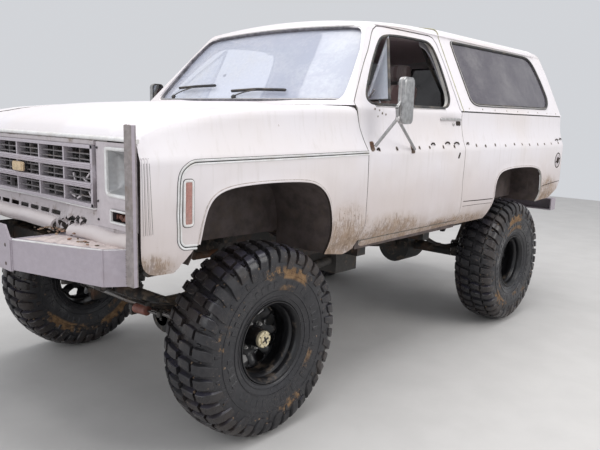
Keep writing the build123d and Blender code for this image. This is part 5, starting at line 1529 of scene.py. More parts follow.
# folded flaps of torn sheet
for x, z, s_, a in ((392, 1080, 24, 0.5), (420, 1068, 18, -0.6), (466, 1112, 16, 0.9), (596, 1122, 15, -0.4), (500, 1092, 18, 0.3), (520, 1076, 16, -0.5), (560, 1106, 15, 0.8)):
    pts = []
    for i in range(5):
        for j in range(5):
            u, w = (i - 2) / 2.0, (j - 2) / 2.0
            pts.append((x + s_ * (u * math.cos(a) - w * math.sin(a)), -774 - 7 * math.sin(2 * u + w) + 6 * w * w, z + s_ * (u * math.sin(a) + w * math.cos(a))))
    back = [(p[0], p[1] + 2.4, p[2]) for p in pts]
    fs = [(i * 5 + j, i * 5 + j + 1, (i + 1) * 5 + j + 1, (i + 1) * 5 + j) for i in range(4) for j in range(4)]
    rim = [(i, i + 1) for i in range(4)] + [(4 + 5 * i, 9 + 5 * i) for i in range(4)] + [(24 - i, 23 - i) for i in range(4)] + [(20 - 5 * i, 15 - 5 * i) for i in range(4)]
    vb.add(pts + back, fs + [tuple(25 + q for q in reversed(f_)) for f_ in fs] + [(b_, a_, a_ + 25, b_ + 25) for a_, b_ in rim], 2)
o = vb.obj("front_apron", ["bright_edge", "paint", "valance"], "body", sharp=50)
# clumps of mud and leaves caught on the bumper under the tear
cl = Build()
for i in range(46):
    x, y, z = 460 + rg.gauss(0, 60), -800 + rg.uniform(-14, 24), 1066 + rg.uniform(-1, 6)
    if i > 30:
        x, y = rg.uniform(300, 900), -845 + rg.uniform(-20, 40)
        z = 1065.0
    bm = bmesh.new()
    bmesh.ops.create_icosphere(bm, subdivisions=1, radius=1.0)
    k0 = len(cl.v)
    sx, sy, sz = rg.uniform(4, 15), rg.uniform(4, 12), rg.uniform(2, 6)
    for v in bm.verts:
        q = v.co * rg.uniform(0.7, 1.15)
        cl.v.append((x + q.x * sx, y + q.y * sy, z + q.z * sz))
    for f_ in bm.faces:
        cl.f.append(tuple(v.index + k0 for v in f_.verts))
        cl.m.append(i % 3)
    bm.free()
o = cl.obj("bumper_mud", ["mud", "mud_dark", "mud_red"], "body", fix=False)

# lips of the strut on the two corner posts and weld beads at their feet
ps = Build()
for side in (1, -1):
    xa, xb = sorted((side * 987.2, side * 1030.8))
    ps.box(xa, xb, -799.5, -796, 921, 1536.5)
    for y0_, y1_ in ((-797.5, -794.5), (-779.0, -775.5)):
        xa, xb = sorted((side * 1029.5, side * 1031.5))
        ps.box(xa, xb, y0_, y1_, 921, 1536.5)
    for z in np.arange(930, 1060, 9.0):
        ps.lathe([(0, -4), (4, -3), (5, 0), (4, 3), (0, 4)], (side * 987, -798 + rg.uniform(-1, 1), float(z)), (0, 0, 1), n=8)
    # shallow cut marks and a ragged sawn top
    for k in range(5):
        xa, xb = sorted((side * (990 + 8 * k), side * (996 + 8 * k)))
        ps.box(xa, xb, -797, -793.5, 1534, 1537 + rg.uniform(0.5, 3))
o = ps.obj("post_rails", ["post_steel"], "body", sharp=35)
bevel(o, 0.8, 2)
# weld seam between the bumper's end plates and its face, both bends
ws = Build()
for sx in (1, -1):
    for z in np.arange(924, 1062, 7.0):
        ws.lathe([(0, -4.5), (3, -3.5), (3.8, 0), (3, 3.5), (0, 4.5)], (sx * 934.5, -870.5, float(z)), (0, 0, 1), n=7)
    for z in np.arange(916, 1046, 8.0):
        ws.lathe([(0, -4.5), (3, -3.5), (4, 0), (3, 3.5), (0, 4.5)], (sx * 446, -1001, float(z)), (0, 0, 1), n=7)
ws.obj("bumper_welds", ["bumper"], "body")

# bright thin lip along the bumper's upper edge, a paler plate over its middle and dried crust on top
bp = Build()
TOPZ = lambda x: float(np.interp(abs(x), [450, 934, 1100], [1050, 1062, 1064]))
def face_y(x):
    return float(np.interp(abs(x), [448, 932, 997], [-1000.5, -868.0, -779.0]))
for sx in (1, -1):
    for xs_ in (np.linspace(452, 930, 26), np.linspace(936, 992, 6)):
        base_ = len(bp.v)
        for x in xs_:
            y, z = face_y(x), TOPZ(x)
            bp.v += [(sx * x, y - 2.0, z - 3.0), (sx * x, y - 2.6, z + 0.6), (sx * x, y + 2.0, z + 2.2), (sx * x, y + 9.0, z + 1.4), (sx * x, y + 9.0, z - 1.0), (sx * x, y + 2.0, z - 4.0)]
        m_ = 6
        for i in range(len(xs_) - 1):
            for k in range(m_):
                l = (k + 1) % m_
                bp.f.append((base_ + i * m_ + k, base_ + i * m_ + l, base_ + (i + 1) * m_ + l, base_ + (i + 1) * m_ + k))
                bp.m.append(0)
        bp.f.append(tuple(base_ + k for k in reversed(range(m_))))
        bp.f.append(tuple(base_ + (len(xs_) - 1) * m_ + k for k in range(m_)))
        bp.m += [0, 0]
o = bp.obj("bumper_top_lip", ["bright_edge"], "body", sharp=35)
bc = Build()
plate_poly = rounded([(-440, 916), (440, 916), (440, 1044), (-440, 1044)], 6, 3)
bc.prism([tuple(map(float, q)) for q in plate_poly], (0, -1003.6, 0), (1, 0, 0), (0, 0, 1), (0, 3.0, 0), 0)
for x in (-400, 400):
    for z in (940, 1020):
        bc.lathe([(0, 0), (11, 0), (11, 4), (8, 7), (0, 7)], (x, -1003, z), (0, -1, 0), n=6, mat=1)
o = bc.obj("bumper_centre_plate", ["plate", "iron"], "body", sharp=35)
bevel(o, 1.0, 2)
# flat cakes of dried mud on the wing plates of the bumper
for sx, tag in ((1, "left"), (-1, "right")):
    cr = random.Random(13 + sx)
    edge_ = [(462, -985), (930, -858), (984, -785), (984, -760), (700, -770), (470, -800)]
    poly_ = [(x + cr.uniform(-8, 8), y + cr.uniform(-8, 8)) for x, y in resample(inset(np.array(edge_, float), 14.0), 24)]
    pp, ff = region(np.array(poly_), [], 16, 12)
    dd = seg_dist(pp, np.array(poly_), closed=True)
    hh = 1.0 + 5.0 * sm(dd / 40.0) + 1.6 * wave(pp, 18.0, 61) * sm(dd / 30.0) + 1.2 * wave(pp, 9.0, 62) * sm(dd / 20.0)
    zt_ = np.array([TOPZ(x) for x in pp[:, 0]])
    top_ = np.stack([sx * pp[:, 0], pp[:, 1], zt_ + np.maximum(hh, 0.6)], 1)
    bot_ = np.stack([sx * pp[:, 0], pp[:, 1], zt_ - 2.0], 1)
    ff = orient(top_, ff, (0, 0, 1))
    ed_ = np.concatenate([ff[:, [0, 1]], ff[:, [1, 2]], ff[:, [2, 0]]])
    sn_ = {(int(i), int(j)) for i, j in ed_}
    bk = Build()
    kk = len(pp)
    bk.add(np.concatenate([top_, bot_]).tolist(), [tuple(t) for t in ff] + [tuple(t[::-1] + kk) for t in ff] + [(j, i, i + kk, j + kk) for i, j in sn_ if (j, i) not in sn_], 0)
    o = bk.obj("bumper_crust_" + tag, ["crust"], "body", sharp=50)
# ------------------------------------------------------------------ trim that lies on the body's sides


def skin_x(y, z, side):
    # outward x of the painted skin
    y, z = np.broadcast_arrays(np.atleast_1d(np.asarray(y, float)), np.atleast_1d(np.asarray(z, float)))
    p = np.stack([y, z], 1)
    x = side_x(z) + side_offset(y, z, 3 if side > 0 else 11)
    k = (y > 733) & (y < 1854.5)
    if k.any():
        x = np.where(k, door_out(p, side)[:, 0], x)
    k = (y >= 1854.5) & (z < 1647)
    if k.any():
        x = np.where(k, quarter_out(p, side)[:, 0], x)
    k = (z > 1647) & (y >= 1854.5)
    return np.where(k, side_x(z), x)


def side_frame(path, side):
    # points, outward normals for a (y, z) path on the left side
    q = np.asarray(path, float)
    x = skin_x(q[:, 0], q[:, 1], side)
    z = q[:, 1]
    s = (side_x(z + 3) - side_x(z - 3)) / 6.0
    n = np.stack([np.ones(len(q)), 0 * z, -s], 1)
    n /= np.linalg.norm(n, axis=1)[:, None]
    return np.stack([x, q[:, 0], z], 1), n


def sweep(b, pts, nrm, prof, closed=False, mat=0, flip=1):
    # sweeps a closed (across, out) profile along a 3-D path with given outward normals
    pts, nrm = np.asarray(pts, float), np.asarray(nrm, float)
    c = len(pts)
    if closed:
        t = np.roll(pts, -1, 0) - np.roll(pts, 1, 0)
    else:
        t = np.gradient(pts, axis=0)
    t /= np.maximum(np.linalg.norm(t, axis=1), 1e-9)[:, None]
    s = np.cross(nrm, t)
    s /= np.maximum(np.linalg.norm(s, axis=1), 1e-9)[:, None]
    base, m = len(b.v), len(prof)
    for i in range(c):
        for w, h in prof:
            v = pts[i] + s[i] * w + nrm[i] * h
            b.v.append((flip * v[0], v[1], v[2]))
    for i in range(c if closed else c - 1):
        j = (i + 1) % c
        for k in range(m):
            l = (k + 1) % m
            b.f.append((base + i * m + k, base + i * m + l, base + j * m + l, base + j * m + k))
            b.m.append(mat)
    if not closed:
        b.f.append(tuple(base + k for k in range(m)))
        b.f.append(tuple(base + (c - 1) * m + k for k in reversed(range(m))))
        b.m += [mat, mat]


def open_round(pts, r, step=14.0, n=6):
    # an open polyline with its corners rounded, resampled
    pts = [np.asarray(p, float) for p in pts]
    out = [pts[0]]
    for a, p, c in zip(pts[:-2], pts[1:-1], pts[2:]):
        u, w = a - p, c - p
        lu, lw = np.linalg.norm(u), np.linalg.norm(w)
        t = min(r, 0.48 * lu, 0.48 * lw)
        p0, p2 = p + u / lu * t, p + w / lw * t
        out += [(1 - k / n) ** 2 * p0 + 2 * (k / n) * (1 - k / n) * p + (k / n) ** 2 * p2 for k in range(n + 1)]
    out.append(pts[-1])
    res = []
    for a, c in zip(out[:-1], out[1:]):
        k = max(1, int(math.ceil(np.linalg.norm(c - a) / step)))
        res += [a + (c - a) * i / k for i in range(k)]
    res.append(out[-1])
    return np.array(res)


def on_side(b, path, prof, side, closed=False, mat=0, lift=0.0):
    p, n = side_frame(path, side)
    sweep(b, p + n * lift, n, prof, closed, mat, side)


def side_plate(b, outline, h, side, mat=0, depth=3.0, step=14.0, bstep=7.0, crown=0.0):
    # a small plate that follows the skin, h out of it
    p, f = region(outline, [], step, bstep)
    o, n = side_frame(p, side)
    up = h + crown * sm(seg_dist(p, outline, closed=True) / 10.0)
    up = up if isinstance(up, np.ndarray) else np.full(len(p), up)
    a, c = o + n * up[:, None], o + n * (h - depth)
    f = orient(a, f, (1, 0, 0))
    e = np.concatenate([f[:, [0, 1]], f[:, [1, 2]], f[:, [2, 0]]])
    seen = {(int(i), int(j)) for i, j in e}
    k = len(p)
    v = np.concatenate([a, c]) * np.array([side, 1.0, 1.0])
    b.add(v.tolist(), [tuple(t) for t in f] + [tuple(t[::-1] + k) for t in f] + [(j, i, i + k, j + k) for i, j in seen if (j, i) not in seen], mat)


rt = random.Random(11)
MOULD = [(726, 1398), (300, 1394), (-500, 1389), (-551, 1352), (-560, 1300), (-560, 1062), (-541, 1040), (-476, 1036)]
EDGE_A = [(-11, -1.5), (-11, 2.2), (-9.4, 4.2), (-5.4, 4.2), (-2.6, 2.6), (-2.2, -1.5)]
EDGE_B = [(-w, h) for w, h in reversed(EDGE_A)]
CLIPS = [(765, 1414), (829, 1413), (1010, 1414), (1260, 1416)] + [(1385 + 158.0 * i + rt.uniform(-14, 14), 1415 + rt.uniform(-4, 5)) for i in range(15)]
for side, tag in ((1, "left"), (-1, "right")):
    sk = "body"
    # what is left of the side moulding runs along the wing and round the marker lamp
    b = Build()
    path = open_round(MOULD, 30)
    on_side(b, path, EDGE_A, side, mat=0)
    on_side(b, path, EDGE_B, side, mat=0)
    on_side(b, path, [(-3.8, -1.5), (-3.8, 1.3), (3.0, 1.3), (3.0, -1.5)], side, mat=1)
    for w_ in (-13.2,):
        on_side(b, path, [(w_, -1.5), (w_, 1.0), (w_ + 1.8, 1.0), (w_ + 1.8, -1.5)], side, mat=1)
    # marker lamp: bright bezel, ribbed lens
    lens = rounded([(-534, 1133), (-498, 1133), (-498, 1311), (-534, 1311)], 7, 3)
    on_side(b, resample(lens, 9), [(-9, -3), (-9, 3.5), (-6, 6.5), (-1.5, 6.5), (2.5, 3.0), (2.5, -3)], side, closed=True, mat=0)
    on_side(b, resample(lens, 9), [(-12.5, -2), (-12.5, 0.8), (-9.5, 0.8), (-9.5, -2)], side, closed=True, mat=1)
    side_plate(b, lens, 3.4, side, mat=2, depth=7.0, step=9, bstep=8, crown=1.2)
    for k in range(15):
        z = 1143.0 + 11.2 * k
        on_side(b, [(-531, z), (-516, z), (-501, z)], [(-1.6, 3.5), (-0.8, 5.6), (0.8, 5.6), (1.6, 3.5)], side, mat=2)
    o = b.obj("side_moulding_" + tag, ["bright_edge", "black", "marker"], "body", sharp=35)

    # holes of the lost moulding clips, with raised torn rims
    for body, lo, hi in ((tag + "_door", 740, 1848), ("body", 1860, 3700)):
        b = Build()
        for y, z in CLIPS:
            if not lo + 12 < y < hi - 12:
                continue
            w, h, a = rt.uniform(8.5, 12.0), rt.uniform(11.5, 15.5), rt.uniform(-0.35, 0.35)
            loop = []
            for k in range(10):
                t = 2 * math.pi * k / 10
                u, v = w * math.cos(t), h * (math.sin(t) + (0.45 if math.sin(t) < -0.6 else 0))
                loop.append((y + u * math.cos(a) - v * math.sin(a), z + u * math.sin(a) + v * math.cos(a)))
            loop = np.array(loop)
            side_plate(b, loop, 0.7, side, mat=0, depth=2.4, step=20, bstep=30)
            on_side(b, loop, [(-1.8, -1), (-1.5, 1.5), (0.2, 2.2), (1.4, 0.9), (1.6, -1)], side, closed=True, mat=1)
        # curls of torn trim
        for y, z, s_ in ((818, 1416, 13), (1432, 1437, 24), (1620, 1441, 30), (1740, 1438, 34), (1895, 1434, 16), (3570, 1446, 34), (3660, 1452, 26)):
            if lo < y < hi:
                pts = [(y - s_, z - 4), (y - 0.4 * s_, z + 5), (y + 0.3 * s_, z + 3), (y + s_, z - 6)]
                p, n = side_frame(pts, side)
                p = p + n * np.array([[1.0], [6.0], [8.0], [2.0]])
                sweep(b, p, n, [(-4.5, -1), (-4.5, 1.5), (4.5, 2.2), (4.5, -0.4)], False, 0, side)
        o = b.obj("clip_holes_" + ("door_" if body != "body" else "quarter_") + tag, ["hole", "clip_rim", "rust"], body, sharp=40)

    # door furniture
    b = Build()
    bar = [(1566, 1594), (1580, 1597), (1660, 1598), (1790, 1597), (1838, 1594)]
    p, n = side_frame(bar, side)
    x0 = float(side_x(1590.0))
    p[:, 0] = [x0 - 4, x0 + 5, x0 + 7, x0 + 6, x0 - 3]
    n[:] = (1, 0, 0)
    sweep(b, p, n, [(-8, -3), (-8, 3), (-5, 5.5), (5, 5.5), (8, 3), (8, -3)], False, 0, side)
    for y in (1574, 1830):
        b.lathe([(0, -8), (9, -8), (10, 0), (8, 5), (0, 6)], (side * (x0 - 1), y, 1594), (side, 0, 0), n=16, mat=0)
    side_plate(b, rounded([(1772, 1556), (1826, 1556), (1826, 1584), (1772, 1584)], 9, 3), 4.0, side, mat=1, depth=6.0)
    side_plate(b, rounded([(1748, 1340), (1766, 1336), (1784, 1372), (1768, 1380)], 6, 3), 1.2, side, mat=1, depth=3.0)
    xl = float(skin_x(1735, 1562, side)[0])
    b.lathe([(0, -4), (12, -4), (12, 2), (9.5, 4), (7.5, 4), (7, 2.6), (0, 2.6)], (side * xl, 1735, 1562), (side, 0, 0), n=24, mat=0)
    b.box(*sorted((side * (xl + 2.4), side * (xl + 3.2))), 1734, 1736, 1557, 1567, 1)
    # bolt holes of an earlier mirror
    for y, z, r in ((826, 1640, 5), (872, 1634, 4), (900, 1618, 6), (936, 1612, 5), (858, 1600, 4)):
        x = float(skin_x(y, z, side)[0])
        b.lathe([(0, -3), (r + 2.2, -3), (r + 2.0, 0.8), (r, 1.1), (r - 0.6, 0.4)], (side * x, y, z), (side, 0, 0), n=14, mat=3)
        b.lathe([(0, -2), (r, -2), (r - 0.2, 0.5), (0, 0.5)], (side * x, y, z), (side, 0, 0), n=14, mat=1)
    # feet of the mirror's arms
    for y, z in ((770, 1436), (1180, 1412)):
        x = float(skin_x(y, z, side)[0])
        side_plate(b, rounded([(y - 19, z - 26), (y + 19, z - 26), (y + 16, z + 24), (y - 16, z + 24)], 9, 3), 3.2, side, mat=2, depth=5.0)
        for dz in (-16, 14):
            b.lathe([(0, 0), (6, 0), (6, 4), (4.5, 6), (0, 6.4)], (side * (x + 3), y, z + dz), (side, 0, 0), n=6, mat=2)
    o = b.obj("door_furniture_" + tag, ["dull_bright", "hole", "rust", "clip_rim"], tag + "_door", sharp=35)

    # window rubbers, wiper strip and belt trim
    b = Build()
    RUB = [(-10, -7), (-10, 1.5), (-6, 3.8), (2, 3.6), (5, 1.0), (5, -7)]
    on_side(b, resample(closed_round(WINDOW), 14), RUB, side, closed=True, mat=0)
    on_side(b, open_round([(846, 1664), (1200, 1664), (1640, 1664)], 5, 40), [(-6, -5), (-6, 3), (-3, 6), (4, 6), (6, 2), (6, -5)], side, mat=0)
    on_side(b, open_round([(846, 1654), (1200, 1654), (1640, 1656)], 5, 40), [(-3, -2), (-3, 3.4), (3, 3.4), (3, -2)], side, mat=2)
    # steel channel and rubber round the opened vent pane, its latch and pivot post
    f_, r_, a_ = Vector((1034, 867, 1690)), Vector((757, 1025, 1690)), Vector((745, 1243, 2093))
    nrm = (f_ - r_).cross(a_ - r_).normalized()
    if nrm.x < 0:
        nrm = -nrm
    for p0, p1, w, mt in ((r_, a_, 11, 1), (f_, a_, 6, 0), (f_, r_, 6, 0)):
        t_ = (p1 - p0).normalized()
        q0, q1 = p0 + t_ * 8, p1 - t_ * (22 if mt == 1 or p1 is a_ else 8)
        mid_ = (f_ + r_ + a_) / 3
        inw = (mid_ - (q0 + q1) / 2)
        inw = (inw - t_ * inw.dot(t_)).normalized()
        pts = np.array([tuple(q0.lerp(q1, k / 10)) for k in range(11)]) + np.array(tuple(inw)) * w * 0.45
        nn = np.tile(np.array(tuple(nrm)), (11, 1))
        sweep(b, pts, nn, [(-w / 2, -8), (-w / 2, 8), (-w / 2 + 2, 9.5), (w / 2 - 2, 9.5), (w / 2, 8), (w / 2, -8)], False, mt, side)
    lat = r_ + Vector((26, -8, 22))
    for p0, p1, r0, r1 in ((lat, lat + Vector((30, -24, 14)), 7, 5), (lat + Vector((30, -24, 14)), lat + Vector((62, -34, 44)), 6, 4.5)):
        b.tube([(side * p0.x, p0.y, p0.z), (side * p1.x, p1.y, p1.z)], [r0, r1], 12, 2)
    b.lathe([(0, 0), (13, 0), (13, 4), (8, 10), (0, 10)], (side * 920, 934, 1668), (0, 0, 1), n=16, mat=2)
    o = b.obj("door_rubbers_" + tag, ["black", "pale_grey", "dull_bright"], tag + "_door", sharp=40)

    # rubber of the long side window with a bright bead in it
    b = Build()
    QW = [(2057, 1862), (2060, 1752), (2070, 1730), (2092, 1717), (2160, 1706), (3106, 1716), (3388, 1716), (3440, 1722), (3480, 1740), (3512, 1768), (3534, 1800), (3540, 1830), (3533, 1928), (3509, 2025), (3494, 2066), (3474, 2098), (3444, 2124), (3400, 2140), (3300, 2148), (2110, 2142), (2066, 2138), (2054, 2118)]
    loop = resample(closed_round(QW, 1), 18)
    on_side(b, loop, [(-17, -8), (-17, 2.5), (-12, 6.5), (-5, 7), (3, 5), (6, 1), (6, -8)], side, closed=True, mat=0)
    on_side(b, loop, [(-13, 4), (-13, 7.8), (-10, 8.4), (-8, 7.8), (-8, 4)], side, closed=True, mat=1)
    # drip rail over door and hardtop
    for y0, y1 in ((1128, 1889), (1899, 3560)):
        q = np.array([(y, 2172.0) for y in np.linspace(y0, y1, 24)])
        p = np.stack([np.interp(q[:, 1], SEC[::-1, 1], SEC[::-1, 0]), q[:, 0], q[:, 1]], 1)
        nn = np.tile(np.array([0.86, 0.0, 0.51]), (len(p), 1))
        p[:, 2] -= 16.0 * sm((1500 - q[:, 0]) / 420.0) if y0 < 1500 else 0.0
        sweep(b, p, nn, [(-7, -3), (-7, 4), (-5, 6.5), (-3, 6.5), (-3, 2.4), (3, 1.6), (7, 0), (7, -3)], False, 2, side)
    # belt seam under the hardtop
    on_side(b, open_round([(1900, 1651), (2600, 1651), (3690, 1651)], 5, 60), [(-5, -4), (-5, 2.5), (-3, 4), (3, 4), (5, 2.5), (5, -4)], side, mat=0, lift=0)
    # screws of the hardtop along the seam
    for y in np.arange(1990, 3650, 205.0):
        x = float(side_x(1672.0))
        b.lathe([(0, -2), (8, -2), (8, 1.5), (5, 3.5), (0, 4)], (side * (x - 0.5), float(y), 1672), (side * 0.9, 0, 0.43), n=12, mat=3)
    o = b.obj("window_rubber_" + tag, ["black", "dull_bright", "paint", "clip_rim"], "body", sharp=40)

    # dark ring and plug of the filler hole on the left, a small marker lamp on the right; seams of patched sheet
    b = Build()
    if side > 0:
        ring_ = np.array([(3607 + 52 * math.cos(2 * math.pi * k / 28), 1267 + 60 * math.sin(2 * math.pi * k / 28)) for k in range(28)])
        on_side(b, ring_, [(-9, -3), (-9, 1.0), (-5, 2.4), (0, 2.0), (3, -3)], side, closed=True, mat=4)
        side_plate(b, (ring_ - np.array([3607, 1267])) * 0.86 + np.array([3607, 1267]), 0.6, side, mat=2, depth=3.0, step=16, bstep=12)
        side_plate(b, (ring_ - np.array([3607, 1267])) * 0.46 + np.array([3607, 1267]), 3.4, side, mat=4, depth=5.0, step=12, bstep=10, crown=4.0)
        on_side(b, [(3566, 1250), (3607, 1267), (3648, 1284)], [(-5, -1), (-5, 3.4), (5, 3.4), (5, -1)], side, mat=4)
    else:
        mk = rounded([(3548, 1208), (3582, 1208), (3582, 1316), (3548, 1316)], 16, 5)
        on_side(b, resample(mk, 7), [(-4, -3), (-4, 3), (0, 4.5), (2.5, 2), (2.5, -3)], side, closed=True, mat=0)
        side_plate(b, mk, 2.5, side, mat=1, depth=5, step=9, bstep=7, crown=1.5)
    for line_, w_ in (([(1885, 1034), (2100, 1026), (2335, 1019)], 3.0), ([(1880, 1000), (2100, 996), (2325, 988)], 1.6), ([(3285, 1052), (3460, 1066), (3725, 1080)], 3.2)):
        on_side(b, open_round(line_, 5, 40), [(-w_, -2), (-w_, 0.9), (w_, 0.9), (w_, -2)], side, mat=4)
    yl = REAR_END
    for x0, x1, z0, z1, mt in ((856, 962, 1137, 1396, 2), (868, 950, 1150, 1216, 3), (868, 950, 1226, 1384, 1)):
        poly = rounded([(x0, z0), (x1, z0), (x1, z1), (x0, z1)], 9, 3)
        d = {2: 7, 3: 15, 1: 15}[mt]
        b.prism([(side * float(u), float(v)) for u, v in poly], (0, yl - 8, 0), (1, 0, 0), (0, 0, 1), (0, d, 0), mt)
    for k in range(7):
        z = 1244.0 + 21 * k
        b.box(*sorted((side * 872, side * 946)), yl + 6.4, yl + 8.6, z - 2, z + 2, 1)
    o = b.obj("rear_lamps_" + tag, ["dull_bright", "red", "bezel", "clear_lens", "hole"], "body", sharp=35)
    bevel(o, 1.2, 2)

# ------------------------------------------------------------------ windscreen surround, wipers, cowl louvres
def screen_y(x, z):
    ym = 572.0 + (z - 1650.0) * 550.0 / 600.0
    ye = 686.0 + (z - 1650.0) * 504.0 / 600.0
    return ym + (ye - ym) * (x / 960.0) ** 2


def screen_pts(loop):
    # points on the outer face of the screen frame and their forward normals
    q = np.asarray(loop, float)
    x, z = q[:, 0], q[:, 1]
    y = screen_y(x, z) - 10.0
    dx = (screen_y(x + 3, z) - screen_y(x - 3, z)) / 6.0
    dz = (screen_y(x, z + 3) - screen_y(x, z - 3)) / 6.0
    n = np.stack([dx, -np.ones(len(q)), dz], 1)
    n /= np.linalg.norm(n, axis=1)[:, None]
    return np.stack([x, y, z], 1), n


b = Build()
WS_HALF = [(820, 1682), (844, 1690), (855, 1712), (852, 1745), (838, 1799), (822, 1858), (803, 1918), (784, 1980), (750, 2043), (724, 2088), (702, 2112), (672, 2126), (600, 2134), (300, 2145), (0, 2149)]
WS = resample(closed_round(WS_HALF + [(-x, z) for x, z in reversed(WS_HALF[:-1])], 1), 20)
p, n = screen_pts(WS)
sweep(b, p, n, [(-13, -5), (-13, 6), (-9, 9), (3, 9), (9, 4), (10, -16), (4, -16), (-2, -5)], True, 0)
sweep(b, p, n, [(-4, 8), (-4, 11.0), (-1.5, 11.8), (1.5, 11.0), (1.5, 8)], True, 1)
b.obj("screen_rubber", ["rubber_grey", "dull_bright"], "body", sharp=40)
# wipers: arms, blades and pivots
b = Build()
for blade, arm in ((((-661, 1761), (-450, 1768), (-225, 1771)), ((-655, 1698), (-590, 1730), (-450, 1760))), (((-18, 1731), (200, 1741), (433, 1735)), ((40, 1692), (110, 1718), (205, 1733)))):
    q = open_round(arm, 40, 24)
    p, n = screen_pts(q)
    sweep(b, p + n * 17, n, [(-3.5, -2.5), (-3.5, 2), (3.5, 2), (3.5, -2.5)], False, 0)
    p, n = screen_pts(open_round(blade, 40, 30))
    sweep(b, p + n * 9, n, [(-7.5, -5), (-4, 9), (4, 9), (7.5, -5)], False, 1)
    p, n = screen_pts([arm[0]])
    b.lathe([(0, -2), (15, -2), (17, 6), (12, 16), (0, 18)], tuple(p[0] + n[0] * 4), tuple(n[0]), n=20, mat=0)
# inside mirror's pad seen through the glass
p, n = screen_pts([(-255, 1862), (0, 2060)])
b.lathe([(0, -22), (12, -22), (15, -19), (12, -16), (0, -16)], tuple(p[0]), tuple(n[0]), n=16, mat=1)
o = b.obj("wipers", ["plastic", "black"], "body", sharp=35)
# louvres of the air intake between hood and screen
b = Build()
for i in range(34):
    x = -690 + 40.6 * i + 12
    z = 1656.0
    b.box(x - 14, x + 14, 592, 634, z - 1.5, z + 2.0, 0)
    b.box(x - 12, x + 12, 594, 632, z + 1.2, z + 2.8, 1, Matrix.Rotation(0.05, 3, "X"))
# washer nozzles
for x in (-320, 310):
    b.lathe([(0, 0), (12, 0), (11, 8), (7, 14), (0, 15)], (x, 612, 1656), (0, 0, 1), n=14, mat=1)
o = b.obj("cowl_louvres", ["jamb", "hole"], "body", sharp=35)

# seam between cab top and hardtop: weathered sealant
b = Build()
q = [(float(x), float(z)) for x, z in SEC if z > 1654]
q = [(-x, z) for x, z in reversed(q)][:-1] + q
pts = np.array([(x, 1895.0, z) for x, z in q])
tt = np.gradient(pts, axis=0)
nn = np.stack([tt[:, 2] * -1, 0 * tt[:, 0], tt[:, 0]], 1)
nn /= np.linalg.norm(nn, axis=1)[:, None]
mid = nn[len(nn) // 2]
nn *= 1 if mid[2] > 0 else -1
sweep(b, pts, nn, [(-5, -4), (-5, 1.2), (-2, 2.6), (2, 2.6), (5, 1.2), (5, -4)], False, 0)
b.obj("roof_seam", ["sealant"], "body", sharp=40)

# ------------------------------------------------------------------ mirrors
for side, tag in ((1, "left"), (-1, "right")):
    b = Build()
    head = rounded([(805, 1564), (904, 1564), (904, 1810), (805, 1810)], 28, 6)
    c = np.array([854.5, 1687.0])
    # domed shell outside, bead round the edge, glass inside
    layers = [(1.0, 1150), (1.0, 1158), (0.985, 1163.5), (0.93, 1167), (0.80, 1169), (0.5, 1170.5)]
    base = len(b.v)
    m = len(head)
    for s_, x in layers:
        for u, v in head:
            b.v.append((side * x, c[0] + (u - c[0]) * s_, c[1] + (v - c[1]) * s_))
    b.v.append((side * 1171.0, c[0], c[1]))
    for i in range(len(layers) - 1):
        for k in range(m):
            l = (k + 1) % m
            b.f.append((base + i * m + k, base + i * m + l, base + (i + 1) * m + l, base + (i + 1) * m + k))
            b.m.append(0)
    top = base + (len(layers) - 1) * m
    for k in range(m):
        b.f.append((top + k, top + (k + 1) % m, base + len(layers) * m))
        b.m.append(0)
    b.f.append(tuple(base + k for k in reversed(range(m))))
    b.m.append(0)
    for prof, mt in (([(-3.5, -4), (-3.5, 4), (2.5, 5), (4.0, 0), (2.5, -5)], 1),):
        pts = np.array([(1148.0, float(u), float(v)) for u, v in resample(head, 14)])
        sweep(b, pts, np.tile(np.array([1.0, 0, 0]), (len(pts), 1)), prof, True, mt, side)
    gl = [(float(c[0] + (u - c[0]) * 0.93), float(c[1] + (v - c[1]) * 0.96)) for u, v in head]
    b.prism(gl, (side * 1128.6, 0, 0), (0, 1, 0), (0, 0, 1), (side * 2.0, 0, 0), 2)
    pts = np.array([(1130.0, u, v) for u, v in gl])
    sweep(b, pts, np.tile(np.array([-1.0, 0, 0]), (len(pts), 1)), [(-3, -2), (-3, 2.6), (3, 2.6), (3, -2)], True, 3, side)
    # swivel nut where the arms meet, clamp on the head
    b.lathe([(0, -13), (11, -13), (13, -9), (13, 9), (11, 13), (0, 13)], (side * 1138, 796, 1590), (0, 0.3, 1), n=16, mat=1)
    b.lathe([(0, -9), (8, -9), (9, 0), (8, 9), (0, 9)], (side * 1140, 782, 1650), (0, 0.2, 1), n=12, mat=3)
    o = b.obj("mirror_details_" + tag, ["mirror_back", "dull_bright", "mirror_glass", "black"], tag + "_door", sharp=35)

# ------------------------------------------------------------------ rear: window surround, handle, hinges, blank plate
b = Build()
RW = resample(rounded([(-780, 1655), (780, 1655), (780, 1700), (628, 2118), (-628, 2118), (-780, 1700)], [14, 14, 20, 40, 40, 20], 5), 24)
pts = np.array([(x, 3741.0, z) for x, z in RW])
sweep(b, pts, np.tile(np.array([0.0, 1.0, 0.0]), (len(pts), 1)), [(-14, -30), (-14, 3), (-9, 6), (2, 6), (8, 2), (8, -30)], True, 0)
b.obj("rear_window_rubber", ["black"], "body", sharp=40)
b = Build()
b.prism([tuple(map(float, q)) for q in rounded([(-95, 1548), (95, 1548), (95, 1612), (-95, 1612)], 12, 4)], (0, 3736, 0), (1, 0, 0), (0, 0, 1), (0, 7.0, 0), 0)
b.prism([tuple(map(float, q)) for q in rounded([(-62, 1562), (62, 1562), (62, 1596), (-62, 1596)], 8, 4)], (0, 3741, 0), (1, 0, 0), (0, 0, 1), (0, 10.0, 0), 1)
b.lathe([(0, 0), (11, 0), (11, 6), (8, 9), (0, 9)], (78, 3741, 1580), (0, 1, 0), n=18, mat=0)
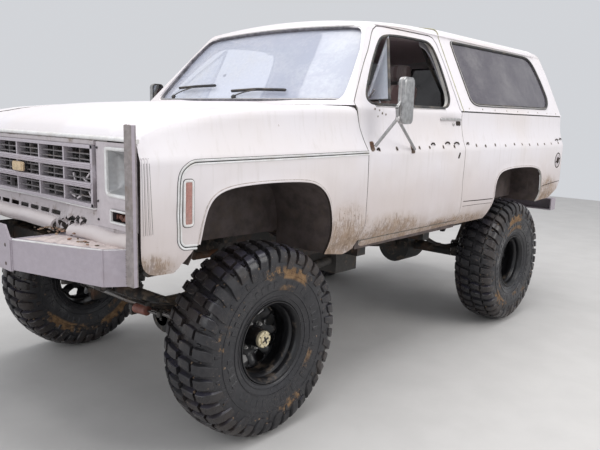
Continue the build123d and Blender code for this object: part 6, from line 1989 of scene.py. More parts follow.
for x in (-640, 640):
    b.tube([(x - 55, 3747, 978), (x + 55, 3747, 978)], 9, 14, 1)
    b.prism([(x - 45, 972), (x + 45, 972), (x + 30, 1032), (x - 30, 1032)], (0, 3736, 0), (1, 0, 0), (0, 0, 1), (0, 8.0, 0), 1)
    for dx in (-16, 16):
        b.lathe([(0, 0), (7, 0), (7, 3), (4, 5), (0, 5)], (x + dx, 3743, 1012), (0, 1, 0), n=6, mat=1)
o = b.obj("tailgate_hardware", ["dull_bright", "plastic"], "rear_gate", sharp=35)
bevel(o, 1.5, 2)
b = Build()
b.prism([tuple(map(float, q)) for q in rounded([(-152, 790), (152, 790), (152, 896), (-152, 896)], 8, 3)], (0, 3869, 0), (1, 0, 0), (0, 0, 1), (0, 4.0, 0), 0)
for x in (-100, 100):
    b.lathe([(0, 0), (7, 0), (7, 2), (5, 4), (0, 4)], (x, 3872.5, 880), (0, 1, 0), n=10, mat=1)
for x in (-780, -420, 420, 780):
    b.lathe([(0, 0), (13, 0), (13, 4), (10, 8), (0, 9)], (x, 3869, 845), (0, 1, 0), n=6, mat=1)
o = b.obj("rear_plate_and_bolts", ["pale_grey", "iron"], "body", sharp=35)
bevel(o, 1.0, 2)


# rolled lips round the wheel arches, with a thin strip of darker edge colour beside them as painted shade
def resample_open(q, step):
    # even spacing along an open line
    d = np.concatenate([[0], np.cumsum(np.linalg.norm(np.diff(q, axis=0), axis=1))])
    t = np.linspace(0, d[-1], max(3, int(round(d[-1] / step)) + 1))
    return np.stack([np.interp(t, d, q[:, 0]), np.interp(t, d, q[:, 1])], 1)


for side, tag in ((1, "left"), (-1, "right")):
    for nm, arch in (("front", FRONT_ARCH), ("rear", REAR_ARCH)):
        b = Build()
        path = resample_open(np.array(arch, float), 16.0)
        tan_ = np.gradient(path, axis=0)
        tan_ /= np.linalg.norm(tan_, axis=1)[:, None]
        nrm_ = np.stack([-tan_[:, 1], tan_[:, 0]], 1)
        c_ = path.mean(axis=0)
        if np.mean(np.sum(nrm_ * (path - c_), axis=1)) < 0:
            nrm_ = -nrm_
        keep_ = path[:, 1] > (1040 if nm == "front" else 960)
        # painted shade: a thin darker strip just outside the rolled lip
        on_side(b, (path + nrm_ * 11.5)[keep_], [(-1.6, -2), (-1.6, 0.7), (1.6, 0.7), (1.6, -2)], side, mat=0)
        on_side(b, (path + nrm_ * 4.5)[keep_], [(-4.0, -3), (-4.0, 1.2), (-1.5, 2.8), (1.5, 2.8), (4.0, 1.2), (4.0, -3)], side, mat=1)
        o = b.obj("arch_lip_" + nm + "_" + tag, ["clip_rim", "paint"], "body", sharp=40)
        # sheet liner from the lip inward
        lin = (path + nrm_ * 9.0)
        m_ = len(lin)
        x_in = 590.0 if nm == "front" else 655.0
        v, f = [], []
        for d_ in (0.0, 3.0):
            q_ = path + nrm_ * (9.0 + d_)
            for xx in np.concatenate([[992.0], np.linspace(900.0, x_in, 8)]):
                wob = 1.5 * math.sin(xx / 23.0)
                for (yy, zz) in q_:
                    xo = min(xx, float(side_x(zz)) - 8.0)
                    v.append((side * xo, yy + wob * 0.4, zz + wob))
        W_ = m_
        half_ = 9 * m_
        for j in range(8):
            for i in range(m_ - 1):
                a0 = j * W_ + i
                f.append((a0, a0 + 1, a0 + W_ + 1, a0 + W_))
                f.append((half_ + a0 + W_, half_ + a0 + W_ + 1, half_ + a0 + 1, half_ + a0))
        for j in range(8):
            for i in (0, m_ - 1):
                a0 = j * W_ + i
                t_ = (a0, a0 + W_, half_ + a0 + W_, half_ + a0)
                f.append(t_ if i == 0 else t_[::-1])
        for i in range(m_ - 1):
            for j in (0, 8):
                a0 = j * W_ + i
                t_ = (a0 + 1, a0, half_ + a0, half_ + a0 + 1)
                f.append(t_ if j == 0 else t_[::-1])
        b = Build()
        b.add(v, f, 0)
        # inner wall with a pressed ridge that follows the tyre
        pol = path + nrm_ * 9.0
        pol = pol[pol[:, 1] > (928.0 if nm == "front" else 900.0)]
        pw, fw = region(resample(pol, 30.0), [], 40, 30)
        r_ = np.hypot(pw[:, 0] - (0.0 if nm == "front" else 2705.0), (pw[:, 1] - 760.0) * 1.05)
        bul = 16.0 * np.exp(-((r_ - 430.0) / 26.0) ** 2) + 7.0 * np.exp(-((r_ - 300.0) / 40.0) ** 2) + 2.0 * wave(pw, 60.0, 71)
        xo_ = (x_in + 2.0) + bul
        top_ = np.stack([side * xo_, pw[:, 0], pw[:, 1]], 1)
        bot_ = np.stack([side * (xo_ - 4.0), pw[:, 0], pw[:, 1]], 1)
        fw = orient(top_, fw, (side, 0, 0))
        ed_ = np.concatenate([fw[:, [0, 1]], fw[:, [1, 2]], fw[:, [2, 0]]])
        sn_ = {(int(i), int(j)) for i, j in ed_}
        kk = len(pw)
        b.add(np.concatenate([top_, bot_]).tolist(), [tuple(t) for t in fw] + [tuple(t[::-1] + kk) for t in fw] + [(j, i, i + kk, j + kk) for i, j in sn_ if (j, i) not in sn_], 0)
        o = b.obj("wheelhouse_" + nm + "_" + tag, ["wheelhouse"], "body", sharp=50)

# painted shadow: a near-black strip sunk in the gap along the door's leading edge and the windscreen pillar
for side, tag in ((1, "left"), (-1, "right")):
    b = Build()
    mid = [(704, 920), (733, 1000), (735.5, 1200), (728.5, 1414), (684.5, 1539), (660.5, 1658)]
    on_side(b, resample_open(np.array(mid, float), 40.0), [(-2.7, -12), (-2.7, -2.4), (2.7, -2.4), (2.7, -12)], side, mat=0)
    hole_ = [(703, 1725), (820, 1848), (889, 1918), (960, 1984), (1018, 2047), (1060, 2096), (1092, 2124), (1140, 2149)]
    leaf_ = [(709, 1720), (826, 1843), (895, 1913), (966, 1979), (1024, 2042), (1066, 2090), (1097, 2118), (1143, 2142)]
    mid = [((a[0] + c[0]) / 2, (a[1] + c[1]) / 2) for a, c in zip(hole_, leaf_)]
    on_side(b, resample_open(np.array([(662, 1674)] + mid, float), 40.0), [(-2.6, -12), (-2.6, -3.5), (2.6, -3.5), (2.6, -12)], side, mat=0)
    b.obj("door_gap_painted_shadow_" + tag, ["hole"], "body", sharp=40)
# ------------------------------------------------------------------ cabin: seats, wheel, dashboard detail, trims
SCN = bpy.context.scene


def plump(name, profile, x0, x1, cap=24.0, voxel=13.0, keep=None, grooves=None, pressure=4.0, matkey="seat", round_r=26.0):
    """A padded form: a closed block with round edges, blown up a little by cloth pressure, then grooved."""
    b = Build()
    poly = rounded(profile, round_r, 4)
    secs = [(x0, 0.90), (x0 + 10, 0.97), (x0 + 26, 1.0), (x1 - 26, 1.0), (x1 - 10, 0.97), (x1, 0.90)]
    c = poly.mean(0)
    m = len(poly)
    for x, s_ in secs:
        for u, v in poly:
            b.v.append((x, c[0] + (u - c[0]) * s_, c[1] + (v - c[1]) * s_))
    for i in range(len(secs) - 1):
        for k in range(m):
            l = (k + 1) % m
            b.f.append((i * m + k, i * m + l, (i + 1) * m + l, (i + 1) * m + k))
            b.m.append(0)
    b.f.append(tuple(reversed(range(m))))
    b.f.append(tuple((len(secs) - 1) * m + k for k in range(m)))
    b.m += [0, 0]
    o = b.obj(name, [matkey], None, sharp=None)
    r = o.modifiers.new("remesh", "REMESH")
    r.mode = "VOXEL"
    r.voxel_size = voxel * 0.001
    dg = bpy.context.evaluated_depsgraph_get()
    me = bpy.data.meshes.new_from_object(o.evaluated_get(dg))
    o.modifiers.clear()
    o.data = me
    co = np.zeros(len(me.vertices) * 3)
    me.vertices.foreach_get("co", co)
    co = co.reshape(-1, 3)
    cl = o.modifiers.new("cloth", "CLOTH")
    st = cl.settings
    st.use_pressure = True
    st.uniform_pressure_force = pressure
    st.effector_weights.gravity = 0.0
    st.quality = 5
    st.mass = 0.3
    cl.collision_settings.use_collision = False
    cl.point_cache.frame_start = 1
    cl.point_cache.frame_end = 20
    for fr in range(1, 21):
        SCN.frame_set(fr)
    dg = bpy.context.evaluated_depsgraph_get()
    ev = o.evaluated_get(dg)
    new = np.zeros(len(ev.data.vertices) * 3)
    ev.data.vertices.foreach_get("co", new)
    new = new.reshape(-1, 3)
    o.modifiers.clear()
    SCN.frame_set(1)
    d = new - co
    ln = np.linalg.norm(d, axis=1)
    d *= np.minimum(1.0, cap * 0.001 / np.maximum(ln, 1e-9))[:, None]
    co = co + d
    mm = co * 1000.0 - np.array([0, Y0, 0])
    if keep is not None:
        mm = keep(mm)
    if grooves is not None:
        mm = grooves(mm)
    co = mm * 0.001 + np.array([0, Y0 * 0.001, 0])
    me.vertices.foreach_set("co", co.ravel())
    me.shade_smooth()
    me.materials.clear()
    me.materials.append(MATS[matkey])
    me.update()
    return o


def crown(mm, axis, sgn, lines, depth=7.0, width=9.0, across=0):
    # sewn channels: pulls the surface in along lines across the given coordinate
    out = mm.copy()
    face = sgn * (mm[:, axis] - mm[:, axis].mean()) > 0
    for c in lines:
        g_ = np.exp(-((mm[:, across] - c) / width) ** 2) * depth
        out[:, axis] -= np.where(face, sgn * g_, 0)
    return out


def finish_pad(o, name, body):
    o.name = name
    s = o.modifiers.new("subd", "SUBSURF")
    s.levels = s.render_levels = 1
    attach(o, body)
    return o


def mirror_copy(o, name, body="body"):
    me = o.data.copy()
    co = np.zeros(len(me.vertices) * 3)
    me.vertices.foreach_get("co", co)
    co = co.reshape(-1, 3)
    co[:, 0] *= -1
    me.vertices.foreach_set("co", co.ravel())
    me.flip_normals()
    me.update()
    q = link(bpy.data.objects.new(name, me))
    return finish_pad(q, name, body)


def clampz(lo, hi):
    def f(mm):
        mm = mm.copy()
        mm[:, 2] = np.clip(mm[:, 2], lo, hi)
        return mm
    return f


# front seats: left one is modelled, right one is its mirror image
cus = plump("cushion_left", [(1306, 1196), (1776, 1196), (1776, 1304), (1560, 1296), (1306, 1318)], 118, 622, cap=22, keep=clampz(1182, 1336),
            grooves=lambda m: crown(crown(m, 2, 1, [190, 550], 10, 12), 2, 1, [1400, 1490, 1580, 1670], 6, 9, across=1))
back = plump("backrest_left", [(1668, 1334), (1778, 1334), (1868, 1838), (1796, 1866)], 124, 616, cap=22, keep=lambda m: np.stack([m[:, 0], np.clip(m[:, 1], 1655, 1892), np.clip(m[:, 2], 1327, 1878)], 1),
             grooves=lambda m: crown(crown(m, 1, -1, [196, 544], 10, 12), 1, -1, [1450, 1540, 1630, 1720], 6, 9, across=2))
head = plump("headrest_left", [(1808, 1862), (1894, 1862), (1894, 1972), (1812, 1976)], 262, 520, cap=14, voxel=10.0, keep=clampz(1842, 1986), matkey="seat_pattern", round_r=30)
for o, nm, fl_ in ((cus, "front_cushion", 0.65), (back, "front_backrest", 0.6), (head, "front_headrest", 0.75)):
    finish_pad(o, nm + "_left", "body")
    mirror_copy(o, nm + "_right")
rc = plump("rear_cushion", [(2342, 1164), (2788, 1164), (2788, 1262), (2560, 1256), (2342, 1276)], -590, 590, cap=22, voxel=17.0, keep=clampz(1152, 1294),
           grooves=lambda m: crown(m, 2, 1, [-400, -200, 0, 200, 400], 8, 10))
rb = plump("rear_backrest", [(2712, 1298), (2812, 1298), (2884, 1692), (2812, 1708)], -590, 590, cap=20, voxel=17.0, keep=lambda m: np.stack([m[:, 0], np.clip(m[:, 1], 2698, 2906), np.clip(m[:, 2], 1297, 1722)], 1),
           grooves=lambda m: crown(m, 1, -1, [-400, -200, 0, 200, 400], 8, 10))
finish_pad(rc, "rear_cushion_pad", "body")
finish_pad(rb, "rear_backrest_pad", "body")

# seat pans, pedestals, headrest posts and hinge cheeks
b = Build()
for sx in (1, -1):
    xc = 370 * sx
    # pedestal: tapering pressed box on a foot flange
    prof = [(1352, 1186), (1698, 1186), (1680, 1040), (1696, 900), (1700, 878), (1350, 878), (1354, 900), (1372, 1040)]
    b.prism([tuple(map(float, q)) for q in rounded(prof, 14, 3)], (xc - 155, 0, 0), (0, 1, 0), (0, 0, 1), (310, 0, 0), 0)
    b.box(xc - 172, xc + 172, 1330, 1720, 876, 884, 0)
    for dx in (-150, 150):
        b.box(xc + dx - 14, xc + dx + 14, 1322, 1760, 1160, 1180, 1)
        b.box(xc + dx - 20, xc + dx + 20, 1340, 1380, 1140, 1162, 1)
        for yy in (1345, 1705):
            b.lathe([(0, 0), (11, 0), (11, 5), (8, 9), (0, 9)], (xc + dx, yy, 884), (0, 0, 1), n=6, mat=1)
    for dx in (-70, 70):
        b.tube([(xc + dx, 1846, 1800), (xc + dx, 1848, 1900)], 6.5, 12, 2)
    # hinge cheeks between cushion and back
    for dx in (-252, 252):
        b.prism([tuple(map(float, q)) for q in rounded([(1610, 1215), (1790, 1215), (1800, 1400), (1756, 1420), (1722, 1330), (1620, 1262)], 14, 3)], (xc + dx - 4, 0, 0), (0, 1, 0), (0, 0, 1), (8, 0, 0), 0)
        b.lathe([(0, -8), (17, -8), (17, 4), (12, 8), (0, 8)], (xc + dx, 1762, 1300), (sx, 0, 0), n=20, mat=1)
o = b.obj("front_seat_frames", ["plastic", "iron", "dull_bright"], "body", sharp=35)
bevel(o, 2.0, 2)
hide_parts("front_seats")
b = Build()
for sx in (1, -1):
    b.tube([(sx * 500, 2390, 980), (sx * 500, 2395, 1150), (sx * 500, 2740, 1150), (sx * 500, 2752, 980)], 15, 14, 0)
    b.box(*sorted((sx * 478, sx * 522)), 2370, 2412, 976, 982, 0)
    b.box(*sorted((sx * 478, sx * 522)), 2730, 2774, 976, 982, 0)
    b.tube([(sx * 560, 2776, 1180), (sx * 560, 2826, 1330), (sx * 560, 2893, 1690)], 9, 12, 0)
b.tube([(-560, 2893, 1690), (560, 2893, 1690)], 9, 12, 0)
b.prism([tuple(map(float, q)) for q in rounded([(2336, 1154), (2794, 1154), (2794, 1166), (2336, 1166)], 4, 2)], (-585, 0, 0), (0, 1, 0), (0, 0, 1), (1170, 0, 0), 1)
o = b.obj("rear_seat_frame", ["iron", "plastic"], "body", sharp=35)
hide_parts("rear_seat")

# steering wheel: grooved rim, three flat spokes, soft pad in the middle
b = Build()
wc, wa = Vector((370, 1190, 1580)), Vector((0, 0.93, 0.37)).normalized()
u, w = Vector((1, 0, 0)), Vector((0, -0.37, 0.93)).normalized()
NR, NS = 96, 14
base = len(b.v)
for i in range(NR):
    t = 2 * math.pi * i / NR
    r_ = 12.6 + 0.9 * math.sin(24 * t)
    d = u * math.cos(t) + w * math.sin(t)
    for k in range(NS):
        a = 2 * math.pi * k / NS
        b.v.append(tuple(wc + d * (190 + r_ * math.cos(a)) + wa * (r_ * math.sin(a))))
for i in range(NR):
    for k in range(NS):
        b.f.append((base + i * NS + k, base + i * NS + (k + 1) % NS, base + ((i + 1) % NR) * NS + (k + 1) % NS, base + ((i + 1) % NR) * NS + k))
        b.m.append(0)
for t in (math.radians(2), math.radians(178), math.radians(250), math.radians(290)):
    d = u * math.cos(t) + w * math.sin(t)
    e_ = d.cross(wa)
    o0 = wc + d * 20
    b.prism([(0, -17), (60, -15), (110, -10), (166, -9), (166, 9), (110, 10), (60, 15), (0, 17)], o0 - wa * 4, d, e_, wa * 8, 1)
b.lathe([(0, -26), (30, -26), (36, -18), (40, -8), (62, 4), (66, 12), (58, 19), (30, 23), (0, 24)], tuple(wc), tuple(wa), n=48, mat=0)
b.lathe([(0, 22), (24, 22), (26, 25), (22, 28), (0, 29)], tuple(wc), tuple(wa), n=32, mat=1)
o = b.obj("steering_wheel_rim", ["plastic", "dull_bright"], "hand_wheel", sharp=40)
bevel(o, 1.0, 2, 50)
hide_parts("steering_wheel")
# column with its shroud, stalk and shift lever
b = Build()
c0 = wc - wa * 30
b.tube([tuple(c0), tuple(wc - wa * 70), tuple(wc - wa * 150), tuple(wc - wa * 236)], [30, 40, 38, 44], 28, 0)
b.tube([tuple(wc - wa * 52 + Vector((-30, 0, 0))), tuple(wc - wa * 46 + Vector((-110, -6, 14))), tuple(wc - wa * 44 + Vector((-160, -8, 24)))], [5, 4.5, 7], 10, 0)
b.tube([tuple(wc - wa * 60 + Vector((30, 0, 0))), tuple(wc - wa * 50 + Vector((120, 6, -30))), tuple(wc - wa * 44 + Vector((190, 10, -50)))], [6, 5, 9], 10, 1)
o = b.obj("steering_column", ["plastic", "dull_bright"], "body", sharp=40)

# dashboard: gauge pod, vents, controls and glove box on the face that looks rearward
b = Build()
def dash_y(z):
    return float(np.interp(z, [1440, 1500, 1590, 1625], [902, 988, 1003, 963]))
def dbox(x0, x1, z0, z1, d, mat, r=8):
    poly = [tuple(map(float, q)) for q in rounded([(x0, z0), (x1, z0), (x1, z1), (x0, z1)], r, 3)]
    b.prism(poly, (0, dash_y((z0 + z1) / 2) - 6, 0), (1, 0, 0), (0, 0.16, 0.987), (0, 6 + d, 0), mat)
dbox(190, 560, 1502, 1592, 5, 1, 14)
for x, r in ((290, 40), (455, 40)):
    cc = (x, dash_y(1547) + 3, 1546)
    b.lathe([(r, 0), (r + 3, 6), (r + 6, 6), (r + 7, 0)], cc, (0, 0.987, -0.16), n=40, mat=2)
    b.lathe([(0, 0), (r, 0), (r, 2), (0, 2)], cc, (0, 0.987, -0.16), n=40, mat=0)
    b.prism([(-1.2, -4), (1.2, -4), (0.6, r - 10), (-0.6, r - 10)], Vector(cc) + Vector((0, 2, 0)), (0.8, 0, 0.6), (-0.6, 0.1, 0.79), (0, 2, 0), 3)
for x in (345, 372, 400):
    b.lathe([(0, 0), (9, 0), (9, 6), (6, 9), (0, 9)], (x, dash_y(1580) + 2, 1580), (0, 1, 0), n=16, mat=2)
dbox(10, 160, 1512, 1572, 4, 1)
for x in (28, 142):
    b.lathe([(0, 0), (11, 0), (11, 14), (8, 17), (0, 17)], (x, dash_y(1540) + 3, 1540), (0, 1, 0), n=20, mat=2)
dbox(52, 118, 1528, 1556, 6, 0, 4)
dbox(-620, -180, 1470, 1560, 3.5, 1, 12)
b.lathe([(0, 0), (14, 0), (14, 8), (10, 12), (0, 12)], (-400, dash_y(1540) + 3, 1545), (0, 1, 0), n=20, mat=2)
for x0 in (-770, 610):
    dbox(x0, x0 + 130, 1530, 1585, 4, 0, 6)
    for k in range(5):
        z = 1538 + 9.5 * k
        b.box(x0 + 8, x0 + 122, dash_y(z) + 2, dash_y(z) + 9, z - 1.2, z + 1.2, 1, Matrix.Rotation(0.5, 3, "X"))
o = b.obj("dashboard_face", ["plastic", "trim_in", "dull_bright", "pale_grey"], "body", sharp=35)
bevel(o, 0.8, 2, 40)
# crash pad: a rolled, slightly wavy top along the dashboard
b = Build()
prof = [(742, 1592), (792, 1643), (870, 1640), (962, 1629), (1000, 1612), (1012, 1596), (1008, 1584), (996, 1580), (980, 1588)]
along_x(b, prof, -786, 786, 0, 46, lambda x: (1.5 * math.sin(x / 60.0), 1.8 * math.sin(x / 41.0) + (3.5 * math.exp(-((x - 370) / 150.0) ** 2))))
o = b.obj("crash_pad", ["trim_in"], "body", sharp=40)

# headliner and pillar trims
LIN = np.array(arc3((700, 2080), (672, 2118), (640, 2138), 8) + arc3((640, 2138), (0, 2184), (-640, 2138), 40)[1:21])[::-1]
LIN_S = np.concatenate([[0], np.cumsum(np.linalg.norm(np.diff(LIN, axis=0), axis=1))])


def liner(p, d=0.0):
    a = np.abs(p[:, 0])
    x, z = np.sign(p[:, 0]) * np.interp(a, LIN_S, LIN[:, 0]), np.interp(a, LIN_S, LIN[:, 1])
    k = np.clip(a / LIN_S[-1], 0, 1) ** 6
    return np.stack([x * (1 - 0.012 * d * k), p[:, 1], z - d - 3.0 + 1.4 * np.sin(p[:, 1] / 55.0) * (1 - k)], 1)


for nm, y0_, y1_ in (("headliner_front", 1190, 1880), ("headliner_rear", 1905, 3480)):
    wl = float(LIN_S[-1]) - 70.0
    o = panel(nm, rounded([(-wl, y0_), (wl, y0_), (wl, y1_), (-wl, y1_)], 30), [], lambda p: liner(p, 0.0), lambda p: liner(p, 5.0), "body", mats=("headliner", "headliner", "headliner"), step=46, bstep=24, want=(0, 0, 1), bev=0)
for side, tag in ((1, "left"), (-1, "right")):
    # pale trim inside the door pillar and a belt strip behind it
    b = Build()
    pts = [(1868, 1664), (1864, 1850), (1850, 2020), (1806, 2090), (1730, 2112)]
    q = open_round(pts, 60, 30)
    x = side_x(q[:, 1]) - 68
    p = np.stack([x, q[:, 0], q[:, 1]], 1)
    nn = np.tile(np.array([-0.9, 0, -0.43]), (len(p), 1))
    sweep(b, p, nn, [(-34, -3), (-34, 3), (-26, 7), (26, 7), (34, 3), (34, -3)], False, 0, side)
    q = [(1720, 2100), (1740, 1960), (1752, 1780), (1760, 1420), (1780, 1240)]
    x = np.array([640.0, 700, 800, 850, 820])
    p = np.stack([x, [v[0] + 95 for v in q], [v[1] for v in q]], 1)
    nn = np.tile(np.array([-1.0, 0, 0]), (len(p), 1))
    sweep(b, p, nn, [(-22, -1), (-22, 1), (22, 1), (22, -1)], False, 1, side)
    o = b.obj("pillar_trim_" + tag, ["pale_grey", "black"], "body", sharp=40)
    # arm rest, window crank and pull on the door's inside
    b = Build()
    xi = lambda z: float(side_x(z)) - 56.0
    prof = [tuple(map(float, v)) for v in rounded([(0, -22), (62, -16), (66, 14), (0, 22)], 12, 4)]
    b.prism([(-u_, v_) for u_, v_ in prof], (xi(1400) + 8, 1280, 1400), (1, 0, 0), (0, 0, 1), (0, 330, 0), 0)
    for i in range(len(b.v)):
        b.v[i] = (b.v[i][0] * side, b.v[i][1], b.v[i][2])
    cx = xi(1330)
    b.lathe([(0, 0), (22, 0), (22, 6), (12, 12), (0, 12)], (side * cx, 1120, 1330), (-side, 0, 0), n=20, mat=1)
    b.tube([(side * (cx - 14), 1120, 1330), (side * (cx - 22), 1180, 1300), (side * (cx - 22), 1196, 1292)], [6, 5, 5], 10, 1)
    b.tube([(side * (cx - 20), 1196, 1292), (side * (cx - 50), 1196, 1292)], [10, 9], 12, 0)
    o = b.obj("door_fittings_" + tag, ["plastic", "dull_bright"], tag + "_door", sharp=35)
    bevel(o, 1.5, 2)
# inside mirror
b = Build()
b.prism([tuple(map(float, v)) for v in rounded([(-125, 2000), (125, 2000), (125, 2052), (-125, 2052)], 18, 4)], (0, 1040, 0), (1, 0, 0), (0, 0, 1), (0, 16, 0), 0)
b.prism([tuple(map(float, v)) for v in rounded([(-119, 2006), (119, 2006), (119, 2046), (-119, 2046)], 14, 4)], (0, 1055.5, 0), (1, 0, 0), (0, 0, 1), (0, 2, 0), 1)
b.tube([(0, 1044, 2040), (0, 1020, 2075), (0, 1020, 2100)], 6, 10, 0)
o = b.obj("inside_mirror", ["plastic", "mirror_glass"], "body", sharp=35)

# ------------------------------------------------------------------ under the hood
b = Build()
b.lathe([(0, 1480), (158, 1480), (172, 1486), (174, 1500), (174, 1512), (168, 1522), (150, 1530), (60, 1533), (52, 1529), (20, 1529), (0, 1529)], (0, -20, 0), (0, 0, 1), n=64, mat=0)
b.lathe([(0, 0), (9, 0), (9, 6), (0, 8)], (0, -20, 1528), (0, 0, 1), n=6, mat=1)
b.box(-22, 22, -23, -17, 1530, 1540, 1)
b.tube([(-130, -90, 1500), (-190, -200, 1498), (-235, -320, 1470)], [30, 28, 30], 18, 2)
for sx in (1, -1):
    poly = rounded([(-300, 1352), (300, 1352), (300, 1398), (270, 1412), (-270, 1412), (-300, 1398)], 10, 3)
    b.prism([tuple(map(float, v)) for v in poly], (sx * 212 - 52, 0, 0), (0, 1, 0), (0, 0, 1), (104, 0, 0), 3)
    for k in range(4):
        b.lathe([(0, 0), (8, 0), (8, 4), (0, 6)], (sx * 212, -210 + 140 * k, 1411), (0, 0, 1), n=8, mat=1)
    for k in range(4):
        y = -225 + 150 * k
        b.tube([(sx * 268, y, 1290), (sx * 300, y + 8, 1300), (sx * 318, y + 20, 1250), (sx * 318, y + 30, 1130)], [20, 20, 19, 17], 14, 4)
b.tube([(90, -330, 1400), (100, -420, 1405), (60, -500, 1370), (40, -548, 1350)], 24, 16, 2)
b.tube([(-150, -330, 1060), (-200, -420, 1050), (-230, -500, 1080), (-240, -548, 1095)], 24, 16, 2)
b.lathe([(0, 0), (46, 0), (48, 4), (48, 14), (40, 16), (40, 20), (24, 20), (22, 30), (0, 30)], (0, -338, 1230), (0, -1, 0), n=36, mat=1)
for k in range(5):
    t = 2 * math.pi * k / 5
    m3 = Matrix.Rotation(t, 3, "Y")
    b.prism([(24, -26), (178, -40), (186, 20), (24, 20)], Vector((0, -405, 1225)), m3 @ Vector((1, 0, 0)), m3 @ Vector((0, 0.35, 0.94)), Vector((0, 3, 0)), 1)
b.lathe([(0, 0), (34, 0), (34, 30), (0, 30)], (0, -395, 1225), (0, -1, 0), n=28, mat=1)
# battery and washer bottle on the inner wings
o = b.obj("engine_dressing", ["plastic", "iron", "hose", "rust", "rust"], "body", sharp=35)
b = Build()
b.prism([tuple(map(float, v)) for v in rounded([(-758, -500), (-600, -500), (-600, -250), (-758, -250)], 8, 3)], (0, 0, 1319), (1, 0, 0), (0, 1, 0), (0, 0, 150), 0)
for x in (-730, -630):
    b.lathe([(0, 0), (11, 0), (9, 20), (0, 20)], (x, -470, 1468), (0, 0, 1), n=14, mat=2)
    b.tube([(x, -470, 1486), (x + 20, -380, 1500), (x + 60, -240, 1450), (x + 90, -200, 1330)], 6, 10, 1)
b.prism([tuple(map(float, v)) for v in rounded([(610, -420), (750, -420), (750, -200), (610, -200)], 20, 4)], (0, 0, 1319), (1, 0, 0), (0, 1, 0), (0, 0, 130), 3)
b.lathe([(0, 0), (26, 0), (26, 14), (0, 18)], (680, -310, 1448), (0, 0, 1), n=20, mat=0)
o = b.obj("battery_and_bottle", ["plastic", "black", "alloy", "pale_grey"], "body", sharp=35)
bevel(o, 3, 2)


# ------------------------------------------------------------------ leaf packs with rolled eyes, clips and U-bolts
def arc_pts(a, m, b, n):
    return [Vector((p[0], p[1])) for p in arc3(a, m, b, n)]


us = Build()
ub = Build()
for xc, ya, za, yb, zb, yc, zc in ((404, -575, 765, 0, 566, 575, 700), (560, 2060, 740, 2705, 566, 3330, 790)):
    for sx in (1, -1):
        line = np.array(arc3((ya, za), (yb, zb), (yc, zc), 44))
        line[:, 1] -= 1.0
        i_mid = int(np.argmin(np.abs(line[:, 0] - yb)))
        n_l = len(line)
        for leaf in range(4):
            lo = int(round(i_mid * (leaf / 4.3) ** 1.2))
            hi = n_l - 1 - int(round((n_l - 1 - i_mid) * (leaf / 4.3) ** 1.2))
            seg = line[lo:hi + 1]
            tan_ = np.gradient(seg, axis=0)
            tan_ /= np.linalg.norm(tan_, axis=1)[:, None]
            nn = np.stack([tan_[:, 1], -tan_[:, 0]], 1)
            nn[nn[:, 1] > 0] *= -1
            t_ = 5.6
            gap = leaf * 6.4
            w = 29.0
            k0 = len(us.v)
            for j, (q, n_) in enumerate(zip(seg, nn)):
                fall = min(1.0, 0.45 + min(j, len(seg) - 1 - j) / 3.0) if leaf else 1.0
                a_, b_ = q + n_ * gap, q + n_ * (gap + t_ * fall)
                us.v += [(sx * (xc - w), a_[0], a_[1]), (sx * (xc + w), a_[0], a_[1]), (sx * (xc + w - 1.5), b_[0], b_[1]), (sx * (xc - w + 1.5), b_[0], b_[1])]
            m_ = len(seg)
            for j in range(m_ - 1):
                for c in range(4):
                    d = (c + 1) % 4
                    us.f.append((k0 + 4 * j + c, k0 + 4 * j + d, k0 + 4 * (j + 1) + d, k0 + 4 * (j + 1) + c))
                    us.m.append(0)
            us.f += [tuple(k0 + c for c in (3, 2, 1, 0)), tuple(k0 + 4 * (m_ - 1) + c for c in (0, 1, 2, 3))]
            us.m += [0, 0]
        # rolled eyes with bushes
        for y, z in ((ya, za), (yc, zc)):
            zz = z - 6
            us.lathe([(13, -29), (21, -29), (21, 29), (13, 29), (13, -29)], (sx * xc, y, zz), (1, 0, 0), n=24, mat=0, closed=False)
            us.lathe([(0, -33), (13.5, -33), (13.5, 33), (0, 33)], (sx * xc, y, zz), (1, 0, 0), n=18, mat=1)
        # rebound clips
        for fr in (0.24, 0.78):
            q = line[int(fr * (n_l - 1))]
            us.box(*sorted((sx * (xc - 33), sx * (xc + 33))), q[0] - 12, q[0] + 12, q[1] - 17, q[1] + 3, 1)
        # U-bolts over the pack with nuts under the plate, and the plate itself
        for dy in (-46, 46):
            pts = [(sx * (xc - 37), yb + dy, 470), (sx * (xc - 37), yb + dy, 574), (sx * (xc - 30), yb + dy, 586), (sx * xc, yb + dy, 590), (sx * (xc + 30), yb + dy, 586), (sx * (xc + 37), yb + dy, 574), (sx * (xc + 37), yb + dy, 470)]
            ub.tube(pts, 7.0, n=12, mat=0)
            for xx in (xc - 37, xc + 37):
                ub.lathe([(0, 0), (13, 0), (13, 11), (0, 11)], (sx * xx, yb + dy, 470), (0, 0, 1), n=6, mat=1)
                ub.lathe([(0, 0), (6.5, 0), (6.5, 16), (0, 16)], (sx * xx, yb + dy, 455), (0, 0, 1), n=10, mat=0)
        ub.box(*sorted((sx * (xc - 50), sx * (xc + 50))), yb - 62, yb + 62, 481, 489, 1)
        ub.box(*sorted((sx * (xc - 32), sx * (xc + 32))), yb - 58, yb + 58, 569, 581, 1)
o = us.obj("leaf_packs", ["spring", "iron"], "body", sharp=35)
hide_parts("leaf_springs")
bevel(o, 0.8, 1, 40)
o = ub.obj("spring_u_bolts", ["rod", "spring"], "body", sharp=35)
bevel(o, 0.8, 1, 40)

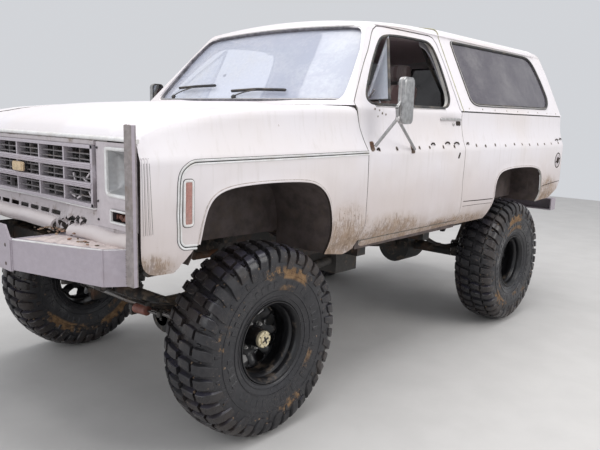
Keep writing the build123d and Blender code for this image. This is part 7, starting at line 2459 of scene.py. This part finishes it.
# ------------------------------------------------------------------ axle covers, bolts and the steering damper
ax = Build()
for x0, y0, r0, s_, n_ in ((288, -146, 82, -1, 10), (0, 2870, 115, 1, 12)):
    ax.lathe([(0, 0), (r0 - 26, 0), (r0 - 12, -5), (r0 - 4, -14), (r0 + 7, -16), (r0 + 7, -22), (0, -22)], (x0, y0, 488), (0, s_, 0), n=48, mat=0)
    for k in range(n_):
        t = 2 * math.pi * (k + 0.5) / n_
        ax.lathe([(0, 0), (7.5, 0), (7.5, 5.5), (5, 7), (0, 7)], (x0 + (r0 - 1) * math.cos(t), y0 - s_ * 15, 488 + (r0 - 1) * math.sin(t)), (0, s_, 0), n=6, mat=1)
    ax.lathe([(0, 0), (11, 0), (11, 7), (0, 7)], (x0, y0, 470), (0, s_, 0), n=4, mat=1)
    # raised ribs on the cast housing
    for k in range(6):
        t = math.pi * (k + 0.5) / 6
        ax.tube([(x0 + (r0 + 14) * math.cos(t), y0 - s_ * 40, 488 + (r0 + 14) * math.sin(t)), (x0 + (r0 + 12) * math.cos(t), y0 - s_ * 130, 488 + (r0 + 12) * math.sin(t))], 5.0, n=8, mat=0)
bevel(ax.obj("axle_covers", ["chassis", "iron"], "body", sharp=35), 0.8, 1, 40)
dm = Build()
# steering damper: body, rod, eyes and bracket
dm.lathe([(0, -58), (16, -58), (27, -52), (27, 52), (18, 58), (0, 58)], (276, -262, 548), (1, 0, 0.06), n=28, mat=0)
dm.lathe([(0, 56), (8, 56), (8, 158), (0, 158)], (276, -262, 548), (1, 0, 0.06), n=14, mat=1)
dm.lathe([(0, -98), (9, -98), (9, -56), (0, -56)], (276, -262, 548), (1, 0, 0.06), n=12, mat=1)
for x, z in ((180, 542), (434, 557)):
    dm.lathe([(0, -14), (15, -14), (15, 14), (0, 14)], (x, -262, z), (0, 0, 1), n=20, mat=2)
dm.box(165, 195, -272, -40, 498, 506, 2)
dm.box(172, 188, -270, -254, 504, 530, 2)
bevel(dm.obj("steering_damper", ["damper", "rod", "iron"], "body", sharp=35), 0.8, 2, 40)
# brake hoses, bump stops and the dampers' details
bk = Build()
for sx in (1, -1):
    bk.lathe([(0, 0), (34, 0), (30, 30), (20, 52), (0, 56)], (sx * 404, 40, 700), (0, 0, -1), n=20, mat=0)
    bk.lathe([(0, 0), (36, 0), (31, 34), (20, 58), (0, 62)], (sx * 404, 2705, 700), (0, 0, -1), n=20, mat=0)
    for y_, z_, r_ in ((120, 770, 30.5), (120, 884, 35.5), (120, 756, 34.5)):
        bk.lathe([(r_ - 4, -5), (r_, -5), (r_, 5), (r_ - 4, 5), (r_ - 4, -5)], (sx * 500, y_, z_), (0, 0, 1), n=28, mat=1)
    for y_, z_ in ((120, 505), (120, 896)):
        bk.lathe([(0, -17), (16, -17), (16, 17), (0, 17)], (sx * 500, y_, z_), (1, 0, 0), n=20, mat=0)
    for y_, z_ in ((2850, 500), (3100, 843)):
        bk.lathe([(0, -17), (16, -17), (16, 17), (0, 17)], (sx * 470, y_, z_), (1, 0, 0), n=20, mat=0)
bk.tube([(-380, 2650, 540), (-200, 2660, 560), (-40, 2650, 652), (40, 2650, 652), (200, 2660, 560), (380, 2650, 540)], 4.0, n=8, mat=1)
bk.obj("chassis_hoses", ["black", "iron"], "body", sharp=35)

# ------------------------------------------------------------------ floor, light, sky
fl = mesh_obj("floor", [(-9000, -9000, 0), (9000, -9000, 0), (9000, 12000, 0), (-9000, 12000, 0)], [(0, 1, 2, 3)], [plain("pale_floor", (0.56, 0.545, 0.53), 0.8, var=0.03, scale=3, bump=0.02)], None, smooth=False)


def area(name, loc, target, size, power, color=(1, 1, 1), size_y=None):
    d = bpy.data.lights.new(name, "AREA")
    d.energy = power
    d.color = color
    d.size = size
    if size_y:
        d.shape = "RECTANGLE"
        d.size_y = size_y
    ob = link(bpy.data.objects.new(name, d))
    ob.location = loc
    ob.rotation_euler = (Vector(target) - Vector(loc)).to_track_quat("-Z", "Y").to_euler()
    return ob


area("key", (7.5, 2.0, 5.5), (0, 0, 0.9), 5.0, 250, (1.0, 0.985, 0.965))
area("fill", (1.5, -8.0, 4.0), (0, -1, 0.8), 6.0, 150, (0.95, 0.975, 1.0))
area("over", (0, 0, 7.5), (0, 0, 0), 7.0, 400)
world = bpy.data.worlds.new("sky")
bpy.context.scene.world = world
world.use_nodes = True
wn = world.node_tree
bg = wn.nodes["Background"]
bg.inputs["Color"].default_value = (0.86, 0.88, 0.92, 1)
bg.inputs["Strength"].default_value = 0.75
bpy.context.scene.view_settings.view_transform = "Standard"
